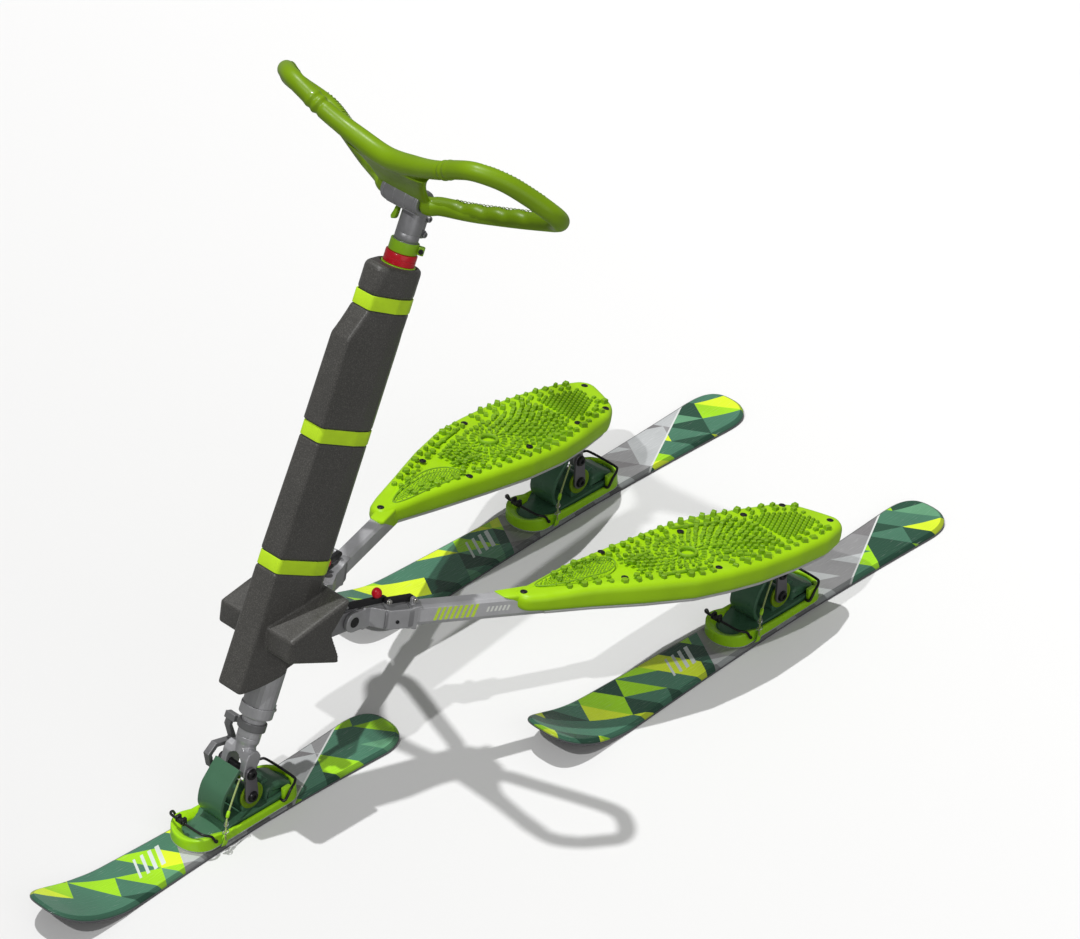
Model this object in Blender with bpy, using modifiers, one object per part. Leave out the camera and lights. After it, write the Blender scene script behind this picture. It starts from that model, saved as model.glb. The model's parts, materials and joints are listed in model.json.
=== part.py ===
"""Stand-up trike on three skis: a steered column on a short front ski and two folding, leaning
arms, each with a foot deck on a long rear ski. Metres, +Z up, the nose towards -Y, and the
origin on the snow under the middle of the bounding box."""
import math

import bmesh
import bpy
from mathutils import Matrix, Vector

# Working clearances
GAP = 0.0003

# Main stance
HALF_TRACK = 0.241
FRONT_PIVOT_Y = -0.5095
REAR_PIVOT_Y = 0.496
PIVOT_Z = 0.103
COLUMN_LEAN = math.radians(25.4)
COLUMN_FOOT_Z = 0.1

# Skis
FRONT_SKI_LENGTH = 0.753
REAR_SKI_LENGTH = 0.988
FRONT_SKI_AHEAD = 0.4195
REAR_SKI_AHEAD = 0.555
SKI_THICKNESS = 0.0105
SKI_WAIST = 0.092
SKI_SHOVEL = 0.119
SKI_TAIL = 0.112
SKI_TIP_RISE = 0.056
SKI_TAIL_RISE = 0.006
SKI_TIP_BEND = 0.17
SKI_TAIL_BEND = 0.06

# Binding plate on the ski, measured from the pitch pivot
PLATE_AHEAD = 0.127
PLATE_BEHIND = 0.107
PLATE_HALF_WIDTH = 0.0445
PLATE_WALL = 0.006
PLATE_FLOOR = 0.008
TOE_WALL_HEIGHT = 0.021
RAIL_HEIGHT = 0.017
HEEL_WALL_HEIGHT = 0.023

# Boot-shaped adapter held in the binding
SOLE_HEIGHT = 0.0135
SHIELD_HALF_WIDTH = 0.028
BOSS_RADIUS = 0.0125
WEB_FOOT_RADIUS = 0.017
HEEL_HALF_WIDTH = 0.029
TOE_HALF_WIDTH = 0.024

# Bails
WIRE_RADIUS = 0.002
BAIL_HALF_WIDTH = 0.0478
TOE_BAIL_HINGE_Y = -0.0905
HEEL_BAIL_HINGE_Y = 0.0545
BAIL_HINGE_Z = 0.0245
TOE_BAIL_REACH = 0.024
TOE_BAIL_HEIGHT = 0.0215
HEEL_BAIL_REACH = 0.0415
HEEL_BAIL_HEIGHT = 0.0185

# Safety cord and the eye on the binding that it ends on
CORD_RADIUS = 0.0016
LEASH_EYE_Y = -0.072
LEASH_EYE_Z = 0.0205
LEASH_EYE_RADIUS = 0.0065
LEASH_EYE_THICKNESS = 0.004

# Side links and their bolts
LINK_INNER = 0.0285
LINK_THICKNESS = 0.005
LINK_RADIUS = 0.0125
LINK_DROP = 0.0455
BOLT_RADIUS = 0.006
BOLT_HEAD_RADIUS = 0.009
BOLT_HEAD_HEIGHT = 0.0035
CHEEK_INNER = 0.0165
FORK_CHEEK_RADIUS = 0.016
FOOT_CHEEK_RADIUS = 0.013
SADDLE_THICKNESS = 0.007
SADDLE_AHEAD = 0.03
SADDLE_BEHIND = 0.026

# Hooked stop on the steering tube
STOP_RING_S = 0.068
STOP_RING_WALL = 0.004
STOP_RING_HEIGHT = 0.014
STOP_BLADE_INNER = 0.033
STOP_BLADE_THICKNESS = 0.0125

# Steering column, measured up the leaning axis from the column foot
HEAD_TUBE_RADIUS = 0.027
HEAD_TUBE_BORE = 0.024
HEAD_TUBE_LOW = 0.092
HEAD_TUBE_TOP = 0.8735
STEERER_RADIUS = 0.02
STEERER_BORE = 0.0172
STEERER_LOW = 0.056
STEERER_RISE = 0.042
BUSH_LENGTH = 0.022
LOWER_COLLAR_LENGTH = 0.02
LOWER_COLLAR_RADIUS = 0.0287
SEAL_HEIGHT = 0.0028
SEAL_RADIUS = 0.0285
CAP_RADIUS = 0.0262
CAP_HEIGHT = 0.0192
CLAMP_RADIUS = 0.0236
CLAMP_HEIGHT = 0.0195
STEM_HEAD_LENGTH = 0.053
STEM_TUBE_LENGTH = 0.2485
STEM_TUBE_BORE = 0.0135

# Quick lever beside the stem head: x outwards and e back from the column's axis
LEVER_X = 0.0215
LEVER_E = -0.014
LEVER_DROP = 0.0065
LEVER_LENGTH = 0.021
LEVER_TOP = 0.003
LEVER_WIDTH = 0.009

# Foam pad round the head tube
PAD_FRONT = 0.0845
PAD_LOW_FRONT = 0.086
PAD_WAIST_FRONT = 0.081
PAD_NECK_FRONT = 0.0602
PAD_KINK = 0.752
PAD_FACE_HALF = 0.02
PAD_SIDE_HALF = 0.037
PAD_BACK = 0.037
PAD_BACK_HALF = 0.019
PAD_SIDE_FRONT = 0.012
PAD_SIDE_BACK = 0.014
PAD_TOP_RISE = 0.0027
PAD_JOINT = 0.3665
PAD_LOW = 0.141
PAD_SLIT = 0.0016
STRAP_GROOVE = 0.003
STRAP_WIDTH = 0.0245
STRAP_THICKNESS = 0.0026
LOWER_STRAP_S = 0.3665
MIDDLE_STRAP_S = 0.591
UPPER_STRAP_S = 0.8155
LOWER_STRAP_FRONT = 0.0855
MIDDLE_STRAP_FRONT = 0.0822
UPPER_STRAP_FRONT = 0.0595

# Crown casting and wing guards
CROWN_S = 0.2546
CROWN_RADIUS = 0.0345
CROWN_HALF_HEIGHT = 0.046
CAMBER_PIN_RADIUS = 0.012
CAMBER_PIN_REACH = 0.06
CAMBER_COLLAR_RADIUS = 0.018
CAMBER_COLLAR_REACH = 0.0365
WING_HALF_WIDTH = 0.085
WING_WALL = 0.015
WING_SIDE = ((-0.4575, 0.3665), (-0.322, 0.387), (-0.374, 0.3385), (-0.355, 0.27), (-0.4645, 0.3265))
POCKET_SIDE = ((-0.425, 0.36), (-0.40, 0.3665), (-0.3, 0.3775), (-0.3, 0.2), (-0.43, 0.2), (-0.43, 0.34))
POCKET_INNER = 0.0285

# Folding arms
FOLD_Y = -0.3
FOLD_Z = 0.311
ARM_SLOPE = math.atan(0.192)
ARM_SPLAY = 0.4232
ARM_ROOT_X = 0.045
ARM_BEND_V = 0.37
ARM_BEND_SPREAD = 0.045
ARM_END_V = 0.845
TUBE_WIDTH = 0.028
TUBE_HEIGHT = 0.038
TUBE_CHAMFER = 0.003
TUBE_START_V = 0.075
KNUCKLE_END_V = 0.112
KNUCKLE_WIDTH = 0.036
KNUCKLE_HEIGHT = 0.0425
EAR_RADIUS = 0.0185
EAR_THICKNESS = 0.0075
TONGUE_WIDTH = 0.016
TONGUE_CLEAR = 0.0215
FOLD_PIN_RADIUS = 0.0075
KNOB_RADIUS = 0.0125
KNOB_LENGTH = 0.018
BLOCK_RADIUS = 0.021

# Over-centre latch on top of each arm
LATCH_FRONT_Y = -0.308
LATCH_FRONT_Z = 0.3405
LATCH_MID_X = 0.068
LATCH_MID_Y = -0.2385
LATCH_MID_Z = 0.3285
LATCH_REAR_X = 0.0845
LATCH_REAR_Y = -0.199
LATCH_REAR_Z = 0.3215
LATCH_LINK_WIDTH = 0.008
LATCH_LINK_RADIUS = 0.0055
LATCH_PIN_RADIUS = 0.003
LATCH_LUG_WIDTH = 0.0065
LATCH_BALL_RADIUS = 0.0085

# Foot decks, measured in the sloping arm plane
DECK_TOP_W = 0.0365
DECK_SKIRT_W = -0.0035
DECK_WALL = 0.004
DECK_ROUND = 0.009
PAN_LOW_W = -0.0105
PAN_INSET = 0.0075
DECK_OUTLINE = (
    (0.148, 0.262), (0.146, 0.4), (0.142, 0.52), (0.141, 0.62), (0.15, 0.715),
    (0.168, 0.79), (0.191, 0.865), (0.214, 0.897), (0.25, 0.913), (0.292, 0.928),
    (0.315, 0.915), (0.332, 0.86), (0.337, 0.78), (0.336, 0.69), (0.327, 0.62),
    (0.313, 0.55), (0.278, 0.462), (0.238, 0.378), (0.207, 0.3), (0.19, 0.262),
)

# Handlebar: x outwards and e back from the column's axis, then the height above the stem head
GRIP_RADIUS = 0.015
BAR_FRONT_RISE = ((0.0, -0.103, 0.0815), (0.065, -0.111, 0.0915), (0.126, -0.127, 0.1085))
BAR_LOOP_RISE = (
    (0.166, -0.138, 0.1245), (0.203, -0.139, 0.1355), (0.24, -0.113, 0.1345),
    (0.268, -0.076, 0.1215), (0.289, -0.042, 0.1065), (0.286, -0.012, 0.0935),
    (0.262, 0.014, 0.0815), (0.236, 0.0195, 0.0725), (0.187, 0.01, 0.0575),
    (0.12, -0.008, 0.0395),
)
BAR_REAR_RISE = ((0.066, -0.0225, 0.0285), (0.0, -0.03, 0.0215))
WEB_THICKNESS = 0.007
WEB_FRONT_HALF = 0.08
WEB_REAR_HALF = 0.056
BAR_CLAMP_RADIUS = 0.0205
BAR_CLAMP_HALF = 0.04
BAR_CORE_RADIUS = 0.012

# Colours
LIME = (0.36, 0.6, 0.01, 1.0)
FOAM_GREY = (0.045, 0.045, 0.043, 1.0)
METAL_GREY = (0.16, 0.16, 0.17, 1.0)
BRIGHT_METAL = (0.4, 0.41, 0.42, 1.0)
PINE = (0.03, 0.09, 0.06, 1.0)
BLACK = (0.01, 0.01, 0.01, 1.0)
RED = (0.45, 0.01, 0.02, 1.0)
BRASS = (0.5, 0.36, 0.12, 1.0)

# Places worked out from the sizes
STEERER_TOP = HEAD_TUBE_TOP + STEERER_RISE
STEM_HEAD_TOP = STEERER_TOP + STEM_HEAD_LENGTH
STEM_TUBE_LOW = STEM_HEAD_TOP - STEM_TUBE_LENGTH
LEVER_S = STEM_HEAD_TOP - LEVER_DROP
PAD_TOP = HEAD_TUBE_TOP + PAD_TOP_RISE
BAR_FRONT = tuple((x, e, STEM_HEAD_TOP + rise) for x, e, rise in BAR_FRONT_RISE)
BAR_LOOP = tuple((x, e, STEM_HEAD_TOP + rise) for x, e, rise in BAR_LOOP_RISE)
BAR_REAR = tuple((x, e, STEM_HEAD_TOP + rise) for x, e, rise in BAR_REAR_RISE)
PLATE_BASE = SKI_THICKNESS + GAP
REAR_PIVOT_V = (REAR_PIVOT_Y - FOLD_Y) / math.cos(ARM_SLOPE)
COLUMN_FOOT_Y = FRONT_PIVOT_Y + math.tan(COLUMN_LEAN) * (COLUMN_FOOT_Z - PIVOT_Z) + 0.0045
COLUMN = Matrix.Translation((0, COLUMN_FOOT_Y, COLUMN_FOOT_Z)) @ Matrix.Rotation(-COLUMN_LEAN, 4, "X")
ARM_PLANE = Matrix.Translation((0, FOLD_Y, FOLD_Z)) @ Matrix.Rotation(-ARM_SLOPE, 4, "X")
CAMBER_CENTRE = COLUMN @ Vector((0, 0, CROWN_S))
SIDE_VIEW = Matrix(((0, 0, 1, 0), (1, 0, 0, 0), (0, 1, 0, 0), (0, 0, 0, 1)))
ALONG_X = Matrix.Rotation(math.radians(90), 4, "Y")
SIDES = (("left", 1), ("right", -1))

PARTS = None
CUTTERS = None
FINISHES = {}
EMPTIES = {}


def clear_scene():
    """Remove every object, so the script starts from nothing."""
    for item in list(bpy.data.objects):
        bpy.data.objects.remove(item, do_unlink=True)


def make_collections():
    """Make one collection for the trike and one for the cutting tools."""
    global PARTS
    global CUTTERS
    PARTS = bpy.data.collections.new("ski_trike")
    CUTTERS = bpy.data.collections.new("ski_trike_cutters")
    bpy.context.scene.collection.children.link(PARTS)
    bpy.context.scene.collection.children.link(CUTTERS)


def finish(name, colour, roughness, metallic=0.0):
    """Make one plain material."""
    made = bpy.data.materials.new(name)
    made.use_nodes = True
    made.diffuse_color = colour
    shader = made.node_tree.nodes["Principled BSDF"]
    shader.inputs["Base Color"].default_value = colour
    shader.inputs["Roughness"].default_value = roughness
    shader.inputs["Metallic"].default_value = metallic
    FINISHES[name] = made


def make_finishes():
    """Make the materials of the trike."""
    finish("lime_plastic", LIME, 0.4)
    finish("foam", FOAM_GREY, 0.9)
    finish("grey_metal", METAL_GREY, 0.45, 0.8)
    finish("bright_metal", BRIGHT_METAL, 0.35, 0.9)
    finish("pine_plastic", PINE, 0.5)
    finish("black_metal", BLACK, 0.4, 0.5)
    finish("red_plastic", RED, 0.35)
    finish("bush_metal", BRASS, 0.4, 0.8)
    finish("ski_laminate", PINE, 0.35)
    finish("cord", BRASS, 0.8)


def empty(name, matrix, parent=None):
    """Put an empty on a joint axis; its children turn about it."""
    made = bpy.data.objects.new(name, None)
    made.empty_display_size = 0.03
    PARTS.objects.link(made)
    EMPTIES[name] = matrix
    if parent:
        made.parent = bpy.data.objects[parent]
        made.matrix_parent_inverse = EMPTIES[parent].inverted()
    made.matrix_basis = matrix
    return made


def add(name, data, look, parent, matrix=None):
    """Add a piece under its body's empty, placed by a world matrix."""
    made = bpy.data.objects.new(name, data)
    PARTS.objects.link(made)
    data.materials.append(FINISHES[look])
    made.parent = bpy.data.objects[parent]
    made.matrix_parent_inverse = EMPTIES[parent].inverted()
    made.matrix_basis = matrix or Matrix.Identity(4)
    return made


def tool(data, matrix=None):
    """Add a hidden cutting or joining tool, placed by a world matrix."""
    made = bpy.data.objects.new("tool", data)
    CUTTERS.objects.link(made)
    made.hide_render = True
    made.display_type = "WIRE"
    made.matrix_basis = matrix or Matrix.Identity(4)
    return made


def cut(item, other):
    """Take the tool's space out of the piece."""
    change = item.modifiers.new("cut", "BOOLEAN")
    change.operation = "DIFFERENCE"
    change.object = other


def join(item, other):
    """Add the tool's space to the piece."""
    change = item.modifiers.new("join", "BOOLEAN")
    change.operation = "UNION"
    change.object = other


def on_side(mesh, side):
    """Mirror a mesh to the side with the given sign and keep its faces turned out."""
    mesh.transform(Matrix.Scale(side, 4, (1, 0, 0)))
    if side < 0:
        mesh.flip_normals()
    return mesh


def soften(item, width, segments=2, angle=35):
    """Round the edges that are sharper than the angle."""
    change = item.modifiers.new("round", "BEVEL")
    change.width = width
    change.segments = segments
    change.limit_method = "ANGLE"
    change.angle_limit = math.radians(angle)


def weld(mesh):
    """Join the loose caps of a mesh and turn its faces out."""
    work = bmesh.new()
    work.from_mesh(mesh)
    bmesh.ops.remove_doubles(work, verts=work.verts, dist=0.00002)
    bmesh.ops.recalc_face_normals(work, faces=work.faces)
    work.to_mesh(mesh)
    work.free()
    return mesh


def curve_mesh(curve):
    """Turn curve data into a closed mesh."""
    holder = bpy.data.objects.new("curve", curve)
    CUTTERS.objects.link(holder)
    graph = bpy.context.evaluated_depsgraph_get()
    mesh = bpy.data.meshes.new_from_object(holder.evaluated_get(graph))
    bpy.data.objects.remove(holder, do_unlink=True)
    return weld(mesh)


def slab(points, low, high, plane=None):
    """Flat outline with a thickness from low to high; plane turns it into place."""
    curve = bpy.data.curves.new("outline", "CURVE")
    curve.dimensions = "2D"
    curve.fill_mode = "BOTH"
    curve.extrude = (high - low) / 2
    line = curve.splines.new("POLY")
    line.points.add(len(points) - 1)
    for point, (u, v) in zip(line.points, points):
        point.co = (u, v, 0, 1)
    line.use_cyclic_u = True
    mesh = curve_mesh(curve)
    mesh.transform(Matrix.Translation((0, 0, (high + low) / 2)))
    if plane:
        mesh.transform(plane)
    return weld(mesh)


def box(low, high):
    """Box between two opposite corners."""
    mesh = bpy.data.meshes.new("box")
    work = bmesh.new()
    bmesh.ops.create_cube(work, size=1)
    size = Vector(high) - Vector(low)
    bmesh.ops.scale(work, vec=size, verts=work.verts)
    bmesh.ops.translate(work, vec=(Vector(low) + Vector(high)) / 2, verts=work.verts)
    work.to_mesh(mesh)
    work.free()
    return mesh


def rod(start, end, radius, end_radius=None, sides=16):
    """Cylinder or cone between two points."""
    start = Vector(start)
    end = Vector(end)
    mesh = bpy.data.meshes.new("rod")
    work = bmesh.new()
    last = radius if end_radius is None else end_radius
    bmesh.ops.create_cone(work, cap_ends=True, segments=sides, radius1=radius, radius2=last,
                          depth=(end - start).length)
    turn = (end - start).to_track_quat("Z", "Y").to_matrix().to_4x4()
    work.transform(Matrix.Translation((start + end) / 2) @ turn)
    work.to_mesh(mesh)
    work.free()
    return round_mesh(mesh)


def bore(start, end, radius, sides=16):
    """Cutting rod whose flats, not its corners, lie at the radius."""
    return rod(start, end, radius / math.cos(math.pi / sides), sides=sides)


def ball(centre, radius):
    """Sphere for a knob."""
    mesh = bpy.data.meshes.new("ball")
    work = bmesh.new()
    bmesh.ops.create_uvsphere(work, u_segments=14, v_segments=9, radius=radius)
    bmesh.ops.translate(work, vec=centre, verts=work.verts)
    work.to_mesh(mesh)
    work.free()
    return round_mesh(mesh)


def round_mesh(mesh):
    """Shade a round mesh smooth between its sharp edges."""
    mesh.shade_smooth()
    mesh.set_sharp_from_angle(angle=math.radians(40))
    return mesh


def turned(name, profile, look, parent, matrix, ring=False, steps=24):
    """Turn a profile of (radius, height) points round Z; a ring profile closes on itself."""
    mesh = bpy.data.meshes.new(name)
    corners = [(radius, 0, height) for radius, height in profile]
    count = len(corners)
    edges = [(i, i + 1) for i in range(count - 1)]
    if ring:
        edges.append((count - 1, 0))
    mesh.from_pydata(corners, edges, [])
    if look:
        made = add(name, mesh, look, parent, matrix)
    else:
        made = tool(mesh, matrix)
    change = made.modifiers.new("turn", "SCREW")
    change.steps = steps
    change.render_steps = steps
    change.use_merge_vertices = True
    change.merge_threshold = 0.00002
    change.use_smooth_shade = True
    return made


def sleeve(name, bore, radius, low, high, look, parent, matrix=COLUMN, steps=24):
    """Plain ring: outer side downwards, then up the bore."""
    profile = ((radius, high), (radius, low), (bore, low), (bore, high))
    return turned(name, profile, look, parent, matrix, ring=True, steps=steps)


def wire(points, radius, sides=2, cyclic=False, smooth=True, samples=3):
    """Round tube along points; smooth reads them from a soft curve."""
    path = soft_path(points, samples, cyclic) if smooth else list(points)
    curve = bpy.data.curves.new("wire", "CURVE")
    curve.dimensions = "3D"
    curve.bevel_depth = radius
    curve.bevel_resolution = sides
    curve.use_fill_caps = not cyclic
    line = curve.splines.new("POLY")
    line.points.add(len(path) - 1)
    for point, place in zip(line.points, path):
        point.co = (*place, 1)
    line.use_cyclic_u = cyclic
    return round_mesh(curve_mesh(curve))


def soft_path(points, samples, cyclic):
    """Points of a Catmull-Rom curve through the given points."""
    places = [Vector(point) for point in points]
    count = len(places)
    spans = count if cyclic else count - 1
    path = []
    for i in range(spans):
        a, b, c, d = (pick(places, i + step, cyclic) for step in (-1, 0, 1, 2))
        for k in range(samples):
            t = k / samples
            path.append(0.5 * ((2 * b) + (c - a) * t + (2 * a - 5 * b + 4 * c - d) * t ** 2
                               + (3 * b - a - 3 * c + d) * t ** 3))
    if not cyclic:
        path.append(places[-1])
    return path


def pick(places, i, cyclic):
    """Point i, wrapped on a closed path and held at the ends of an open one."""
    if cyclic:
        return places[i % len(places)]
    return places[min(max(i, 0), len(places) - 1)]


def loft(rings):
    """Solid through rings of the same number of points, closed at both ends."""
    work = bmesh.new()
    rows = [[work.verts.new(point) for point in ring] for ring in rings]
    for low, high in zip(rows, rows[1:]):
        for i in range(len(low)):
            j = (i + 1) % len(low)
            work.faces.new((low[i], low[j], high[j], high[i]))
    work.faces.new(rows[0])
    work.faces.new(rows[-1])
    bmesh.ops.recalc_face_normals(work, faces=work.faces)
    mesh = bpy.data.meshes.new("loft")
    work.to_mesh(mesh)
    work.free()
    return mesh


def arc(centre, radius, start, end, steps):
    """Points of an arc; angles in degrees from the first axis."""
    points = []
    for i in range(steps + 1):
        angle = math.radians(start + (end - start) * i / steps)
        points.append((centre[0] + radius * math.cos(angle), centre[1] + radius * math.sin(angle)))
    return points


def stadium(first, first_radius, second, second_radius, steps=5):
    """Link outline: two round ends joined by straight sides."""
    across = Vector(second) - Vector(first)
    heading = math.degrees(math.atan2(across.y, across.x))
    lean = math.degrees(math.asin((first_radius - second_radius) / across.length))
    ends = arc(first, first_radius, heading + 90 - lean, heading + 270 + lean, steps)
    return ends + arc(second, second_radius, heading - 90 + lean, heading + 90 - lean, steps)


def inset(points, distance):
    """Move each side of a closed outline inwards; the outline runs either way round."""
    places = [Vector(point) for point in points]
    area = sum(a.x * b.y - b.x * a.y for a, b in zip(places, places[1:] + places[:1]))
    turn = 1 if area > 0 else -1
    moved = []
    for i, place in enumerate(places):
        before = (place - places[i - 1]).normalized()
        after = (places[(i + 1) % len(places)] - place).normalized()
        first = Vector((-before.y, before.x)) * turn
        second = Vector((-after.y, after.x)) * turn
        middle = (first + second).normalized()
        moved.append(tuple(place + middle * distance / max(middle.dot(first), 0.3)))
    return moved


def mirrored(points, side):
    """Outline or path with its first coordinate turned to the given side."""
    return [(point[0] * side, *point[1:]) for point in points]


def make_joint_empties():
    """Put an empty on each joint axis, parented in the order that the bodies move."""
    empty("frame", COLUMN)
    empty("steering_axis", COLUMN, "frame")
    stem_top = COLUMN @ Matrix.Translation((0, 0, STEERER_TOP))
    empty("stem_slide", stem_top, "steering_axis")
    empty("lever_axis", COLUMN @ Matrix.Translation((-LEVER_X, LEVER_E, LEVER_S)), "stem_slide")
    ski_empties("front", 0, FRONT_PIVOT_Y, "steering_axis")
    for name, side in SIDES:
        camber = Matrix.Translation(CAMBER_CENTRE + Vector((side * ARM_ROOT_X, 0, 0)))
        empty(f"camber_axis_{name}", camber, "frame")
        fold = Matrix.Translation((side * ARM_ROOT_X, FOLD_Y, FOLD_Z))
        empty(f"fold_axis_{name}", fold, f"camber_axis_{name}")
        front = Matrix.Translation((side * ARM_ROOT_X, LATCH_FRONT_Y, LATCH_FRONT_Z))
        empty(f"latch_front_axis_{name}", front, f"camber_axis_{name}")
        rear = Matrix.Translation((side * ARM_ROOT_X, LATCH_REAR_Y, LATCH_REAR_Z))
        empty(f"latch_rear_axis_{name}", rear, f"fold_axis_{name}")
        ski_empties(name, side * HALF_TRACK, REAR_PIVOT_Y, f"fold_axis_{name}")


def ski_empties(name, x, y, parent):
    """Pitch axis of one ski and the hinge axes of its two bails."""
    empty(f"pitch_axis_{name}", Matrix.Translation((x, y, PIVOT_Z)), parent)
    toe = Matrix.Translation((x, y + TOE_BAIL_HINGE_Y, BAIL_HINGE_Z))
    empty(f"toe_bail_axis_{name}", toe, f"pitch_axis_{name}")
    heel = Matrix.Translation((x, y + HEEL_BAIL_HINGE_Y, BAIL_HINGE_Z))
    empty(f"heel_bail_axis_{name}", heel, f"pitch_axis_{name}")


def ski_half_width(along, length, ahead):
    """Half width at a distance behind the pivot: side cut, round shovel and round tail."""
    to_tip = ahead + along
    to_tail = length - to_tip
    shovel_at = 0.16 * length
    tail_at = 0.93 * length
    waist_at = 0.58 * length
    if to_tip < waist_at:
        share = min(max((waist_at - to_tip) / (waist_at - shovel_at), 0), 1)
        width = SKI_WAIST + (SKI_SHOVEL - SKI_WAIST) * share ** 1.6
    else:
        share = min(max((to_tip - waist_at) / (tail_at - waist_at), 0), 1)
        width = SKI_WAIST + (SKI_TAIL - SKI_WAIST) * share ** 1.6
    tip = end_round(to_tip, 0.1, 0.3)
    tail = end_round(to_tail, 0.062, 0.16)
    return width / 2 * min(tip, tail)


def end_round(distance, reach, floor):
    """Share of the full width near a blunt round end."""
    if distance >= reach:
        return 1.0
    back = 1 - distance / reach
    return floor + (1 - floor) * math.sqrt(max(1 - back ** 2.4, 0))


def ski_rise(along, length, ahead):
    """Height of the base over the snow: flat, with a bent-up tip and a short tail lift."""
    to_tip = ahead + along
    to_tail = length - to_tip
    if to_tip < SKI_TIP_BEND:
        return SKI_TIP_RISE * ((SKI_TIP_BEND - to_tip) / SKI_TIP_BEND) ** 2
    if to_tail < SKI_TAIL_BEND:
        return SKI_TAIL_RISE * ((SKI_TAIL_BEND - to_tail) / SKI_TAIL_BEND) ** 2
    return 0.0


def ski_stations(length):
    """Distances from the tip, closer together at both ends."""
    near_tip = [0.0, 0.006, 0.018, 0.035, 0.055, 0.078, 0.105, 0.135, 0.17]
    near_tail = [0.062, 0.045, 0.028, 0.014, 0.005, 0.0]
    middle = 7
    stations = list(near_tip)
    start = near_tip[-1]
    end = length - near_tail[0]
    for i in range(1, middle):
        stations.append(start + (end - start) * i / middle)
    return stations + [length - distance for distance in near_tail]


def make_ski(name, x, pivot_y, length, ahead):
    """One ski: a flat grid shaped by its width and rise, given a thickness upwards."""
    stations = ski_stations(length)
    columns = 4
    work = bmesh.new()
    bmesh.ops.create_grid(work, x_segments=columns, y_segments=len(stations) - 1, size=1)
    work.verts.ensure_lookup_table()
    for vert in work.verts:
        row = round((vert.co.y + 1) / 2 * (len(stations) - 1))
        along = stations[row] - ahead
        half = ski_half_width(along, length, ahead)
        vert.co = (x + vert.co.x * half, pivot_y + along, ski_rise(along, length, ahead))
    mesh = bpy.data.meshes.new("ski")
    work.to_mesh(mesh)
    work.free()
    made = add(f"ski_{name}", mesh, "ski_laminate", f"pitch_axis_{name}")
    shell = made.modifiers.new("thickness", "SOLIDIFY")
    shell.thickness = SKI_THICKNESS
    shell.offset = 1
    return made


def plate_outline(width, ahead, behind):
    """Plan of the binding: round toe, straight rails, round heel."""
    nose = width * 0.82
    tail = width * 0.8
    toe = [(width * math.cos(a), -ahead + nose - nose * math.sin(a))
           for a in (math.pi * (1 - i / 12) for i in range(13))]
    heel = [(width * math.cos(a), behind - tail + tail * math.sin(a))
            for a in (math.pi * i / 12 for i in range(13))]
    return toe + heel


def rail_profile():
    """Side view of the space over the low rails, behind the toe wall and before the heel wall."""
    toe_top = PLATE_BASE + TOE_WALL_HEIGHT
    rail_top = PLATE_BASE + RAIL_HEIGHT
    heel_top = PLATE_BASE + HEEL_WALL_HEIGHT
    return [
        (-PLATE_AHEAD - 0.02, toe_top), (-PLATE_AHEAD + 0.03, toe_top + 0.004),
        (-0.086, rail_top + 0.006), (-0.066, rail_top), (PLATE_BEHIND - 0.045, rail_top - 0.005),
        (PLATE_BEHIND - 0.03, heel_top), (PLATE_BEHIND + 0.02, heel_top),
        (PLATE_BEHIND + 0.02, 0.12), (-PLATE_AHEAD - 0.02, 0.12),
    ]


def make_binding(name, x, y):
    """Binding plate: floor, toe wall, rails and heel wall, with bores for the bails."""
    place = Matrix.Translation((x, y, 0))
    outline = plate_outline(PLATE_HALF_WIDTH, PLATE_AHEAD, PLATE_BEHIND)
    top = PLATE_BASE + TOE_WALL_HEIGHT + 0.006
    made = add(f"binding_plate_{name}", slab(outline, PLATE_BASE, top), "lime_plastic",
               f"pitch_axis_{name}", place)
    hollow = inset(outline, PLATE_WALL)
    cut(made, tool(slab(hollow, PLATE_BASE + PLATE_FLOOR, top + 0.01), place))
    reach = PLATE_HALF_WIDTH + 0.02
    cut(made, tool(slab(rail_profile(), -reach, reach, SIDE_VIEW), place))
    for hinge in (TOE_BAIL_HINGE_Y, HEEL_BAIL_HINGE_Y):
        ends = ((-reach, hinge, BAIL_HINGE_Z), (reach, hinge, BAIL_HINGE_Z))
        cut(made, tool(bore(*ends, WIRE_RADIUS + GAP, sides=10), place))
    eye = slab(arc((LEASH_EYE_Y, LEASH_EYE_Z), LEASH_EYE_RADIUS, 0, 330, 11), PLATE_HALF_WIDTH - 0.002,
               PLATE_HALF_WIDTH + LEASH_EYE_THICKNESS, SIDE_VIEW)
    join(made, tool(eye, place))
    return made


def shield_profile():
    """Side view of the adapter's upright shield: outer line up, inner line down."""
    outer = [(-0.0705, 0.026), (-0.0665, 0.055), (-0.0575, 0.083), (-0.0385, 0.1035), (-0.0215, 0.1205)]
    inner = [(-0.0165, 0.1155), (-0.0335, 0.0985), (-0.0513, 0.0795), (-0.0597, 0.0535), (-0.0635, 0.026)]
    return outer + inner


def heel_profile():
    """Side view of the adapter's heel, low enough for the heel bail to swing over it."""
    return [(0.03, 0.026), (0.034, 0.046), (0.042, 0.05), (0.064, 0.0475), (0.0865, 0.0355), (0.089, 0.026)]


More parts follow.
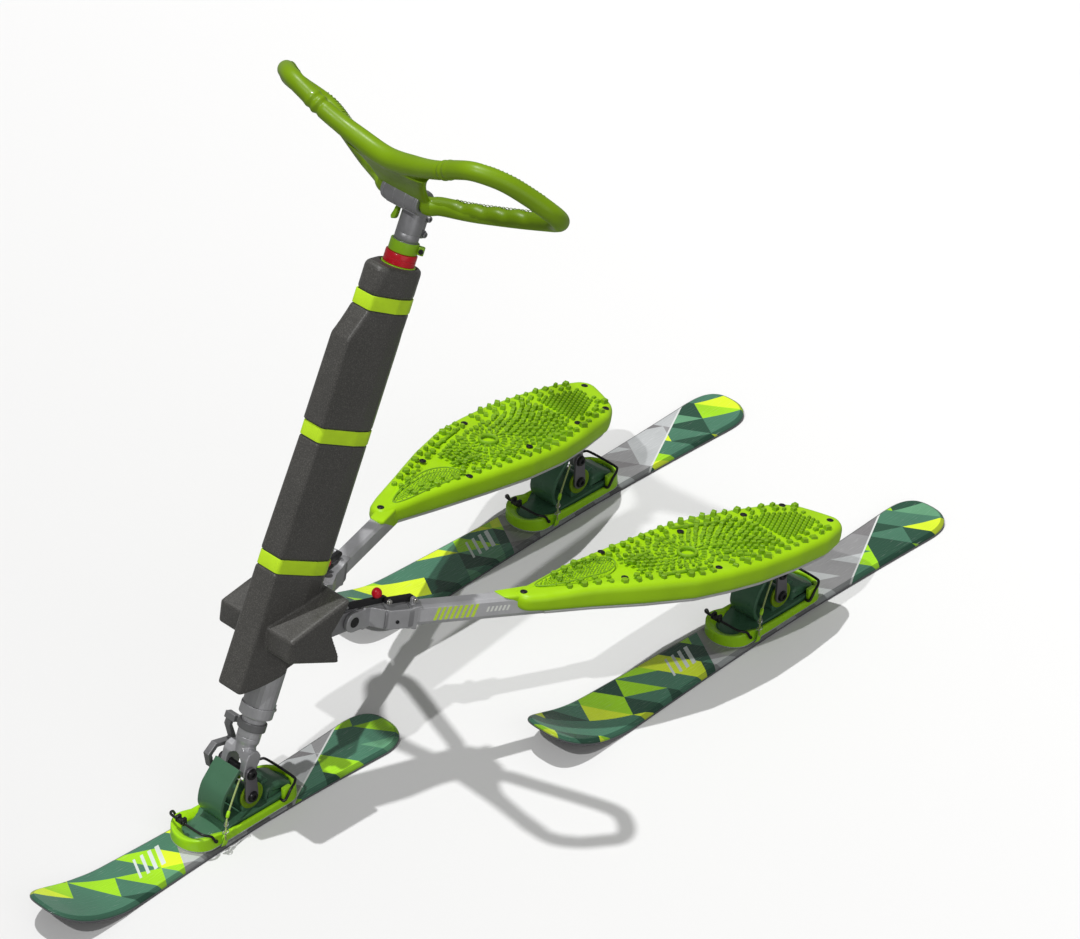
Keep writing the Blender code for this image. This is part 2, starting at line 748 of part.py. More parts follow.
def make_adapter(name, x, y):
    """Boot-shaped adapter: sole, toe, upright shield, pivot boss and heel."""
    place = Matrix.Translation((x, y, 0))
    floor = PLATE_BASE + PLATE_FLOOR + GAP
    outline = inset(plate_outline(PLATE_HALF_WIDTH, PLATE_AHEAD, PLATE_BEHIND), PLATE_WALL + GAP)
    made = add(f"boot_adapter_{name}", slab(outline, floor, floor + SOLE_HEIGHT - 0.004),
               "pine_plastic", f"pitch_axis_{name}", place)
    join(made, tool(slab(shield_profile(), -SHIELD_HALF_WIDTH, SHIELD_HALF_WIDTH, SIDE_VIEW), place))
    join(made, tool(slab(heel_profile(), -HEEL_HALF_WIDTH, HEEL_HALF_WIDTH, SIDE_VIEW), place))
    toe = [(-0.1135, 0.028), (-0.107, 0.036), (-0.094, 0.041), (-0.06, 0.041), (-0.06, 0.026),
           (-0.1135, 0.026)]
    join(made, tool(slab(toe, -TOE_HALF_WIDTH, TOE_HALF_WIDTH, SIDE_VIEW), place))
    axle = PIVOT_Z - LINK_DROP
    web = stadium((0, axle), BOSS_RADIUS, (0, floor + WEB_FOOT_RADIUS), WEB_FOOT_RADIUS)
    join(made, tool(slab(web, -LINK_INNER + GAP, LINK_INNER - GAP, SIDE_VIEW), place))
    reach = LINK_INNER + 0.01
    cut(made, tool(bore((-reach, 0, axle), (reach, 0, axle), BOLT_RADIUS + GAP), place))
    return made


def make_link(name, x, y):
    """Two side links joined by the lower cross bolt; they turn on the pivot bolt."""
    place = Matrix.Translation((x, y, 0))
    axle = PIVOT_Z - LINK_DROP
    outline = stadium((0, PIVOT_Z), LINK_RADIUS, (0, axle), LINK_RADIUS)
    outer = LINK_INNER + LINK_THICKNESS
    made = add(f"ski_link_{name}", slab(outline, LINK_INNER, outer, SIDE_VIEW), "grey_metal",
               f"pitch_axis_{name}", place)
    join(made, tool(slab(outline, -outer, -LINK_INNER, SIDE_VIEW), place))
    join(made, tool(rod((-outer - 0.001, 0, axle), (outer + 0.001, 0, axle), BOLT_RADIUS), place))
    for side in (1, -1):
        head = rod((side * (outer - 0.001), 0, axle), (side * (outer + BOLT_HEAD_HEIGHT), 0, axle),
                   BOLT_HEAD_RADIUS, sides=12)
        join(made, tool(head, place))
    eye = bore((-outer - 0.01, 0, PIVOT_Z), (outer + 0.01, 0, PIVOT_Z), BOLT_RADIUS + GAP)
    cut(made, tool(eye, place))
    return made


def make_pivot_bolt(name, x, y, parent):
    """Pivot bolt of one ski: shaft with a head at each end."""
    half = LINK_INNER + LINK_THICKNESS + GAP
    end = half + BOLT_HEAD_HEIGHT
    profile = ((0, end), (BOLT_HEAD_RADIUS, end), (BOLT_HEAD_RADIUS, half), (BOLT_RADIUS, half),
               (BOLT_RADIUS, -half), (BOLT_HEAD_RADIUS, -half), (BOLT_HEAD_RADIUS, -end), (0, -end))
    place = Matrix.Translation((x, y, PIVOT_Z)) @ ALONG_X
    return turned(f"pivot_bolt_{name}", profile, "black_metal", parent, place, steps=12)


def bail_path(reach, height, ahead):
    """Wire bail: a stub in each bore, up along the side and across the end."""
    stub = PLATE_HALF_WIDTH - PLATE_WALL + 0.0015
    wide = BAIL_HALF_WIDTH
    half = [(stub, 0, 0), (wide - 0.001, 0, 0), (wide, ahead * 0.004, 0.0015),
            (wide - 0.001, ahead * reach * 0.45, height * 0.7),
            (wide - 0.0065, ahead * reach * 0.85, height * 0.95), (wide - 0.019, ahead * reach, height)]
    return half + [(-u, v, w) for u, v, w in reversed(half)]


def make_toe_bail(name, x, y):
    """Toe bail wire with its lever block on the cross piece."""
    place = Matrix.Translation((x, y + TOE_BAIL_HINGE_Y, BAIL_HINGE_Z))
    path = bail_path(TOE_BAIL_REACH, TOE_BAIL_HEIGHT, -1)
    made = add(f"toe_bail_{name}", wire(path, WIRE_RADIUS, 1, smooth=False), "black_metal",
               f"toe_bail_axis_{name}", place)
    low = (-0.021, -TOE_BAIL_REACH - 0.004, TOE_BAIL_HEIGHT - 0.003)
    high = (-0.003, -TOE_BAIL_REACH + 0.005, TOE_BAIL_HEIGHT + 0.005)
    join(made, tool(box(low, high), place))
    return made


def make_heel_bail(name, x, y):
    """Heel bail wire over the adapter's heel."""
    place = Matrix.Translation((x, y + HEEL_BAIL_HINGE_Y, BAIL_HINGE_Z))
    path = bail_path(HEEL_BAIL_REACH, HEEL_BAIL_HEIGHT, 1)
    return add(f"heel_bail_{name}", wire(path, WIRE_RADIUS, 1, smooth=False), "black_metal",
               f"heel_bail_axis_{name}", place)


def make_leash(name, x, y):
    """Safety cord from the shield's edge to the eye on the binding, taut along its whole route."""
    start = SHIELD_HALF_WIDTH + CORD_RADIUS + GAP
    end = PLATE_HALF_WIDTH + LEASH_EYE_THICKNESS + CORD_RADIUS + GAP
    points = ((start, -0.0215, 0.105), (start + 0.001, -0.026, 0.1), (0.038, -0.048, 0.077),
              (0.045, -0.066, 0.057), (end, -0.074, 0.042), (end + 0.003, -0.0785, 0.031),
              (end + 0.0015, -0.0765, 0.0215), (end, -0.0715, 0.0205))
    return add(f"leash_{name}", wire(points, CORD_RADIUS, 1, samples=2), "cord", f"pitch_axis_{name}",
               Matrix.Translation((x, y, 0)))


def make_ski_unit(name, x, y, length, ahead, bolt_parent):
    """Everything that is the same on each ski."""
    make_ski(name, x, y, length, ahead)
    make_binding(name, x, y)
    make_adapter(name, x, y)
    make_link(name, x, y)
    make_pivot_bolt(name, x, y, bolt_parent)
    make_toe_bail(name, x, y)
    make_heel_bail(name, x, y)
    make_leash(name, x, y)


def make_column():
    """Head tube, bushes, collar, seal, cap and the steering tube that turns in them."""
    sleeve("head_tube", HEAD_TUBE_BORE, HEAD_TUBE_RADIUS, HEAD_TUBE_LOW, HEAD_TUBE_TOP, "grey_metal", "frame")
    inner = STEERER_RADIUS + GAP
    outer = HEAD_TUBE_BORE - GAP
    low = HEAD_TUBE_LOW
    top = HEAD_TUBE_TOP
    sleeve("lower_bush", inner, outer, low + 0.001, low + BUSH_LENGTH, "bush_metal", "frame")
    sleeve("upper_bush", inner, outer, top - BUSH_LENGTH, top - 0.001, "bush_metal", "frame")
    collar_bore = HEAD_TUBE_RADIUS + GAP
    collar = sleeve("lower_collar", collar_bore, LOWER_COLLAR_RADIUS, HEAD_TUBE_LOW + 0.001,
                    HEAD_TUBE_LOW + LOWER_COLLAR_LENGTH, "grey_metal", "frame")
    lug_low = (-0.007, collar_bore + GAP, HEAD_TUBE_LOW + 0.003)
    lug_top = (0.007, LOWER_COLLAR_RADIUS + 0.009, HEAD_TUBE_LOW + LOWER_COLLAR_LENGTH - 0.002)
    join(collar, tool(box(lug_low, lug_top), COLUMN))
    seal_low = HEAD_TUBE_TOP + GAP
    seal_top = seal_low + SEAL_HEIGHT
    sleeve("seal_ring", STEERER_RADIUS + 0.002, SEAL_RADIUS, seal_low, seal_top, "lime_plastic",
           "frame")
    cap_low = seal_top + GAP
    cap_top = cap_low + CAP_HEIGHT
    profile = ((CAP_RADIUS - 0.0015, cap_top), (CAP_RADIUS, cap_top - 0.0015), (CAP_RADIUS, cap_low),
               (inner, cap_low), (inner, cap_top))
    turned("headset_cap", profile, "red_plastic", "frame", COLUMN, ring=True)
    sleeve("steering_tube", STEERER_BORE, STEERER_RADIUS, STEERER_LOW, STEERER_TOP, "bright_metal",
           "steering_axis")
    clamp_low = cap_top + GAP
    clamp_top = min(clamp_low + CLAMP_HEIGHT, STEERER_TOP)
    clamp = sleeve("stem_clamp", inner, CLAMP_RADIUS, clamp_low, clamp_top, "lime_plastic", "steering_axis")
    lug = Matrix.Rotation(math.radians(-60), 4, "Z")
    join(clamp, tool(box((CLAMP_RADIUS - 0.002, -0.007, clamp_low + 0.003),
                         (CLAMP_RADIUS + 0.009, 0.007, clamp_top - 0.003)), COLUMN @ lug.inverted()))


def pad_ring(front, narrow, s, rise=(0, 0, 0, 0)):
    """Outline of the pad at one height; rise lifts the face, sides and back."""
    face = front - narrow
    half = PAD_SIDE_HALF - narrow
    back = PAD_BACK - narrow
    right = [(PAD_FACE_HALF - narrow * 0.5, -face, s + rise[0]), (half, -PAD_SIDE_FRONT, s + rise[1]),
             (half, PAD_SIDE_BACK, s + rise[2]), (PAD_BACK_HALF, back, s + rise[3])]
    return right + [(-u, v, w) for u, v, w in reversed(right)]


def pad_sections():
    """Heights of the upper pad with its depth in front: grooves for the straps and a drawn-in top."""
    half = STRAP_WIDTH / 2 + 0.0015
    step = 0.0012
    return [
        (PAD_JOINT + GAP, LOWER_STRAP_FRONT, STRAP_GROOVE),
        (LOWER_STRAP_S + half, LOWER_STRAP_FRONT, STRAP_GROOVE),
        (LOWER_STRAP_S + half + step, PAD_LOW_FRONT, 0),
        (MIDDLE_STRAP_S - half - step, PAD_WAIST_FRONT, 0),
        (MIDDLE_STRAP_S - half, MIDDLE_STRAP_FRONT, STRAP_GROOVE),
        (MIDDLE_STRAP_S + half, MIDDLE_STRAP_FRONT, STRAP_GROOVE),
        (MIDDLE_STRAP_S + half + step, PAD_FRONT, 0),
        (PAD_KINK, PAD_FRONT, 0),
        (UPPER_STRAP_S - half - step, PAD_NECK_FRONT, 0),
        (UPPER_STRAP_S - half, UPPER_STRAP_FRONT, STRAP_GROOVE),
        (UPPER_STRAP_S + half, UPPER_STRAP_FRONT, STRAP_GROOVE),
        (UPPER_STRAP_S + half + step, PAD_NECK_FRONT, 0),
        (PAD_TOP - 0.008, PAD_NECK_FRONT + 0.001, 0),
        (PAD_TOP - 0.002, PAD_NECK_FRONT - 0.002, 0.003),
        (PAD_TOP, PAD_NECK_FRONT - 0.005, 0.007),
    ]


def make_pads():
    """Foam round the head tube: the long upper pad and the crown pad with its two wing guards."""
    upper = add("column_pad", loft([pad_ring(front, narrow, s) for s, front, narrow in pad_sections()]),
                "foam", "frame", COLUMN)
    hollow = bore((0, 0, 0), (0, 0, 1), HEAD_TUBE_RADIUS + GAP, sides=24)
    cut(upper, tool(hollow, COLUMN))
    recess = bore((0, 0, HEAD_TUBE_TOP - 0.002), (0, 0, 1), CLAMP_RADIUS + 0.0065, sides=24)
    cut(upper, tool(recess, COLUMN))
    slit_start = HEAD_TUBE_RADIUS - 0.004
    slit = box((-PAD_SLIT / 2, slit_start, 0), (PAD_SLIT / 2, PAD_BACK + 0.01, 1))
    cut(upper, tool(slit, COLUMN))
    half = STRAP_WIDTH / 2 + 0.0015
    rings = [pad_ring(PAD_LOW_FRONT, 0, PAD_LOW, (0, 0.017, 0.052, 0.068)),
             pad_ring(PAD_LOW_FRONT, 0, LOWER_STRAP_S - half - 0.0012),
             pad_ring(LOWER_STRAP_FRONT, STRAP_GROOVE, LOWER_STRAP_S - half),
             pad_ring(LOWER_STRAP_FRONT, STRAP_GROOVE, PAD_JOINT)]
    lower = add("crown_pad", loft(rings), "foam", "frame", COLUMN)
    wing = slab(WING_SIDE, -WING_HALF_WIDTH, WING_HALF_WIDTH, SIDE_VIEW)
    wings = tool(wing)
    soften(wings, 0.005, 2)
    join(lower, wings)
    cut(lower, tool(hollow.copy(), COLUMN))
    crown_low = (0, 0, CROWN_S - CROWN_HALF_HEIGHT - 0.001)
    crown_top = (0, 0, CROWN_S + CROWN_HALF_HEIGHT + 0.001)
    cut(lower, tool(bore(crown_low, crown_top, CROWN_RADIUS + GAP, sides=24), COLUMN))
    for side in (1, -1):
        pocket = slab(POCKET_SIDE, POCKET_INNER, WING_HALF_WIDTH - WING_WALL, SIDE_VIEW)
        cut(lower, tool(on_side(pocket, side)))


def make_straps():
    """Three straps that sit in the pad's grooves."""
    rows = (("pad_strap_lower", LOWER_STRAP_S, LOWER_STRAP_FRONT),
            ("pad_strap_middle", MIDDLE_STRAP_S, MIDDLE_STRAP_FRONT),
            ("pad_strap_upper", UPPER_STRAP_S, UPPER_STRAP_FRONT))
    for name, s, front in rows:
        ring = pad_ring(front, STRAP_GROOVE - GAP * 2, 0)
        curve = bpy.data.curves.new(name, "CURVE")
        curve.dimensions = "2D"
        curve.fill_mode = "NONE"
        curve.extrude = STRAP_WIDTH / 2
        line = curve.splines.new("POLY")
        line.points.add(len(ring) - 1)
        for point, (u, v, w) in zip(line.points, ring):
            point.co = (u, v, 0, 1)
        line.use_cyclic_u = True
        mesh = curve_mesh(curve)
        made = add(name, mesh, "lime_plastic", "frame", COLUMN @ Matrix.Translation((0, 0, s)))
        band = made.modifiers.new("band", "SOLIDIFY")
        band.thickness = STRAP_THICKNESS
        band.offset = 1
        band.use_even_offset = True


def make_crown():
    """Crown casting on the head tube with the two camber pins."""
    crown = sleeve("crown", HEAD_TUBE_RADIUS + GAP, CROWN_RADIUS, CROWN_S - CROWN_HALF_HEIGHT,
                   CROWN_S + CROWN_HALF_HEIGHT, "grey_metal", "frame")
    for side in (1, -1):
        start = (side * (HEAD_TUBE_RADIUS + 0.004), 0, CROWN_S)
        join(crown, tool(rod(start, (side * CAMBER_COLLAR_REACH, 0, CROWN_S), CAMBER_COLLAR_RADIUS), COLUMN))
        join(crown, tool(rod(start, (side * CAMBER_PIN_REACH, 0, CROWN_S), CAMBER_PIN_RADIUS), COLUMN))


def make_fork():
    """Fork casting: spigot in the steering tube, neck, arched foot and two pivot cheeks."""
    top = STEERER_LOW - GAP
    profile = ((0, top + 0.045), (STEERER_BORE - GAP, top + 0.045), (STEERER_BORE - GAP, top),
               (STEERER_RADIUS, top), (STEERER_RADIUS, top - 0.008), (0.0175, top - 0.014), (0.0175, 0.028),
               (0, 0.028))
    foot = turned("fork_foot", profile, "grey_metal", "steering_axis", COLUMN)
    rings = []
    spread = LINK_INNER - 2 * GAP
    for s, wide, deep in ((0.036, 0.016, 0.016), (0.024, 0.021, 0.0165), (0.008, spread, 0.0165),
                          (-0.004, spread, 0.016)):
        ring = [(wide * u, deep * v, s) for u, v in
                ((1, 0.55), (0.7, 1), (-0.7, 1), (-1, 0.55), (-1, -0.55), (-0.7, -1), (0.7, -1), (1, -0.55))]
        rings.append(ring)
    join(foot, tool(loft(rings), COLUMN))
    low = (FRONT_PIVOT_Y, PIVOT_Z)
    high = (FRONT_PIVOT_Y + 0.0105, PIVOT_Z + 0.02)
    outline = stadium(low, LINK_RADIUS, high, FORK_CHEEK_RADIUS)
    join(foot, tool(slab(outline, -LINK_INNER + GAP, LINK_INNER - GAP, SIDE_VIEW)))
    finish_cheeks(foot, 0, FRONT_PIVOT_Y, PIVOT_Z + 0.012)


def finish_cheeks(foot, x, y, arch_z):
    """Open the arch between the cheeks and bore them for the pivot bolt."""
    arch = [(-CHEEK_INNER, PIVOT_Z - 0.04), (-CHEEK_INNER, arch_z)]
    arch += [(u, v) for u, v in arc((0, arch_z), CHEEK_INNER, 180, 0, 8)][1:]
    arch += [(CHEEK_INNER, PIVOT_Z - 0.04)]
    upright = Matrix(((1, 0, 0, x), (0, 0, 1, y), (0, 1, 0, 0), (0, 0, 0, 1)))
    cut(foot, tool(slab(arch, -0.05, 0.05, upright)))
    reach = LINK_INNER + 0.02
    cut(foot, tool(bore((x - reach, y, PIVOT_Z), (x + reach, y, PIVOT_Z), BOLT_RADIUS + GAP)))


def make_stop_arm():
    """Hooked stop beside the shield, fixed to the fork's neck."""
    outer = [(-0.4885, 0.172), (-0.4955, 0.158), (-0.489, 0.128), (-0.5235, 0.1375), (-0.5425, 0.1235),
             (-0.5385, 0.095)]
    inner = [(-0.5305, 0.096), (-0.5335, 0.1195), (-0.521, 0.1285), (-0.4775, 0.1165), (-0.4875, 0.157),
             (-0.4805, 0.168)]
    blade_outer = -STOP_BLADE_INNER - STOP_BLADE_THICKNESS
    blade = slab(outer + inner, blade_outer, -STOP_BLADE_INNER, SIDE_VIEW)
    made = add("stop_arm", blade, "black_metal", "steering_axis")
    ring_top = STOP_RING_S + STOP_RING_HEIGHT
    ring_outer = STEERER_RADIUS + STOP_RING_WALL
    ring = sleeve("", STEERER_RADIUS + GAP, ring_outer, STOP_RING_S, ring_top, None, None)
    join(made, ring)
    bridge_low = (blade_outer + 0.0015, -STEERER_RADIUS - 0.0015, STOP_RING_S + 0.001)
    bridge_top = (-STEERER_RADIUS - 0.0015, -0.009, ring_top - 0.001)
    join(made, tool(box(bridge_low, bridge_top), COLUMN))


def make_stem():
    """Stem tube with its clamped head, the bar clamp on top and the quick lever."""
    top = STEM_HEAD_TOP
    shoulder = STEERER_TOP + GAP
    tube = STEERER_BORE - GAP
    profile = ((STEERER_RADIUS - 0.002, top), (STEERER_RADIUS, top - 0.004), (STEERER_RADIUS, shoulder),
               (tube, shoulder), (tube, STEM_TUBE_LOW), (STEM_TUBE_BORE, STEM_TUBE_LOW), (STEM_TUBE_BORE, top))
    stem = turned("stem", profile, "grey_metal", "stem_slide", COLUMN, ring=True)
    lug_low = (-0.0085, STEERER_RADIUS - 0.003, shoulder + 0.006)
    lug_top = (0.0085, STEERER_RADIUS + 0.008, top - 0.006)
    join(stem, tool(box(lug_low, lug_top), COLUMN))
    for s in (shoulder + 0.014, top - 0.013):
        bolt = rod((0, STEERER_RADIUS + 0.006, s), (0, STEERER_RADIUS + 0.015, s), 0.005, sides=12)
        join(stem, tool(bolt, COLUMN))
    ear_e = LEVER_E + 0.005 + 0.0005
    ear_low = (-LEVER_X - 0.004, ear_e, LEVER_S - 0.005)
    ear_top = (-LEVER_X + 0.009, ear_e + 0.006, LEVER_S + LEVER_TOP)
    join(stem, tool(box(ear_low, ear_top), COLUMN))
    clamp_body()


def clamp_body():
    """Grey clamp round the middle of the bar, on the stem head."""
    centre = (BAR_REAR[-1][1], BAR_REAR[-1][2])
    seat = STEM_HEAD_TOP + GAP
    ends = [(-BAR_CLAMP_HALF, *centre), (BAR_CLAMP_HALF, *centre)]
    clamp = add("bar_clamp", rod(ends[0], ends[1], BAR_CLAMP_RADIUS), "grey_metal", "stem_slide", COLUMN)
    join(clamp, tool(box((-0.03, centre[0] - 0.016, seat), (0.03, 0.012, seat + 0.0075)), COLUMN))
    cut(clamp, tool(bore((-0.1, *centre), (0.1, *centre), BAR_CORE_RADIUS + GAP, sides=24), COLUMN))


def bar_path():
    """Closed path of the bar: across the front, round each hand loop and back through the clamp."""
    right = list(BAR_FRONT) + list(BAR_LOOP) + [BAR_REAR[0]]
    left = mirrored(right[1:], -1)
    straight = BAR_CLAMP_HALF + 0.006
    middle = [(x, BAR_REAR[1][1], BAR_REAR[1][2]) for x in (straight, 0, -straight)]
    return right + middle + left[::-1]


def make_handlebar():
    """One moulded bar: two closed hand loops, a front bar and a web down to the clamp."""
    made = add("handlebar", wire(bar_path(), GRIP_RADIUS, 2, cyclic=True, samples=2), "lime_plastic",
               "stem_slide", COLUMN)
    centre = Vector((0, BAR_REAR[1][1], BAR_REAR[1][2]))
    clear = BAR_CLAMP_HALF + GAP
    front = Vector(BAR_FRONT[0])
    lift = (front - centre)
    heading = math.atan2(lift.z, -lift.y)
    plane = COLUMN @ Matrix.Translation(centre) @ Matrix.Rotation(-heading, 4, "X")
    length = lift.length
    web = [(-WEB_REAR_HALF, 0.004), (-WEB_FRONT_HALF, -length), (WEB_FRONT_HALF, -length),
           (WEB_REAR_HALF, 0.004)]
    join(made, tool(slab(web, -WEB_THICKNESS / 2, WEB_THICKNESS / 2), plane))
    wide = (BAR_CLAMP_RADIUS + GAP) / math.cos(math.pi / 24)
    seat = ((wide, clear), (wide, -clear), (BAR_CORE_RADIUS, -clear), (BAR_CORE_RADIUS, clear))
    place = COLUMN @ Matrix.Translation(centre) @ ALONG_X
    cut(made, turned("seat", seat, None, None, place, ring=True, steps=24))


def make_lever():
    """Cam lever of the stem head."""
    top = LEVER_S + LEVER_TOP
    low = LEVER_S - LEVER_LENGTH
    body = [(-LEVER_X - 0.003, top), (-LEVER_X + 0.001, top), (-LEVER_X + 0.0005, low + 0.003),
            (-LEVER_X - 0.006, low), (-LEVER_X - 0.0085, low + 0.005)]
    face = Matrix(((1, 0, 0, 0), (0, 0, 1, LEVER_E), (0, 1, 0, 0), (0, 0, 0, 1)))
    front = 0.004 - LEVER_WIDTH
    add("quick_lever", slab(body, front + 0.001, front + 0.001 + LEVER_WIDTH, face), "lime_plastic",
        "lever_axis", COLUMN)


def arm_line(v):
    """Sideways place of the arm's middle line: splayed to the bend, then nearly straight back."""
    root = ARM_ROOT_X
    bend = ARM_BEND_V
    if v <= bend:
        return root + ARM_SPLAY * v * math.cos(ARM_SLOPE)
    start = root + ARM_SPLAY * bend * math.cos(ARM_SLOPE)
    return start + (HALF_TRACK - start) * (v - bend) / (REAR_PIVOT_V - bend)


def arm_strip(start, end, width, steps=5):
    """Plan outline of a strip of constant width along the arm's middle line."""
    stations = [start]
    if start < ARM_BEND_V < end:
        first = ARM_BEND_V - ARM_BEND_SPREAD
        stations += [first + 2 * ARM_BEND_SPREAD * i / steps for i in range(steps + 1)]
    stations.append(end)
    middle = [Vector((smooth_line(v), v)) for v in stations]
    left = []
    right = []
    for i, place in enumerate(middle):
        ahead = middle[min(i + 1, len(middle) - 1)] - middle[max(i - 1, 0)]
        side = Vector((ahead.y, -ahead.x)).normalized() * width / 2
        left.append(tuple(place - side))
        right.append(tuple(place + side))
    return right + left[::-1]


def smooth_line(v):
    """Middle line with its bend rounded by averaging over a short length."""
    if abs(v - ARM_BEND_V) > ARM_BEND_SPREAD:
        return arm_line(v)
    return sum(arm_line(v + ARM_BEND_SPREAD * step / 4) for step in (-4, -2, 0, 2, 4)) / 5


def arm_tube(side):
    """Bent rectangular tube with chamfered long edges."""
    half = TUBE_HEIGHT / 2
    levels = ((-half, TUBE_WIDTH - 2 * TUBE_CHAMFER), (-half + TUBE_CHAMFER, TUBE_WIDTH),
              (half - TUBE_CHAMFER, TUBE_WIDTH), (half, TUBE_WIDTH - 2 * TUBE_CHAMFER))
    rings = []
    for w, width in levels:
        outline = mirrored(arm_strip(TUBE_START_V, ARM_END_V, width), side)
        rings.append([(u, v, w) for u, v in outline])
    return loft(rings)


def make_arm(name, side):
    """Arm frame: bent tube with the pan that carries the deck, plus the deck and rear foot."""
    body = f"fold_axis_{name}"
    frame = add(f"arm_frame_{name}", arm_tube(side), "bright_metal", body, ARM_PLANE)
    outline = mirrored(DECK_OUTLINE, side)
    pan = [point for point in inset(outline, PAN_INSET) if point[1] > 0.3]
    join(frame, tool(slab(pan, PAN_LOW_W, DECK_SKIRT_W - GAP), ARM_PLANE))
    make_deck(name, side, outline)
    make_rear_foot(name, side)
    make_knuckle(name, side)


def make_deck(name, side, outline):
    """Foot deck: a moulded shell with a rolled edge and a mouth for the arm tube."""
    shoulder = DECK_TOP_W - DECK_ROUND
    outer = [(DECK_SKIRT_W, 0), (shoulder, 0), (DECK_TOP_W - DECK_ROUND * 0.3, DECK_ROUND * 0.3),
             (DECK_TOP_W, DECK_ROUND)]
    inner = [(DECK_SKIRT_W - 0.02, DECK_WALL), (shoulder, DECK_WALL), (DECK_TOP_W - DECK_WALL, DECK_ROUND)]
    deck = add(f"deck_{name}", stacked(outline, outer), "lime_plastic", f"fold_axis_{name}", ARM_PLANE)
    cut(deck, tool(stacked(outline, inner), ARM_PLANE))
    half = TUBE_HEIGHT / 2 + GAP
    mouth = mirrored(arm_strip(TUBE_START_V, ARM_BEND_V + 0.1, TUBE_WIDTH + 2 * GAP), side)
    cut(deck, tool(slab(mouth, -0.05, half), ARM_PLANE))


def stacked(outline, levels):
    """Solid through one outline at several heights, each with its own inset."""
    return loft([[(u, v, w) for u, v in inset(outline, distance)] for w, distance in levels])


def make_rear_foot(name, side):
    """Casting under the arm's end: saddle plate, arched block and two pivot cheeks."""
    x = side * HALF_TRACK
    under = -TUBE_HEIGHT / 2 - GAP
    v = REAR_PIVOT_V
    inner = HALF_TRACK - LINK_INNER
    outer = HALF_TRACK + LINK_INNER
    plate = [(inner, v - SADDLE_AHEAD), (outer, v - SADDLE_AHEAD), (outer, v + SADDLE_BEHIND),
             (inner, v + SADDLE_BEHIND)]
    saddle = slab(mirrored(plate, side), under - SADDLE_THICKNESS, under)
    foot = add(f"rear_foot_{name}", saddle, "grey_metal", f"fold_axis_{name}", ARM_PLANE)
    low = (REAR_PIVOT_Y, PIVOT_Z)
    saddle_z = (ARM_PLANE @ Vector((0, v, under - SADDLE_THICKNESS / 2))).z
    high = (REAR_PIVOT_Y, saddle_z - FOOT_CHEEK_RADIUS)
    outline = stadium(low, LINK_RADIUS, high, FOOT_CHEEK_RADIUS)
    reach = LINK_INNER - GAP
    join(foot, tool(slab(outline, x - reach, x + reach, SIDE_VIEW)))
    finish_cheeks(foot, x, REAR_PIVOT_Y, PIVOT_Z + 0.008)


def ear_span():
    """Sideways spans of the two ears and of the tongue between them."""
    tongue = TONGUE_WIDTH / 2
    inner = ARM_ROOT_X - tongue - GAP - EAR_THICKNESS
    outer = ARM_ROOT_X + tongue + GAP + EAR_THICKNESS
    return inner, outer


def make_knuckle(name, side):
    """Fold knuckle: two ears round the fold pin and a sleeve over the tube's end."""
    inner, outer = ear_span()
    body = [(inner, 0.02), (outer, 0.02), (outer, 0.034)]
    rear = arm_strip(0.06, KNUCKLE_END_V, KNUCKLE_WIDTH)
    plan = body + [rear[0], rear[1], rear[2], rear[3], (inner, 0.034)]
    half = KNUCKLE_HEIGHT / 2
    mesh = on_side(slab(plan, -half, half), side)
    made = add(f"arm_knuckle_{name}", mesh, "grey_metal", f"fold_axis_{name}", ARM_PLANE)
    join(made, tool(on_side(rod((inner, 0, 0), (outer, 0, 0), EAR_RADIUS, sides=20), side), ARM_PLANE))
    high = EAR_RADIUS * 0.97
    join(made, tool(on_side(box((inner, 0, -high), (outer, 0.03, high)), side), ARM_PLANE))
    gap = TONGUE_WIDTH / 2 + GAP
    slot = box((ARM_ROOT_X - gap, -0.03, -0.03), (ARM_ROOT_X + gap, TONGUE_CLEAR, 0.04))
    cut(made, tool(on_side(slot, side), ARM_PLANE))
    foot = (LATCH_REAR_Y + 0.004, LATCH_REAR_Z - 0.012)
    lug = stadium((LATCH_REAR_Y, LATCH_REAR_Z), LATCH_LINK_RADIUS, foot, 0.009)
    start = LATCH_REAR_X + LATCH_LINK_WIDTH / 2 + GAP
    join(made, tool(on_side(slab(lug, start, start + LATCH_LUG_WIDTH, SIDE_VIEW), side)))
    socket = slab(arm_strip(TUBE_START_V - GAP, 0.2, TUBE_WIDTH + 2 * GAP), -TUBE_HEIGHT / 2 - GAP,
                  TUBE_HEIGHT / 2 + GAP)
    cut(made, tool(on_side(socket, side), ARM_PLANE))
    hole = bore((inner - 0.02, 0, 0), (outer + 0.02, 0, 0), FOLD_PIN_RADIUS + GAP)
    cut(made, tool(on_side(hole, side), ARM_PLANE))
    make_fold_pin(name, side, inner, outer)


def make_fold_pin(name, side, inner, outer):
    """Fold pin with a knurled knob on the inner side."""
    start = inner - GAP - KNOB_LENGTH
    knob_end = inner - GAP
    end = outer - 0.002
    profile = ((0, end), (FOLD_PIN_RADIUS, end), (FOLD_PIN_RADIUS, knob_end), (KNOB_RADIUS, knob_end),
               (KNOB_RADIUS, start + 0.002), (KNOB_RADIUS - 0.002, start), (0, start))
    outwards = Matrix.Rotation(math.radians(90 * side), 4, "Y")
    place = Matrix.Translation((0, FOLD_Y, FOLD_Z)) @ outwards
    turned(f"fold_pin_{name}", profile, "lime_plastic", f"fold_axis_{name}", place, steps=16)


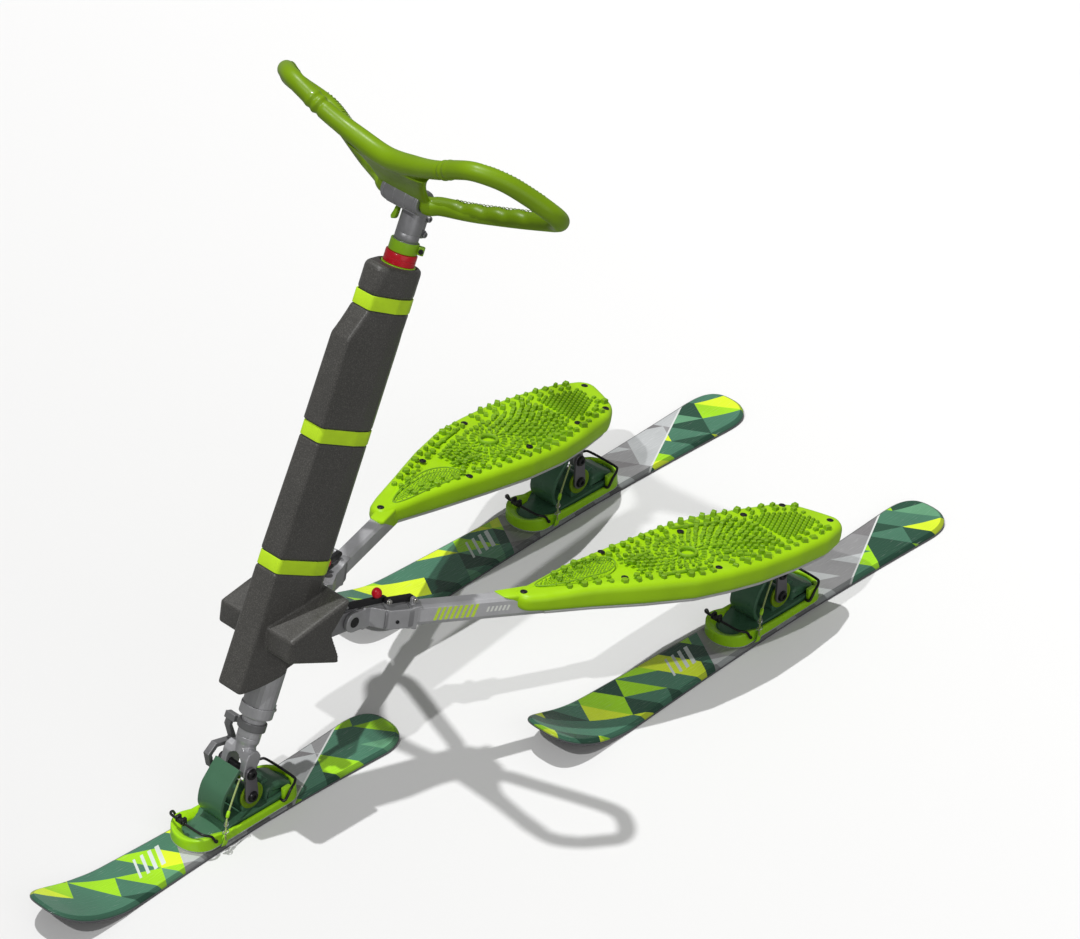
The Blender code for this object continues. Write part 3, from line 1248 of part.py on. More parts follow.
def make_pivot_block(name, side):
    """Block between the camber pin and the fold pin, with the latch lug on top."""
    low = ARM_ROOT_X - TONGUE_WIDTH / 2
    high = ARM_ROOT_X + TONGUE_WIDTH / 2
    centre = (CAMBER_CENTRE.y, CAMBER_CENTRE.z)
    outline = stadium(centre, BLOCK_RADIUS, (FOLD_Y, FOLD_Z), EAR_RADIUS - 0.001)
    made = add(f"pivot_block_{name}", on_side(slab(outline, low, high, SIDE_VIEW), side), "grey_metal",
               f"camber_axis_{name}")
    foot = (LATCH_FRONT_Y - 0.006, LATCH_FRONT_Z - 0.02)
    lug = stadium((LATCH_FRONT_Y, LATCH_FRONT_Z), LATCH_LINK_RADIUS, foot, 0.011)
    join(made, tool(on_side(slab(lug, low, low + LATCH_LUG_WIDTH, SIDE_VIEW), side)))
    camber_hole = bore((0, *centre), (0.1, *centre), CAMBER_PIN_RADIUS + GAP)
    cut(made, tool(on_side(camber_hole, side)))
    fold_hole = bore((0, FOLD_Y, FOLD_Z), (0.1, FOLD_Y, FOLD_Z), FOLD_PIN_RADIUS + GAP)
    cut(made, tool(on_side(fold_hole, side)))
    pin = rod((low + 0.005, LATCH_FRONT_Y, LATCH_FRONT_Z), (high + 0.001, LATCH_FRONT_Y, LATCH_FRONT_Z),
              LATCH_PIN_RADIUS, sides=10)
    join(made, tool(on_side(pin, side)))


def make_latch(name, side):
    """Two latch links: the front one with the ball knob, the rear one with the cross bolt."""
    start = ARM_ROOT_X - TONGUE_WIDTH / 2 + LATCH_LUG_WIDTH + GAP
    front = skewed_link((start + LATCH_LINK_WIDTH / 2, LATCH_FRONT_Y, LATCH_FRONT_Z),
                        (LATCH_MID_X - LATCH_LINK_WIDTH / 2 - GAP, LATCH_MID_Y, LATCH_MID_Z))
    first = add(f"latch_link_front_{name}", on_side(front, side), "black_metal", f"latch_front_axis_{name}")
    hole = bore((0, LATCH_FRONT_Y, LATCH_FRONT_Z), (0.1, LATCH_FRONT_Y, LATCH_FRONT_Z),
                LATCH_PIN_RADIUS + GAP, sides=10)
    cut(first, tool(on_side(hole, side)))
    stem_low = Vector((LATCH_MID_X - 0.008, LATCH_MID_Y - 0.01, LATCH_MID_Z))
    stem_top = stem_low + Vector((0, -0.001, 0.016))
    join(first, tool(on_side(rod(stem_low, stem_top, 0.003, sides=8), side)))
    join(first, tool(on_side(ball(stem_top, LATCH_BALL_RADIUS), side)))
    rear = skewed_link((LATCH_MID_X + LATCH_LINK_WIDTH / 2 + GAP, LATCH_MID_Y, LATCH_MID_Z),
                       (LATCH_REAR_X, LATCH_REAR_Y, LATCH_REAR_Z))
    second = add(f"latch_link_rear_{name}", on_side(rear, side), "black_metal", f"latch_rear_axis_{name}")
    head = LATCH_MID_X + LATCH_LINK_WIDTH + GAP
    bolt = rod((head - 0.001, LATCH_MID_Y, LATCH_MID_Z), (head + 0.003, LATCH_MID_Y, LATCH_MID_Z),
               LATCH_PIN_RADIUS + 0.001, sides=10)
    join(second, tool(on_side(bolt, side)))


def skewed_link(first, second):
    """Flat link whose ends are round in side view and whose middle steps sideways."""
    low = Vector(first)
    high = Vector(second)
    mesh = slab(stadium(low.yz, LATCH_LINK_RADIUS, high.yz, LATCH_LINK_RADIUS, 5), -LATCH_LINK_WIDTH / 2,
                LATCH_LINK_WIDTH / 2, SIDE_VIEW)
    along = (high - low).y
    for vert in mesh.vertices:
        share = min(max((vert.co.y - low.y) / along, 0), 1)
        vert.co.x += low.x + (high.x - low.x) * share
    return mesh


def build():
    """Build the whole trike."""
    clear_scene()
    make_collections()
    make_finishes()
    make_joint_empties()
    make_column()
    make_pads()
    make_straps()
    make_crown()
    make_fork()
    make_stop_arm()
    make_stem()
    make_handlebar()
    make_lever()
    make_ski_unit("front", 0, FRONT_PIVOT_Y, FRONT_SKI_LENGTH, FRONT_SKI_AHEAD, "steering_axis")
    for name, side in SIDES:
        make_pivot_block(name, side)
        make_arm(name, side)
        make_latch(name, side)
        make_ski_unit(name, side * HALF_TRACK, REAR_PIVOT_Y, REAR_SKI_LENGTH, REAR_SKI_AHEAD,
                      f"fold_axis_{name}")


build()
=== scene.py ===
"""Looks of the ski trike: finishes for every surface and the moulded, cast, foam and cord pieces.

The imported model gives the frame. Each sub-assembly is a class that builds its pieces as numpy surfaces
in metres, dresses them and lets them ride on the frame's bodies.
"""

import json
import logging
import math
from dataclasses import dataclass, field, replace
from enum import Enum
from typing import ClassVar, Optional, Sequence

import bmesh
import bpy
import numpy as np
from mathutils import Matrix, Vector


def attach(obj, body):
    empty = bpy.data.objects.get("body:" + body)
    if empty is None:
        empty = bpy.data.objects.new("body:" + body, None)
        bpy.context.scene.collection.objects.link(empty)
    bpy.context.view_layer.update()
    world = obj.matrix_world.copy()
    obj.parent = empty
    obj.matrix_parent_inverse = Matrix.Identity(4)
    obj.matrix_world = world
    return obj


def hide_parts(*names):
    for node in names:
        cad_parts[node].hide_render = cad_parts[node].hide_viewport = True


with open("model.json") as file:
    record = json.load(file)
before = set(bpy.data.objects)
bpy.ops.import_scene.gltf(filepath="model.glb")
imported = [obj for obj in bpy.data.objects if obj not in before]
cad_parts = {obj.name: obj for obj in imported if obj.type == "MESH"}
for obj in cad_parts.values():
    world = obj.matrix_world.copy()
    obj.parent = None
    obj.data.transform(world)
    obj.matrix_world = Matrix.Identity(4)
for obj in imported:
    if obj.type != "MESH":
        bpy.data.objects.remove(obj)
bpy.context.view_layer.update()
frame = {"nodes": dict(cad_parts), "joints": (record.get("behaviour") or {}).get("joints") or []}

Material, Piece, Socket = bpy.types.Material, bpy.types.Object, bpy.types.NodeSocket
Array = np.ndarray

LOG = logging.getLogger("ski_trike")
JOINTS = {joint["name"]: joint for joint in frame["joints"]}

COLUMN_LEAN = math.radians(25.4)
ARM_SLOPE = math.atan(0.192)
ARM_SPLAY = 0.4232
HALF_TRACK = 0.241
GAP = 0.0003
MERGE_DISTANCE = 2e-5
FULL_TURN = 2 * math.pi

PHOTO_WIDTH = 1080
PHOTO_LENS = 4700 * 36 / PHOTO_WIDTH
CAMERA_BACK = (0.57672, -0.5828, 0.57248)
CAMERA_TARGET = (0.03125, 0.15317, 0.372)
CAMERA_DISTANCE = 7.8036


class Slot(Enum):
    """Material slots of the record."""

    GREY = "anodised_grey"
    TUBE = "tube_grey"
    LIME = "lime_plastic"
    FOAM = "foam"
    STRAP = "strap_lime"
    PINE = "pine_plastic"
    BINDING = "binding_lime"
    RED = "red_plastic"
    BLACK = "black_steel"
    BUSH = "bush_brass"
    SKI = "ski_laminate"
    CORD = "cord"


class Side(Enum):
    """The two sides of the trike, with the sign of X on each."""

    LEFT = 1
    RIGHT = -1

    @property
    def word(self) -> str:
        """Lower-case name that the nodes and bodies use."""
        return self.name.lower()


@dataclass(frozen=True)
class Axes:
    """Local frame: an origin and three unit axes given in the shared frame."""

    origin: tuple
    x: tuple = (1.0, 0.0, 0.0)
    y: tuple = (0.0, 1.0, 0.0)
    z: tuple = (0.0, 0.0, 1.0)

    def place(self, local: Array) -> Array:
        """Turn local points into the shared frame.

        Args:
            local: array whose last axis holds x, y and z in this frame.

        Returns:
            Array of the same shape in the shared frame.
        """
        return np.asarray(self.origin) + local @ np.array([self.x, self.y, self.z])


def tilted(origin: Sequence, angle: float) -> Axes:
    """Frame whose x points outwards, and whose y, back, and z, up, are turned forwards by an angle."""
    sine, cosine = math.sin(angle), math.cos(angle)
    return Axes(tuple(origin), (1, 0, 0), (0, cosine, -sine), (0, sine, cosine))


COLUMN = tilted(JOINTS["steering"]["pos_m"], COLUMN_LEAN)
ARM = tilted((0, *JOINTS["fold_left"]["pos_m"][1:]), ARM_SLOPE)


def mm(text: str) -> tuple:
    """Read points that are written in millimetres, a comma between two points, and give them in metres."""
    return tuple(tuple(float(number) / 1000 for number in point.split()) for point in text.split(","))


def sideways(*origin: float) -> Axes:
    """Side view at a point: its x points back, its y up and its z to the trike's left."""
    return Axes(origin, (0, 1, 0), (0, 0, 1), (1, 0, 0))


SIDE_VIEW = sideways(0, 0, 0)


def unit(vectors: Array) -> Array:
    """Scale the vectors along the last axis to length one."""
    return vectors / np.maximum(np.linalg.norm(vectors, axis=-1, keepdims=True), 1e-12)


def eased(value: Array) -> Array:
    """Cubic step from 0 to 1: the value held between them, squared, times three minus twice itself."""
    share = np.clip(value, 0, 1)
    return share * share * (3 - 2 * share)


def bell(value: Array, middle: float, width: float) -> Array:
    """Bell of height 1 round a middle."""
    return np.exp(-((value - middle) / width) ** 2)


def turns(count: int) -> Array:
    """Angles of a full turn in even steps."""
    return np.linspace(0, FULL_TURN, count, endpoint=False)


def run_of(line: Array) -> Array:
    """Length of a line up to each of its points."""
    return np.concatenate([[0], np.cumsum(np.linalg.norm(np.diff(line, axis=0), axis=1))])


def both_sides(right: Sequence) -> list:
    """Points of a right half, followed by their mirror image in reverse."""
    return [*right, *((-point[0], *point[1:]) for point in reversed(right))]


def rectangle(half_width: float, half_height: float) -> list:
    """Corners of a rectangle round the middle."""
    return [(half_width, half_height), (-half_width, half_height), (-half_width, -half_height),
            (half_width, -half_height)]


def soft_curve(points: Sequence, samples: int, closed: bool = False) -> Array:
    """Catmull-Rom curve through the points.

    Args:
        points: control points in two or three dimensions.
        samples: steps between two control points.
        closed: whether the curve comes back to its start.

    Returns:
        Array of curve points; an open curve holds both of its ends.
    """
    given = np.asarray(points, float)
    if closed:
        before, after, beyond = (np.roll(given, shift, 0) for shift in (1, -1, -2))
        start = given
    else:
        padded = np.vstack([2 * given[0] - given[1], given, 2 * given[-1] - given[-2]])
        before, start, after, beyond = padded[:-3], padded[1:-2], padded[2:-1], padded[3:]
    t = np.linspace(0, 1, samples, endpoint=False)[None, :, None]
    before, start, after, beyond = (part[:, None, :] for part in (before, start, after, beyond))
    curve = 0.5 * (2 * start + (after - before) * t + (2 * before - 5 * start + 4 * after - beyond) * t ** 2
                   + (3 * start - before - 3 * after + beyond) * t ** 3)
    curve = curve.reshape(-1, given.shape[1])
    return curve if closed else np.vstack([curve, given[-1]])


def even_steps(points: Array, count: int, closed: bool = False) -> Array:
    """Spread points evenly along a line by its length.

    Args:
        points: line of points.
        count: number of points wanted.
        closed: whether the line comes back to its start.

    Returns:
        Array of count points; a closed line's first point isn't repeated.
    """
    line = np.vstack([points, points[:1]]) if closed else points
    length = run_of(line)
    wanted = np.linspace(0, length[-1], count, endpoint=not closed)
    return np.stack([np.interp(wanted, length, line[:, i]) for i in range(line.shape[1])], -1)


def round_corners(corners: Sequence, radius: float, steps: int = 6) -> Array:
    """Closed outline with each corner rounded by a parabola between its two tangent points.

    Args:
        corners: the sharp corners in order.
        radius: cut taken off each side of a corner.
        steps: points on each rounded corner.

    Returns:
        The rounded outline.
    """
    given = np.asarray(corners, float)
    back = np.roll(given, 1, 0) - given
    ahead = np.roll(given, -1, 0) - given
    opening = np.arccos(np.clip((unit(back) * unit(ahead)).sum(1), -0.9999, 0.9999))
    reach = radius / np.tan(opening / 2)
    limit = 0.48 * np.minimum(np.linalg.norm(back, axis=1), np.linalg.norm(ahead, axis=1))
    reach = np.minimum(reach, limit)[:, None]
    start = (given + unit(back) * reach)[:, None, :]
    end = (given + unit(ahead) * reach)[:, None, :]
    t = np.linspace(0, 1, steps)[None, :, None]
    corner = given[:, None, :]
    return ((1 - t) ** 2 * start + 2 * t * (1 - t) * corner + t ** 2 * end).reshape(-1, given.shape[1])


def outline_normals(outline: Array) -> Array:
    """Inward unit normals of a closed outline, from the chord between each point's neighbours.

    Args:
        outline: closed line of x and y.

    Returns:
        One unit normal for each point.
    """
    chord = unit(np.roll(outline, -1, 0) - np.roll(outline, 1, 0))
    normal = np.stack([-chord[:, 1], chord[:, 0]], -1)
    following = np.roll(outline, -1, 0)
    area = (outline[:, 0] * following[:, 1] - following[:, 0] * outline[:, 1]).sum()
    return normal if area > 0 else -normal


def stacked(outline: Array, levels: Sequence) -> Array:
    """Rows of one outline, each drawn in by its inset and lifted to its height."""
    normals = outline_normals(outline)
    return np.stack([np.column_stack([outline + normals * inset, np.full(len(outline), height)])
                     for inset, height in levels])


def edge_levels(low: float, high: float, edge: float, steps: int = 4) -> list:
    """Heights and insets of a wall whose lower and upper edges are quarter rounds.

    Args:
        low: height of the lower face.
        high: height of the upper face.
        edge: radius of the quarter rounds.
        steps: points on each quarter round.

    Returns:
        Pairs of inset and height, from the bottom up.
    """
    angle = np.linspace(0, math.pi / 2, steps)
    lower = [(edge * (1 - math.sin(a)), low + edge * (1 - math.cos(a))) for a in angle]
    upper = [(inset, high - (height - low)) for inset, height in reversed(lower)]
    return lower + upper


@dataclass
class Patch:
    """Grid of points with the rules that close it; a leading axis holds copies of one grid."""

    points: Array
    wrap: bool = True
    loop: bool = False
    caps: bool = True

    def moved(self, axes: Axes) -> "Patch":
        """The same grid with its points put into a local frame."""
        return replace(self, points=axes.place(self.points))

    def mirrored(self, side: Side) -> "Patch":
        """The same grid on its side of the trike."""
        return replace(self, points=self.points * np.array([side.value, 1, 1]))

    def faces(self) -> list:
        """List the grid's quads, and its two end faces if it has caps.

        The quad between rows i, i+1 and columns j, j+1 joins those four points.

        Returns:
            For each face the numbers of its points.
        """
        rows, columns = self.points.shape[-3:-1]
        index = np.arange(rows * columns).reshape(rows, columns)
        if self.wrap:
            index = np.concatenate([index, index[:, :1]], 1)
        if self.loop:
            index = np.concatenate([index, index[:1]], 0)
        quads = np.stack([index[:-1, :-1], index[:-1, 1:], index[1:, 1:], index[1:, :-1]], -1)
        copies = int(np.prod(self.points.shape[:-3])) if self.points.ndim > 3 else 1
        shift = (np.arange(copies) * rows * columns)[:, None, None]
        made = (quads.reshape(1, -1, 4) + shift).reshape(-1, 4).tolist()
        if self.caps and not self.loop:
            ends = np.stack([np.arange(columns)[::-1], np.arange(columns) + (rows - 1) * columns])
            made += (ends[None] + shift).reshape(-1, columns).tolist()
        return made


def add_object(name: str, data: bpy.types.ID) -> Piece:
    """Put data into the scene as an object."""
    made = bpy.data.objects.new(name, data)
    bpy.context.scene.collection.objects.link(made)
    return made


def build(name: str, patches: Sequence, axes: Optional[Axes] = None, smooth: float = 35.0,
          local: Optional[Array] = None) -> Piece:
    """Make one object of several patches, merged and turned outwards.

    Args:
        name: the piece's name.
        patches: the grids that it is made of.
        axes: local frame of the points; None for the shared frame.
        smooth: angle in degrees under which faces are shaded smooth.
        local: each point's pattern coordinates, kept in the attribute "local".

    Returns:
        The object, at the origin.
    """
    points = []
    faces = []
    count = 0
    for patch in patches:
        flat = patch.points.reshape(-1, 3)
        faces += [[i + count for i in face] for face in patch.faces()] if count else patch.faces()
        points.append(flat)
        count += len(flat)
    points = np.vstack(points)
    if axes:
        points = axes.place(points)
    mesh = bpy.data.meshes.new(name)
    mesh.from_pydata(points.tolist(), [], faces)
    if local is not None:
        layer = mesh.attributes.new("local", "FLOAT_VECTOR", "POINT")
        layer.data.foreach_set("vector", local.astype(np.float32).ravel())
    tidy_mesh(mesh)
    made = add_object(name, mesh)
    shade(made, smooth)
    return made


def tidy_mesh(mesh: bpy.types.Mesh, distance: float = 1e-6) -> None:
    """Merge doubled points and turn the faces outwards.

    Args:
        mesh: mesh that is changed in place.
        distance: points nearer than this are merged.
    """
    work = bmesh.new()
    work.from_mesh(mesh)
    bmesh.ops.remove_doubles(work, verts=work.verts, dist=distance)
    bmesh.ops.dissolve_degenerate(work, edges=work.edges, dist=distance)
    bmesh.ops.recalc_face_normals(work, faces=work.faces)
    work.to_mesh(mesh)
    work.free()


def shade(made: Piece, smooth: float) -> None:
    """Shade smooth except over edges sharper than the angle in degrees."""
    made.data.shade_smooth()
    made.data.set_sharp_from_angle(angle=math.radians(smooth))


def applied(made: Piece, *tools: Piece) -> Piece:
    """Apply an object's modifiers to its mesh and remove the tools that they used.

    Args:
        made: object whose modifiers are applied.
        tools: objects that they used.

    Returns:
        The same object.
    """
    graph = bpy.context.evaluated_depsgraph_get()
    mesh = bpy.data.meshes.new_from_object(made.evaluated_get(graph))
    made.modifiers.clear()
    made.data = mesh
    for item in tools:
        bpy.data.objects.remove(item, do_unlink=True)
    return made


def carve(made: Piece, *tools: Piece) -> Piece:
    """Take closed tools out of an object; parts that overlap in it are joined."""
    for item in tools:
        change = made.modifiers.new("carve", "BOOLEAN")
        change.operation = "DIFFERENCE"
        change.solver = "MANIFOLD"
        change.object = item
    return applied(made, *tools)


def remeshed(made: Piece, voxel: float, passes: int, partner: Optional[Piece] = None) -> Piece:
    """Remesh an object finely and smooth it, so that its parts flow into each other.

    Args:
        made: the object.
        voxel: grid of the remesh in metres, about the size of the edge radius.
        passes: how often each point is drawn to its neighbours' middle.
        partner: a closed object that is joined to it first.

    Returns:
        The same object with its new mesh.
    """
    if partner:
        join = made.modifiers.new("join", "BOOLEAN")
        join.operation = "UNION"
        join.solver = "EXACT"
        join.object = partner
    grid = made.modifiers.new("grid", "REMESH")
    grid.mode = "VOXEL"
    grid.voxel_size = voxel
    relax = made.modifiers.new("relax", "SMOOTH")
    relax.factor = 0.5
    relax.iterations = passes
    return applied(made, *([partner] if partner else []))


def sweep(path: Array, section: Array, up: Sequence, closed: bool = False) -> Array:
    """Carry a section along a path: side is tangent x up, and top is side x tangent.

    Args:
        path: centre line, one point a row.
        section: (side, top) offsets, as one outline or as one outline for each path point.
        up: direction that the section's top leans to.
        closed: whether the path comes back to its start.

    Returns:
        Grid of points, one row for each path point.
    """
    if closed:
        tangent = unit(np.roll(path, -1, 0) - np.roll(path, 1, 0))
    else:
        tangent = unit(np.gradient(path, axis=0))
    side = unit(np.cross(tangent, np.asarray(up, float)))
    top = np.cross(side, tangent)
    outline = section if section.ndim == 3 else np.broadcast_to(section, (len(path), *section.shape))
    return path[:, None, :] + outline[..., :1] * side[:, None, :] + outline[..., 1:2] * top[:, None, :]


def circle(radius: float, count: int, start: float = 0.0) -> Array:
    """Points (cos, sin) of a circle, in order."""
    angle = start + turns(count)
    return radius * np.stack([np.cos(angle), np.sin(angle)], -1)


def tube(path: Array, radius: float, up: Sequence = (0, 0, 1), count: int = 12,
         closed: bool = False) -> Patch:
    """Round wire or rod along a path, with soft ends.

    Args:
        path: points of the middle line.
        radius: radius of the rod.
        up: direction that starts the cross section.
        count: points round the rod.
        closed: whether the path joins its own start.

    Returns:
        The rod's surface.
    """
    ring = circle(1.0, count)
    scale = np.full(len(path), radius)
    if not closed:
        ends = np.array([0.55, 0.87])
        scale = np.concatenate([radius * ends, scale, radius * ends[::-1]])
        reach = radius * np.array([[0.0], [0.14]])
        first = path[0] - unit(path[1] - path[0]) * (radius * 0.28 - reach * 1.4)
        last = path[-1] + unit(path[-1] - path[-2]) * (radius * 0.28 - reach[::-1] * 1.4)
        path = np.vstack([first, path, last])
    return Patch(sweep(path, scale[:, None, None] * ring[None], up, closed), loop=closed)


def turned(profile: Sequence, count: int = 32) -> Patch:
    """Turn (radius, height) points round the local z axis: (r cos a, r sin a, h).

    Args:
        profile: pairs of radius and height.
        count: steps round the axis.

    Returns:
        The turned surface, closed round the axis.
    """
    shape = np.asarray(profile, float)
    ring = circle(1.0, count)
    flat = shape[:, :1, None].transpose(0, 2, 1) * ring[None]
    height = np.broadcast_to(shape[:, 1][:, None, None], (len(shape), count, 1))
    return Patch(np.concatenate([flat, height], -1), caps=bool(shape[0, 0] > 0 or shape[-1, 0] > 0))


def turned_ring(profile: Sequence, count: int = 64) -> Patch:
    """Turn a profile that comes back to its start."""
    return Patch(turned(profile, count).points, loop=True)


def ring_of(outer: float, inner: float, low: float, high: float, edge: float, count: int = 40) -> Patch:
    """Turned ring with rounded edges: outer wall up, top in, bore down and round again.

    Args:
        outer: outer radius.
        inner: radius of the bore.
        low: height of the lower face.
        high: height of the upper face.
        edge: radius of the rounded edges.
        count: steps round the axis.

    Returns:
        The ring's surface.
    """
    levels = edge_levels(low, high, edge)
    wall = [(outer - inset, height) for inset, height in levels]
    bore = [(inner + inset, height) for inset, height in reversed(levels)]
    return turned_ring(wall + bore, count)


def plate(outline: Array, low: float, high: float, edge: float = 0.0008, steps: int = 4) -> Patch:
    """Flat outline with a thickness and quarter-round edges."""
    return Patch(stacked(outline, edge_levels(low, high, edge, steps)))


def pillow(outline: Array, levels: Sequence, spine: Array, rings: int = 5, dome: float = 0.0) -> Patch:
    """Closed body of one outline at several insets and heights, gathered onto a spine above and below.

    Args:
        outline: plan of the body, counter-clockwise or not.
        levels: (inset, height) from the lowest rim to the highest.
        spine: the plan point that each outline point is drawn in to.
        rings: steps between a rim and the spine.
        dome: how far the top rises from its rim to the spine, as a quarter wave.

    Returns:
        The closed patch.
    """
    share = np.linspace(1, 0, rings, endpoint=False)[:, None, None]
    walls = stacked(outline, levels)

    def inwards(rim: Array, rise: float) -> Array:
        """Rows from near the spine out to a rim.

        Args:
            rim: outermost row of the face.
            rise: how much the face is lifted towards its spine.

        Returns:
            The rows of points.
        """
        centre = np.column_stack([spine, np.full(len(spine), rim[0, 2])])
        rows = rim + (centre - rim) * share
        rows[..., 2] += rise * np.sin(share[..., 0] * math.pi / 2)
        return rows

    below = inwards(walls[0], 0.0)
    above = inwards(walls[-1], dome)[::-1]
    return Patch(np.concatenate([below, walls, above]), caps=False)


def bar_spine(outline: Array, axis: int = 1, inset: float = 0.045) -> Array:
    """Spine of a long outline: its middle line, held back from both ends by the inset.

    Args:
        outline: closed line of x and y.
        axis: the long direction, 0 for x and 1 for y.
        inset: distance held back from both ends.

    Returns:
        One spine point for each point of the outline.
    """
    middle = outline.mean(0)
    along = np.clip(outline[:, axis], outline[:, axis].min() + inset, outline[:, axis].max() - inset)
    spine = np.broadcast_to(middle, outline.shape).copy()
    spine[:, axis] = along
    return spine


def block(size: Sequence, centre: Sequence = (0, 0, 0), edge: float = 0.0008,
          corner: float = 0.0015) -> Patch:
    """Box with rounded corners and edges about a centre.

    Args:
        size: lengths along x, y and z.
        centre: middle of the box.
        edge: radius of the top and bottom edges.
        corner: radius of the upright edges.

    Returns:
        The box's surface.
    """
    half = np.asarray(size, float) / 2
    radius = min(corner, half[0] * 0.9, half[1] * 0.9)
    outline = round_corners(rectangle(half[0], half[1]), radius, 4)
    patch = plate(outline, -half[2], half[2], min(edge, half[2] * 0.6, radius * 0.9), 3)
    return Patch(patch.points + np.asarray(centre, float))


def link_outline(first: Sequence, first_radius: float, second: Sequence, second_radius: float,
                 steps: int = 12) -> Array:
    """Outline of a flat link: two round ends joined by their common tangents.

    Args:
        first: middle of the first end.
        first_radius: its radius.
        second: middle of the second end.
        second_radius: its radius.
        steps: points round each end.

    Returns:
        The closed outline.
    """
    across = np.asarray(second, float) - np.asarray(first, float)
    heading = math.atan2(across[1], across[0])
    lean = math.asin((first_radius - second_radius) / np.hypot(*across))
    near = np.linspace(heading + math.pi / 2 - lean, heading + 1.5 * math.pi + lean, steps)
    far = np.linspace(heading - math.pi / 2 + lean, heading + math.pi / 2 - lean, steps)
    start = np.asarray(first) + first_radius * np.stack([np.cos(near), np.sin(near)], -1)
    end = np.asarray(second) + second_radius * np.stack([np.cos(far), np.sin(far)], -1)
    return np.vstack([start, end])


def bolt(radius: float, height: float, socket: float, count: int = 36) -> Patch:
    """Cap screw head on the local plane z = 0: round rim, shallow dome and a hexagon socket.

    Args:
        radius: radius of the head.
        height: height of the head.
        socket: share of the radius that the socket takes, or 0 for none.
        count: points round the head.

    Returns:
        The head's surface.
    """
    sector = math.pi / 6
    hexagon = math.cos(sector) / np.cos((turns(count) + sector) % (2 * sector) - sector)
    shape = [(1.0, 0.0, False), (1.0, 0.7, False), (0.93, 0.93, False), (0.8, 1.0, False),
             (socket, 1.0, True), (socket, 0.45, True), (0.1 * socket, 0.35, True)]
    ring = circle(1.0, count)
    rows = [np.column_stack([ring * (radius * share * (hexagon if flat else np.ones(count)))[:, None],
                             np.full(count, height * level)]) for share, level, flat in shape]
    return Patch(np.stack(rows))


def facing(origin: Sequence, normal: Sequence) -> Axes:
    """Frame at a point whose z axis is the given direction.

    Args:
        origin: place of the frame.
        normal: direction of its z axis.

    Returns:
        The local frame.
    """
    z = unit(np.asarray(normal, float))
    helper = np.array([0, 0, 1.0]) if abs(z[2]) < 0.9 else np.array([0, 1.0, 0])
    x = unit(np.cross(helper, z))
    return Axes(tuple(origin), tuple(x), tuple(np.cross(z, x)), tuple(z))


def inside(points: Array, outline: Array) -> Array:
    """Tell which points lie in a closed outline, by counting the edges that a ray towards +x crosses.

    Args:
        points: points to test, x and y.
        outline: closed line of x and y.

    Returns:
        Truth value of each point.
    """
    x, y = points[:, :1], points[:, 1:2]
    ax, ay = outline[:, 0], outline[:, 1]
    bx, by = np.roll(ax, -1), np.roll(ay, -1)
    spans = (ay > y) != (by > y)
    slope = (bx - ax) / np.where(by == ay, 1e-12, by - ay)
    return ((spans & (x < slope * (y - ay) + ax)).sum(1) % 2) == 1


def casting(node: str, voxel: float, passes: int = 3) -> Piece:
    """Soft-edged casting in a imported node's place: a copy of its solid, merged, remeshed and smoothed.

    Args:
        node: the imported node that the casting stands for.
        voxel: grid of the remesh in metres.
        passes: how often each point is drawn to its neighbours' middle.

    Returns:
        The new object.
    """
    mesh = frame["nodes"][node].data.copy()
    mesh.materials.clear()
    made = add_object(f"{node}_casting", mesh)
    work = bmesh.new()
    work.from_mesh(mesh)
    bmesh.ops.remove_doubles(work, verts=work.verts, dist=MERGE_DISTANCE)
    bmesh.ops.dissolve_limit(work, angle_limit=math.radians(1), verts=work.verts, edges=work.edges)
    work.to_mesh(mesh)
    work.free()
    shade(remeshed(made, voxel, passes), 60)
    return made


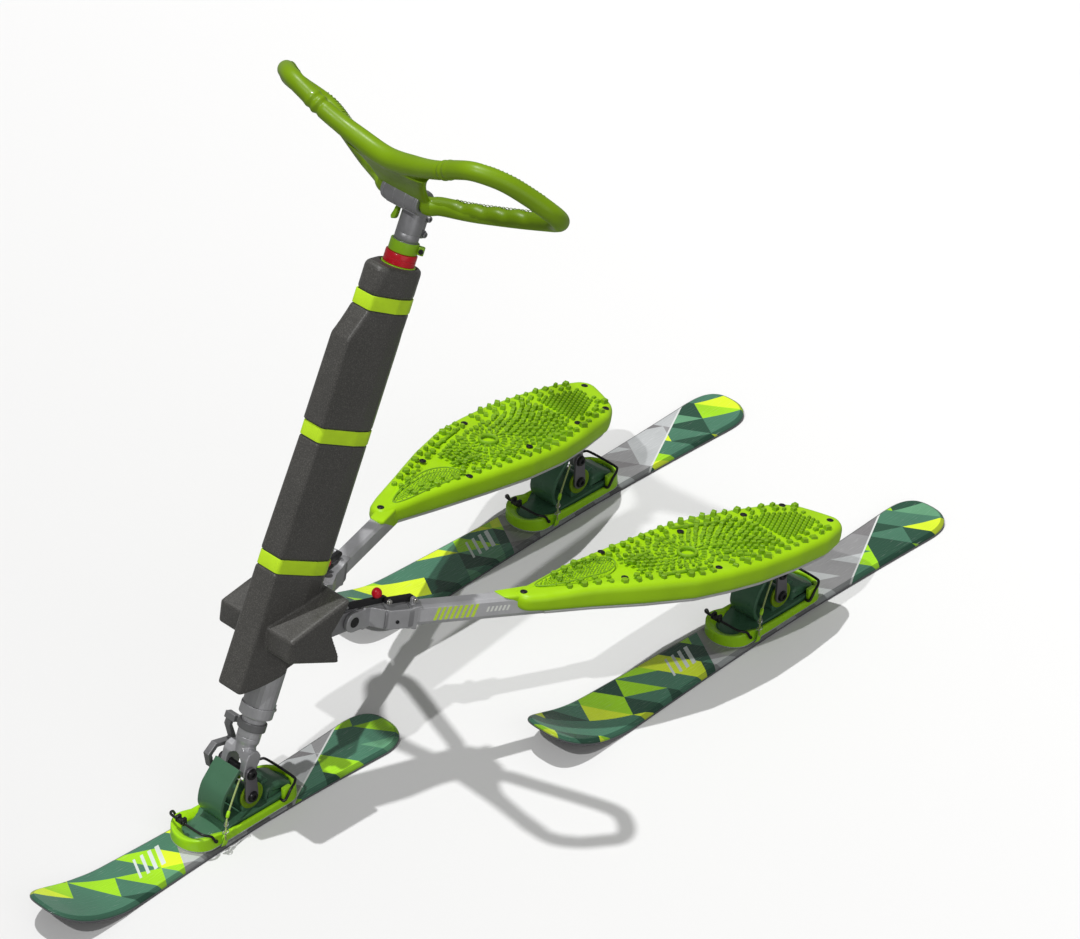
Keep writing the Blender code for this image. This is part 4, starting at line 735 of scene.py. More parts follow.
class Tree:
    """One material's node tree, with short calls that add nodes and join them."""

    def __init__(self, name: str, rough: float, metal: float = 0.0) -> None:
        """Start a material with a principled shader.

        Args:
            name: the material's name.
            rough: the shader's roughness.
            metal: the shader's metallic share.
        """
        self.material = bpy.data.materials.new(name)
        self.material.use_nodes = True
        self.tree = self.material.node_tree
        self.shader = self.tree.nodes["Principled BSDF"]
        self.set(Roughness=rough, Metallic=metal)

    def set(self, **values: object) -> None:
        """Set or join the shader's sockets; an underscore in a name stands for a space."""
        for name, value in values.items():
            self.put(self.shader.inputs[name.replace("_", " ")], value)

    def put(self, socket: Socket, value: object) -> None:
        """Join a socket to another one, or set its value."""
        if isinstance(value, Socket):
            self.tree.links.new(socket, value)
        else:
            socket.default_value = value

    def add(self, kind: str, values: dict, output: object = 0, **settings: object) -> Socket:
        """Add a node.

        Args:
            kind: the node's type.
            values: what each of its sockets takes, by name or number.
            output: name or number of the output wanted.
            settings: the node's own options.

        Returns:
            The output socket.
        """
        made = self.tree.nodes.new(kind)
        for name, value in settings.items():
            setattr(made, name, value)
        for name, value in values.items():
            self.put(made.inputs[name], value)
        return made.outputs[output]

    def where(self, scale: Sequence = (1, 1, 1), layer: str = "") -> Socket:
        """Object coordinates, or the piece's own attribute, scaled along each axis."""
        if layer:
            source = self.add("ShaderNodeAttribute", {}, "Vector", attribute_name=layer)
        else:
            source = self.add("ShaderNodeTexCoord", {}, "Object")
        return self.add("ShaderNodeMapping", {"Vector": source, "Scale": tuple(scale)})

    def noise(self, scale: float, detail: float = 3.0, where: Optional[Socket] = None) -> Socket:
        """Cloudy noise from 0 to 1, scale features to a metre."""
        values = {"Vector": where or self.where(), "Scale": scale, "Detail": detail}
        return self.add("ShaderNodeTexNoise", values)

    def cells(self, scale: float) -> Socket:
        """Distance to the nearest of scattered points, scale points to a metre."""
        return self.add("ShaderNodeTexVoronoi", {"Vector": self.where(), "Scale": scale}, "Distance")

    def waves(self, place: Socket, scale: float, distortion: float, direction: str) -> Socket:
        """Soft bands across a direction of the given coordinates."""
        return self.add("ShaderNodeTexWave", {"Vector": place, "Scale": scale, "Distortion": distortion}, 1,
                        bands_direction=direction)

    def clouds(self, scale: float, detail: float = 4.0) -> Socket:
        """Broad noise stretched to its full range."""
        return self.ramp(self.noise(scale, detail), 0.3, 0.7)

    def ramp(self, value: Socket, low: float, high: float, start: float = 0.0,
             end: float = 1.0) -> Socket:
        """Map low to high onto start to end, and hold the ends."""
        return self.add("ShaderNodeMapRange", {0: value, 1: low, 2: high, 3: start, 4: end})

    def calc(self, operation: str, first: object, second: object = 0.0) -> Socket:
        """One step of arithmetic."""
        return self.add("ShaderNodeMath", {0: first, 1: second}, operation=operation)

    def times(self, first: object, second: object) -> Socket:
        """Product of two values."""
        return self.calc("MULTIPLY", first, second)

    def below(self, first: object, second: object) -> Socket:
        """1 where the first value is less than the second, and 0 elsewhere."""
        return self.calc("LESS_THAN", first, second)

    def above(self, first: object, second: object) -> Socket:
        """1 where the first value is greater than the second, and 0 elsewhere."""
        return self.calc("GREATER_THAN", first, second)

    def mix(self, share: object, first: object, second: object) -> Socket:
        """Blend two colours."""
        return self.add("ShaderNodeMix", {0: share, 6: colour_of(first), 7: colour_of(second)}, 2,
                        data_type="RGBA")

    def along(self, vector: Socket, direction: Sequence) -> Socket:
        """Distance of a point along a direction."""
        return self.add("ShaderNodeVectorMath", {0: vector, 1: tuple(direction)}, "Value",
                        operation="DOT_PRODUCT")

    def rims(self, radius: float) -> Socket:
        """Mask of the edges: how far the normal turns within a radius.

        Args:
            radius: distance that the edges spread.

        Returns:
            Socket that is 1 on an edge and 0 on a flat place.
        """
        soft = self.add("ShaderNodeBevel", {"Radius": radius}, samples=4)
        hard = self.add("ShaderNodeNewGeometry", {}, "Normal")
        agreement = self.add("ShaderNodeVectorMath", {0: soft, 1: hard}, "Value", operation="DOT_PRODUCT")
        return self.ramp(agreement, 0.995, 0.9)

    def relief(self, height: Socket, strength: float, distance: float = 0.001) -> None:
        """Raise the surface by a height map."""
        made = self.add("ShaderNodeBump", {"Height": height, "Strength": strength, "Distance": distance})
        self.set(Normal=made)


def colour_of(value: object) -> object:
    """Give a colour its fourth number, and pass a socket on."""
    return (*value, 1.0) if isinstance(value, (tuple, list)) else value


def tinted(colour: Sequence, factor: float) -> tuple:
    """Colour made lighter or darker by a factor."""
    return tuple(min(part * factor, 1.0) for part in colour)


@dataclass(frozen=True)
class Plastic:
    """Moulded plastic: fine texture, cloudy tone, rubbed pale edges and dull smears."""

    name: str
    colour: tuple
    rough: float = 0.36
    grain: float = 1500.0
    depth: float = 0.12
    cloud: float = 0.1
    worn: float = 0.3
    rim: float = 0.0015
    coat: float = 0.0

    def paint(self) -> Material:
        """Lay out the nodes of the look that the class describes.

        Returns:
            The finished material.
        """
        tree = Tree(self.name, self.rough)
        fine = tree.noise(self.grain, 2)
        broad = tree.clouds(14)
        body = tree.mix(broad, tinted(self.colour, 1 - self.cloud), tinted(self.colour, 1 + self.cloud))
        pale = tuple(part + (1 - part) * 0.18 for part in tinted(self.colour, 1.15))
        wear = tree.ramp(tree.noise(120, 3), 0.35, 0.65, 0.2, self.worn)
        tree.set(Base_Color=tree.mix(tree.times(tree.rims(self.rim), wear), body, pale),
                 Roughness=tree.ramp(tree.noise(60, 5), 0.25, 0.75, self.rough - 0.07, self.rough + 0.1),
                 Coat_Weight=self.coat, Specular_IOR_Level=0.32)
        tree.relief(fine, self.depth, 0.0004)
        return tree.material


@dataclass(frozen=True)
class Metal:
    """Cast, drawn or painted metal: tone variation, bright rubbed edges and surface texture."""

    name: str
    colour: tuple
    rough: float = 0.42
    metal: float = 0.6
    grain: tuple = (1, 1, 1)
    scale: float = 700.0
    depth: float = 0.1
    bright: float = 0.45

    def paint(self) -> Material:
        """Lay out the nodes of the look that the class describes.

        Returns:
            The finished material.
        """
        tree = Tree(self.name, self.rough, self.metal)
        lines = tree.noise(self.scale, 4, tree.where(self.grain))
        broad = tree.clouds(22, 5)
        body = tree.mix(broad, tinted(self.colour, 0.86), tinted(self.colour, 1.1))
        body = tree.mix(tree.ramp(lines, 0.35, 0.7, 0, 0.35), body, tinted(self.colour, 0.75))
        edge = tree.times(tree.rims(0.0012), self.bright)
        tree.set(Base_Color=tree.mix(edge, body, tinted(self.colour, 1.8)),
                 Roughness=tree.ramp(tree.noise(150, 4), 0.3, 0.7, self.rough - 0.08, self.rough + 0.1))
        tree.relief(lines, self.depth, 0.0003)
        return tree.material


@dataclass(frozen=True)
class Foam:
    """Closed-cell foam: dense fine pores over a soft skin, with painted glints on its specks and a painted
    highlight along its edges.
    """

    name: str = "dark_foam"
    colour: tuple = (0.05, 0.048, 0.044)

    def paint(self) -> Material:
        """Lay out the nodes of the look that the class describes.

        Returns:
            The finished material.
        """
        tree = Tree(self.name, 0.55)
        pores = tree.cells(430)
        glinting_specks = tree.noise(620, 3)
        broad = tree.clouds(11)
        body = tree.mix(broad, tinted(self.colour, 0.88), tinted(self.colour, 1.15))
        # painted glints: pale flecks where the foam's pores catch the light
        body = tree.mix(tree.ramp(glinting_specks, 0.48, 0.66, 0, 0.75), body, tinted(self.colour, 2.6))
        # painted highlight: the edges are made paler where light would catch them
        body = tree.mix(tree.times(tree.rims(0.0022), 0.35), body, tinted(self.colour, 2.6))
        tree.set(Base_Color=body, Roughness=tree.ramp(tree.noise(40, 4), 0.3, 0.7, 0.34, 0.52),
                 Sheen_Weight=0.12)
        height = tree.calc("ADD", tree.times(pores, 0.6), tree.times(glinting_specks, 0.6))
        tree.relief(height, 0.35, 0.0006)
        return tree.material


@dataclass(frozen=True)
class Webbing:
    """Woven strap: ribs of yarn across and along the strap in the piece's own coordinates."""

    name: str = "lime_webbing"
    colour: tuple = (0.62, 0.96, 0.006)

    def paint(self) -> Material:
        """Lay out the nodes of the look that the class describes.

        Returns:
            The finished material.
        """
        tree = Tree(self.name, 0.62)
        place = tree.where((1, 1, 1), "local")
        weave = tree.calc("MAXIMUM", tree.waves(place, 190.0, 0.4, "Y"), tree.waves(place, 260.0, 0.6, "X"))
        body = tree.mix(tree.clouds(45), tinted(self.colour, 0.9), tinted(self.colour, 1.04))
        tree.set(Base_Color=tree.mix(tree.ramp(weave, 0.2, 0.9), tinted(self.colour, 0.8), body),
                 Sheen_Weight=0.1)
        tree.relief(weave, 0.4, 0.0005)
        return tree.material


@dataclass(frozen=True)
class Braid:
    """Braided cord: two families of strands that wind opposite ways round the cord."""

    name: str = "pale_braid"
    colour: tuple = (0.42, 0.55, 0.12)
    strands: float = 6.2832 * 3
    pitch: float = 2400

    def paint(self) -> Material:
        """Lay out the nodes of the look that the class describes.

        Returns:
            The finished material.
        """
        tree = Tree(self.name, 0.6)
        place = tree.where((1, 1, 1), "local")
        left = tree.calc("SINE", tree.along(place, (self.strands, self.pitch, 0)))
        right = tree.calc("SINE", tree.along(place, (self.strands, -self.pitch, 0)))
        strands = tree.ramp(tree.calc("MAXIMUM", left, right), -0.4, 1.0)
        fleck = tree.ramp(left, 0.6, 0.7)
        body = tree.mix(strands, tinted(self.colour, 0.45), self.colour)
        tree.set(Base_Color=tree.mix(tree.times(fleck, 0.5), body, (0.6, 0.62, 0.5)), Sheen_Weight=0.15)
        tree.relief(strands, 0.5, 0.0004)
        return tree.material


@dataclass(frozen=True)
class ClearPlate:
    """Pale clear plastic with fine scratches."""

    name: str = "clear_riser"
    colour: tuple = (0.62, 0.64, 0.64)

    def paint(self) -> Material:
        """Lay out the nodes of the look that the class describes.

        Returns:
            The finished material.
        """
        tree = Tree(self.name, 0.25)
        scratch = tree.noise(900, 2, tree.where((1, 0.12, 1)))
        tree.set(Base_Color=tree.mix(tree.clouds(30, 3), tinted(self.colour, 0.85), self.colour),
                 Roughness=tree.ramp(scratch, 0.3, 0.7, 0.15, 0.4), Transmission_Weight=0.35, Coat_Weight=0.3)
        tree.relief(scratch, 0.08, 0.0003)
        return tree.material


class Tone(Enum):
    """Colours of the ski top sheets, as linear light."""

    MID = (0.075, 0.215, 0.135)
    DARK = (0.024, 0.085, 0.05)
    LEAF = (0.14, 0.36, 0.2)
    LIME = (0.4, 0.8, 0.015)
    YELLOW = (0.8, 1.0, 0.03)
    ASH = (0.33, 0.325, 0.33)
    PALE = (0.56, 0.575, 0.58)
    SMOKE = (0.235, 0.225, 0.23)


@dataclass(frozen=True)
class TopSheet:
    """Printed ski: lozenges of green and lime at both ends, grey lozenges between, under a clear coat.

    The piece's own coordinates are sideways, behind the pivot, and height over the base.
    """

    name: str
    front_end: float
    rear_start: float
    seed: float
    cell: float = 0.088
    slant: float = 0.55
    edge_height: float = 0.0032
    chamfer_height: float = 0.0102

    def mosaic(self, tree: Tree, place: Socket, tones: Sequence, shift: float) -> Socket:
        """Colour plane slices bounded by two slanted families of lines.

        Each point's two slanted distances are counted in whole cells, the half of its cell is added, and
        the three counts pick a tone at random.

        Args:
            tree: the material's tree.
            place: the piece's own coordinates.
            tones: (share, colour) steps up to 1.
            shift: moves the random choice.

        Returns:
            The colour socket.
        """
        first = tree.calc("DIVIDE", tree.along(place, (self.slant, 1.0, 0)), self.cell)
        second = tree.calc("DIVIDE", tree.along(place, (-1.25, 0.62, 0)), self.cell * 0.8)
        half = tree.above(tree.calc("ADD", tree.calc("FRACT", first), tree.calc("FRACT", second)), 1.0)
        code = tree.add("ShaderNodeCombineXYZ", {0: tree.calc("ADD", tree.calc("FLOOR", first), shift),
                                                 1: tree.calc("FLOOR", second), 2: half})
        pick = tree.add("ShaderNodeTexWhiteNoise", {"Vector": code}, "Value", noise_dimensions="3D")
        colour = tones[0][1].value
        for (share, _), (_, tone) in zip(tones[:-1], tones[1:]):
            colour = tree.mix(tree.above(pick, share), colour, tone.value)
        return colour

    def bars(self, tree: Tree, place: Socket) -> Socket:
        """Mask of white slanted bars, thicker towards the tail, in a window ahead of the binding.

        Args:
            tree: node tree that the mask belongs to.
            place: socket with the local place.

        Returns:
            Socket of the mask.
        """
        run = tree.along(place, (0.5, 1.0, 0))
        beside = tree.add("ShaderNodeSeparateXYZ", {0: place}, 0)
        ahead = tree.calc("SUBTRACT", run, self.front_end - 0.055)
        window = tree.below(tree.calc("ABSOLUTE", ahead), 0.031)
        middle = tree.below(tree.calc("ABSOLUTE", tree.calc("ADD", beside, 0.006)), 0.0215)
        beat = tree.calc("FRACT", tree.calc("DIVIDE", ahead, 0.0155))
        thick = tree.calc("ADD", 0.44, tree.times(ahead, 5.0))
        return tree.times(tree.times(window, middle), tree.below(beat, thick))

    def paint(self) -> Material:
        """Lay out the nodes of the look that the class describes.

        Returns:
            The finished material.
        """
        tree = Tree(self.name, 0.22)
        place = tree.where((1, 1, 1), "local")
        greens = ((0.46, Tone.MID), (0.62, Tone.DARK), (0.67, Tone.LEAF), (0.83, Tone.LIME),
                  (1.0, Tone.YELLOW))
        greys = ((0.5, Tone.ASH), (0.78, Tone.PALE), (1.0, Tone.SMOKE))
        green = self.mosaic(tree, place, greens, self.seed)
        grey = self.mosaic(tree, place, greys, self.seed + 17)
        front = tree.below(tree.along(place, (self.slant, 1.0, 0)), self.front_end)
        lean = tree.along(place, (1.9, 1.0, 0))
        rear = tree.above(lean, self.rear_start)
        line = tree.below(tree.calc("ABSOLUTE", tree.calc("SUBTRACT", lean, self.rear_start)), 0.0032)
        colour = tree.mix(tree.calc("MAXIMUM", front, rear), grey, green)
        colour = tree.mix(line, colour, (0.8, 0.82, 0.8))
        colour = tree.mix(self.bars(tree, place), colour, (0.74, 0.8, 0.77))
        colour = tree.mix(tree.ramp(tree.noise(18, 4), 0.3, 0.7, 0.0, 0.14), colour, (0.02, 0.03, 0.03))
        height = tree.add("ShaderNodeSeparateXYZ", {0: place}, 2)
        slope = tree.below(height, self.chamfer_height)
        colour = tree.mix(tree.times(slope, 0.45), colour, (0.0, 0.02, 0.012))
        colour = tree.mix(tree.below(height, self.edge_height), colour, (0.11, 0.11, 0.12))
        scratch = tree.noise(500, 4, tree.where((1, 0.08, 1), "local"))
        scuffs = tree.ramp(scratch, 0.66, 0.76, 0, 0.35)
        tree.set(Base_Color=tree.mix(scuffs, colour, (0.6, 0.62, 0.6)),
                 Roughness=tree.ramp(scratch, 0.3, 0.75, 0.14, 0.36), Coat_Weight=0.35)
        tree.relief(scratch, 0.05, 0.0003)
        return tree.material


@dataclass(frozen=True)
class Decal:
    """Plain slanted stripes printed on a clear sheet, worn thin in places."""

    name: str = "arm_stripes"
    colour: tuple = (0.72, 1.0, 0.05)
    white: tuple = (0.9, 0.92, 0.86)
    change: float = -0.0935

    def paint(self) -> Material:
        """Lay out the nodes of the look that the class describes.

        Returns:
            The finished material.
        """
        tree = Tree(self.name, 0.3)
        worn = tree.ramp(tree.noise(260, 4), 0.6, 0.72, 0, 0.7)
        body = tree.mix(tree.noise(60, 3), tinted(self.colour, 0.85), self.colour)
        back = tree.add("ShaderNodeSeparateXYZ", {"Vector": tree.where()}, "Y")
        body = tree.mix(tree.ramp(back, self.change - 0.001, self.change + 0.001), body, self.white)
        tree.set(Base_Color=tree.mix(worn, body, (0.4, 0.4, 0.42)),
                 Roughness=tree.ramp(tree.noise(300, 2), 0.3, 0.7, 0.22, 0.42), Coat_Weight=0.2)
        tree.relief(tree.noise(1500, 2), 0.06, 0.0002)
        return tree.material


FINISHES = {
    "deck": Plastic("deck_lime", (0.375, 0.67, 0.004), 0.4, 900, 0.1, 0.06),
    # tread: painted shade, a darker copy of the deck's lime for the tread lugs
    "tread": Plastic("tread_lime", (0.2, 0.4, 0.002), 0.45, 1200, 0.1, 0.1, 0.25),
    "bar": Plastic("bar_lime", (0.19, 0.335, 0.002), 0.36, 1100, 0.14, 0.08, coat=0.05),
    "binding": Plastic("glossy_lime", (0.38, 0.75, 0.01), 0.28, 800, 0.06, 0.06, coat=0.2),
    "lime": Plastic("small_lime", (0.26, 0.5, 0.012), 0.34),
    "pine": Plastic("pine_green", (0.06, 0.155, 0.088), 0.3, 900, 0.08, 0.08, 0.35, coat=0.2),
    "red": Plastic("ring_red", (0.62, 0.006, 0.02), 0.3, 1200, 0.08, 0.1, 0.2, coat=0.2),
    "cast": Metal("cast_grey", (0.335, 0.335, 0.347)),
    # foot: painted light, a lighter copy of the cast grey for castings that catch the front light
    "foot": Metal("foot_grey", (0.5, 0.5, 0.515), 0.38, 0.5),
    "tube": Metal("drawn_grey", (0.66, 0.66, 0.68), 0.36, 0.45, (1, 0.06, 1), 900, 0.06),
    "link": Metal("link_grey", (0.2, 0.19, 0.21), 0.38, 0.5),
    # dark: painted shade, a darker copy of the cast grey for the stop arm
    "dark": Metal("stop_grey", (0.2, 0.2, 0.205), 0.42, 0.4),
    "black": Metal("black_enamel", (0.018, 0.018, 0.02), 0.34, 0.3, bright=0.3),
    "silver": Metal("bright_bolt", (0.62, 0.61, 0.58), 0.25, 0.9, scale=1600, depth=0.05),
    "brass": Metal("turned_brass", (0.5, 0.36, 0.14), 0.35, 0.9),
    "foam": Foam(),
    "webbing": Webbing(),
    "braid": Braid(),
    "clear": ClearPlate(),
    "stripes": Decal()}


def dress(node: str, material: Material, rounding: float = 0.0008) -> None:
    """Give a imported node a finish, and round its sharp edges a little.

    Args:
        node: the node's name.
        material: its material.
        rounding: width of the rounding in metres.
    """
    kept = frame["nodes"][node]
    for item in kept.material_slots:
        item.link = "OBJECT"
        item.material = material
    weld = kept.modifiers.new("weld", "WELD")
    weld.merge_threshold = MERGE_DISTANCE
    bevel = kept.modifiers.new("rounding", "BEVEL")
    bevel.width = rounding
    bevel.segments = 2
    bevel.limit_method = "ANGLE"
    bevel.angle_limit = math.radians(38)
    bevel.harden_normals = True
    LOG.info("%s: packed solid kept", node)


@dataclass
class Assembly:
    """Way in which each sub-assembly makes its pieces: one frame, one usual body and one name ending."""

    paints: dict

    axes: ClassVar[Optional[Axes]] = COLUMN
    body: ClassVar[str] = "frame"
    ending: ClassVar[str] = ""
    side: ClassVar[Side] = Side.LEFT

    def shape(self, name: str, patches: Sequence, smooth: float = 35.0, **more: object) -> Piece:
        """Build a piece from patches that are given for the left side.

        Args:
            name: the piece's name, without the sub-assembly's ending.
            patches: its grids in the sub-assembly's frame.
            smooth: angle in degrees under which faces are shaded smooth.
            more: what else build takes.

        Returns:
            The object.
        """
        placed = [patch.mirrored(self.side) for patch in patches]
        return build(name + self.ending, placed, **{"axes": self.axes, "smooth": smooth, **more})

    def wear(self, made: Piece, paint: str, slot: Slot, *nodes: str, body: str = "") -> Piece:
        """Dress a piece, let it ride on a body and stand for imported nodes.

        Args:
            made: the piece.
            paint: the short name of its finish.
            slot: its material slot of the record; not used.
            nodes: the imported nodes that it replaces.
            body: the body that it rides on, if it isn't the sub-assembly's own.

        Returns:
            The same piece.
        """
        made.data.materials.clear()
        made.data.materials.append(self.paints[paint])
        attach(made, body or self.body)
        if nodes:
            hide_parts(*nodes)
        LOG.info("%s: %d faces on %s", made.name, len(made.data.polygons), body or self.body)
        return made

    def add(self, name: str, patches: Sequence, paint: str, slot: Slot, *nodes: str, body: str = "",
            smooth: float = 35.0, **more: object) -> Piece:
        """Build a piece by shape and dress it by wear."""
        return self.wear(self.shape(name, patches, smooth, **more), paint, slot, *nodes, body=body)


@dataclass
class Studio:
    """Camera, lamps and floor."""

    key: float = 2.05
    fill: float = 1.1
    side: float = 0.5
    sky: float = 0.2
    floor: tuple = (0.825, 0.823, 0.819)
    floor_bounce: tuple = (0.24, 0.24, 0.236)
    floor_reach: float = 30.0
    floor_drop: float = 0.0006

    def build(self) -> None:
        """Make the camera, the lamps, the sky and the floor."""
        self.make_camera()
        self.make_lamp("key_lamp", (-0.199, 0.034, 1.13), self.key, 0.9)
        self.make_lamp("front_lamp", (0.149, -0.815, 1.13), self.fill, 1.0)
        self.make_lamp("side_lamp", (1.0, -0.25, 0.4), self.side, 50.0)
        self.make_sky()
        self.make_floor()

    def make_camera(self) -> None:
        """Put the camera where the photograph was taken from."""
        data = bpy.data.cameras.new("camera")
        data.sensor_fit = "HORIZONTAL"
        data.sensor_width = 36
        data.lens = PHOTO_LENS
        data.clip_end = 60
        camera = add_object("camera", data)
        back = Vector(CAMERA_BACK).normalized()
        camera.location = Vector(CAMERA_TARGET) + back * CAMERA_DISTANCE
        camera.rotation_euler = back.to_track_quat("Z", "Y").to_euler()
        bpy.context.scene.camera = camera

    def make_lamp(self, name: str, towards: Sequence, strength: float, spread: float) -> None:
        """Add one far lamp.

        Args:
            name: the lamp's name.
            towards: direction from the object to the lamp.
            strength: light on a surface that faces it.
            spread: the lamp's width in degrees, which softens its shadows.
        """
        data = bpy.data.lights.new(name, "SUN")
        data.energy = strength
        data.angle = math.radians(spread)
        lamp = add_object(name, data)
        lamp.rotation_euler = Vector(towards).normalized().to_track_quat("Z", "Y").to_euler()

    def make_sky(self) -> None:
        """Light the object evenly, and show white behind it and in its reflections."""
        world = bpy.data.worlds.new("sky")
        world.use_nodes = True
        tree = world.node_tree
        back = tree.nodes["Background"]
        back.inputs["Color"].default_value = (1, 1, 1, 1)
        path = tree.nodes.new("ShaderNodeLightPath")
        seen = tree.nodes.new("ShaderNodeMath")
        seen.operation = "MAXIMUM"
        tree.links.new(seen.inputs[0], path.outputs["Is Camera Ray"])
        tree.links.new(seen.inputs[1], path.outputs["Is Transmission Ray"])
        level = tree.nodes.new("ShaderNodeMapRange")
        level.inputs[3].default_value = self.sky
        level.inputs[4].default_value = 1.0
        tree.links.new(level.inputs[0], seen.outputs[0])
        tree.links.new(back.inputs["Strength"], level.outputs[0])
        bpy.context.scene.world = world
        bpy.context.scene.view_settings.view_transform = "Standard"

    def make_floor(self) -> None:
        """Lay a wide pale floor, with painted shade that makes it a little darker towards the front."""
        tree = Tree("floor_pale", 0.6)
        ahead = tree.along(tree.where(), (0.2, 1.0, 0))
        # painted shade: the floor's colour runs from a little lighter at the back to a little darker at the
        # front
        body = tree.mix(tree.ramp(ahead, -1.6, 1.6), tinted(self.floor, 0.905), tinted(self.floor, 1.07))
        seen = tree.add("ShaderNodeLightPath", {}, "Is Camera Ray")
        body = tree.mix(seen, self.floor_bounce, body)
        tree.set(Base_Color=body, Specular_IOR_Level=0.1)
        mesh = bpy.data.meshes.new("floor")
        corners = [(x, y, -self.floor_drop) for x, y in rectangle(-self.floor_reach, -self.floor_reach)]
        mesh.from_pydata(corners, [], [(0, 1, 2, 3)])
        mesh.materials.append(tree.material)
        add_object("floor", mesh)


@dataclass
class Handlebar(Assembly):
    """Moulded bar in one piece: two closed hand loops, a broad front bar and a web to the clamp."""

    grip: float = 0.015
    core: float = 0.0118
    clamp_half: float = 0.0405
    clamp_radius: float = 0.0207
    centre: tuple = (0.0, -0.03, 0.99)
    front: tuple = ((0.0, -0.103, 1.05), (0.065, -0.111, 1.06), (0.126, -0.127, 1.077))
    loop: tuple = mm("166 -138 1093, 203 -139 1104, 240 -113 1103, 268 -76 1090, 289 -42 1075, 286 -12 1062, "
                     "262 14 1050, 236 19.5 1041, 187 10 1026, 120 -8 1008, 66 -22.5 997")
    collars: tuple = mm("134 2.6 -2.1, 140.5 3.2 1.7, 146.5 2.4 -1.2, 152 3.2 1.4")
    rib_arc: tuple = (1.35, 2.5)
    rear_ribs: tuple = (0.085, 0.262)
    voxel: float = 0.0016
    body: ClassVar[str] = "stem"

    def build(self) -> None:
        """Build the bar and the ribs on its grips."""
        path = self.path()
        bar = self.shape("handlebar_grip", [self.rail(path)], 60)
        remeshed(bar, self.voxel, 5, self.shape("handlebar_web", [self.web()], 60))
        carve(bar, self.shape("seat_tool", [self.clamp_space()], 60))
        shade(bar, 50)
        self.wear(bar, "bar", Slot.LIME, "handlebar")
        self.add("handlebar_ribs", [self.ribs(path)], "bar", Slot.LIME, smooth=60)

    def path(self) -> Array:
        """Closed middle line: half of it from its points, the other half its mirror.

        Returns:
            The middle line of the loop.
        """
        right = list(self.front) + list(self.loop)
        left = [(-x, e, s) for x, e, s in right[1:]]
        middle = [(x, self.centre[1], self.centre[2]) for x in (0.046, 0.0, -0.046)]
        return even_steps(soft_curve(right + middle + left[::-1], 8, True), 420, True)

    def heading(self) -> Array:
        """Direction off the plane that the bar lies in."""
        ahead = unit(np.array(self.front[0]) - np.array(self.centre))
        return np.cross((1.0, 0, 0), -ahead)

    def rail(self, path: Array) -> Patch:
        """Carry a circle along the path.

        Its radius is the grip's, swelled on the front bar by a bell of sideways distance, narrowed inside
        the clamp, ringed by a groove and a collar, and dented inwards by a row of bells for the fingers.

        Args:
            path: closed middle line in the column's frame.

        Returns:
            The closed patch.
        """
        across = np.abs(path[:, 0])
        ahead = path[:, 1] < -0.06
        radius = np.full(len(path), self.grip)
        radius += np.where(ahead, 0.0022 * np.exp(-(across / 0.085) ** 4), 0)
        for at, width, height in self.collars:
            radius += np.where(ahead, height * bell(across, at, width), 0)
        inner = (~ahead) & (across < self.clamp_half + 0.0015)
        radius = np.where(inner, self.core, radius)
        angle = turns(40)[None, :]
        rear_dents = sum(bell(across, at, 0.0085) for at in (0.105, 0.139, 0.173, 0.207))
        rear_dents = np.where(~ahead & (path[:, 1] > -0.03), rear_dents, 0)[:, None]
        front_dents = sum(bell(across, at, 0.0075) for at in (0.185, 0.212, 0.238))
        front_dents = np.where(path[:, 1] < -0.09, front_dents, 0)[:, None]
        inwards = np.clip(-np.cos(angle + 0.25), 0, 1) ** 1.5
        under = np.clip(-np.cos(angle + 0.7), 0, 1) ** 1.5
        depth = 0.0036 * rear_dents * inwards + 0.0032 * front_dents * under
        spread = (radius[:, None] - depth)[..., None]
        section = spread * np.stack([np.cos(angle), np.sin(angle)], -1)
        return Patch(sweep(path, section, self.heading(), True), loop=True)

    def web(self) -> Patch:
        """Fill between the front bar and the clamp.

        Row by row from the rear, a super-ellipse whose half width and half thickness grow forwards, the
        width along a soft curve and the thickness fastest near the front bar.

        Returns:
            The web's surface.
        """
        share = np.linspace(-0.06, 0.97, 26)[:, None]
        angle = turns(64)[None, :]
        half = 0.053 + 0.012 * share + 0.028 * np.clip(share, 0, 1) ** 3
        thick = 0.0068 + 0.009 * np.clip(share, 0, 1) ** 4
        wide = half * np.sign(np.cos(angle)) * np.abs(np.cos(angle)) ** 0.35
        tall = thick * np.sign(np.sin(angle)) * np.abs(np.sin(angle)) ** 0.6
        start = np.array(self.centre)
        middle = start + (np.array(self.front[0]) - start) * share
        points = middle[:, None, :] + tall[..., None] * self.heading()
        return Patch(points + wide[..., None] * np.array([1.0, 0, 0]))

    def clamp_space(self) -> Patch:
        """Turned space round the bar's middle that the clamp fills."""
        corners = [(self.core, -1), (self.clamp_radius, -1), (self.clamp_radius, 1), (self.core, 1)]
        profile = np.array(corners) * (1, self.clamp_half)
        return turned_ring(profile, 48).moved(sideways(*self.centre))

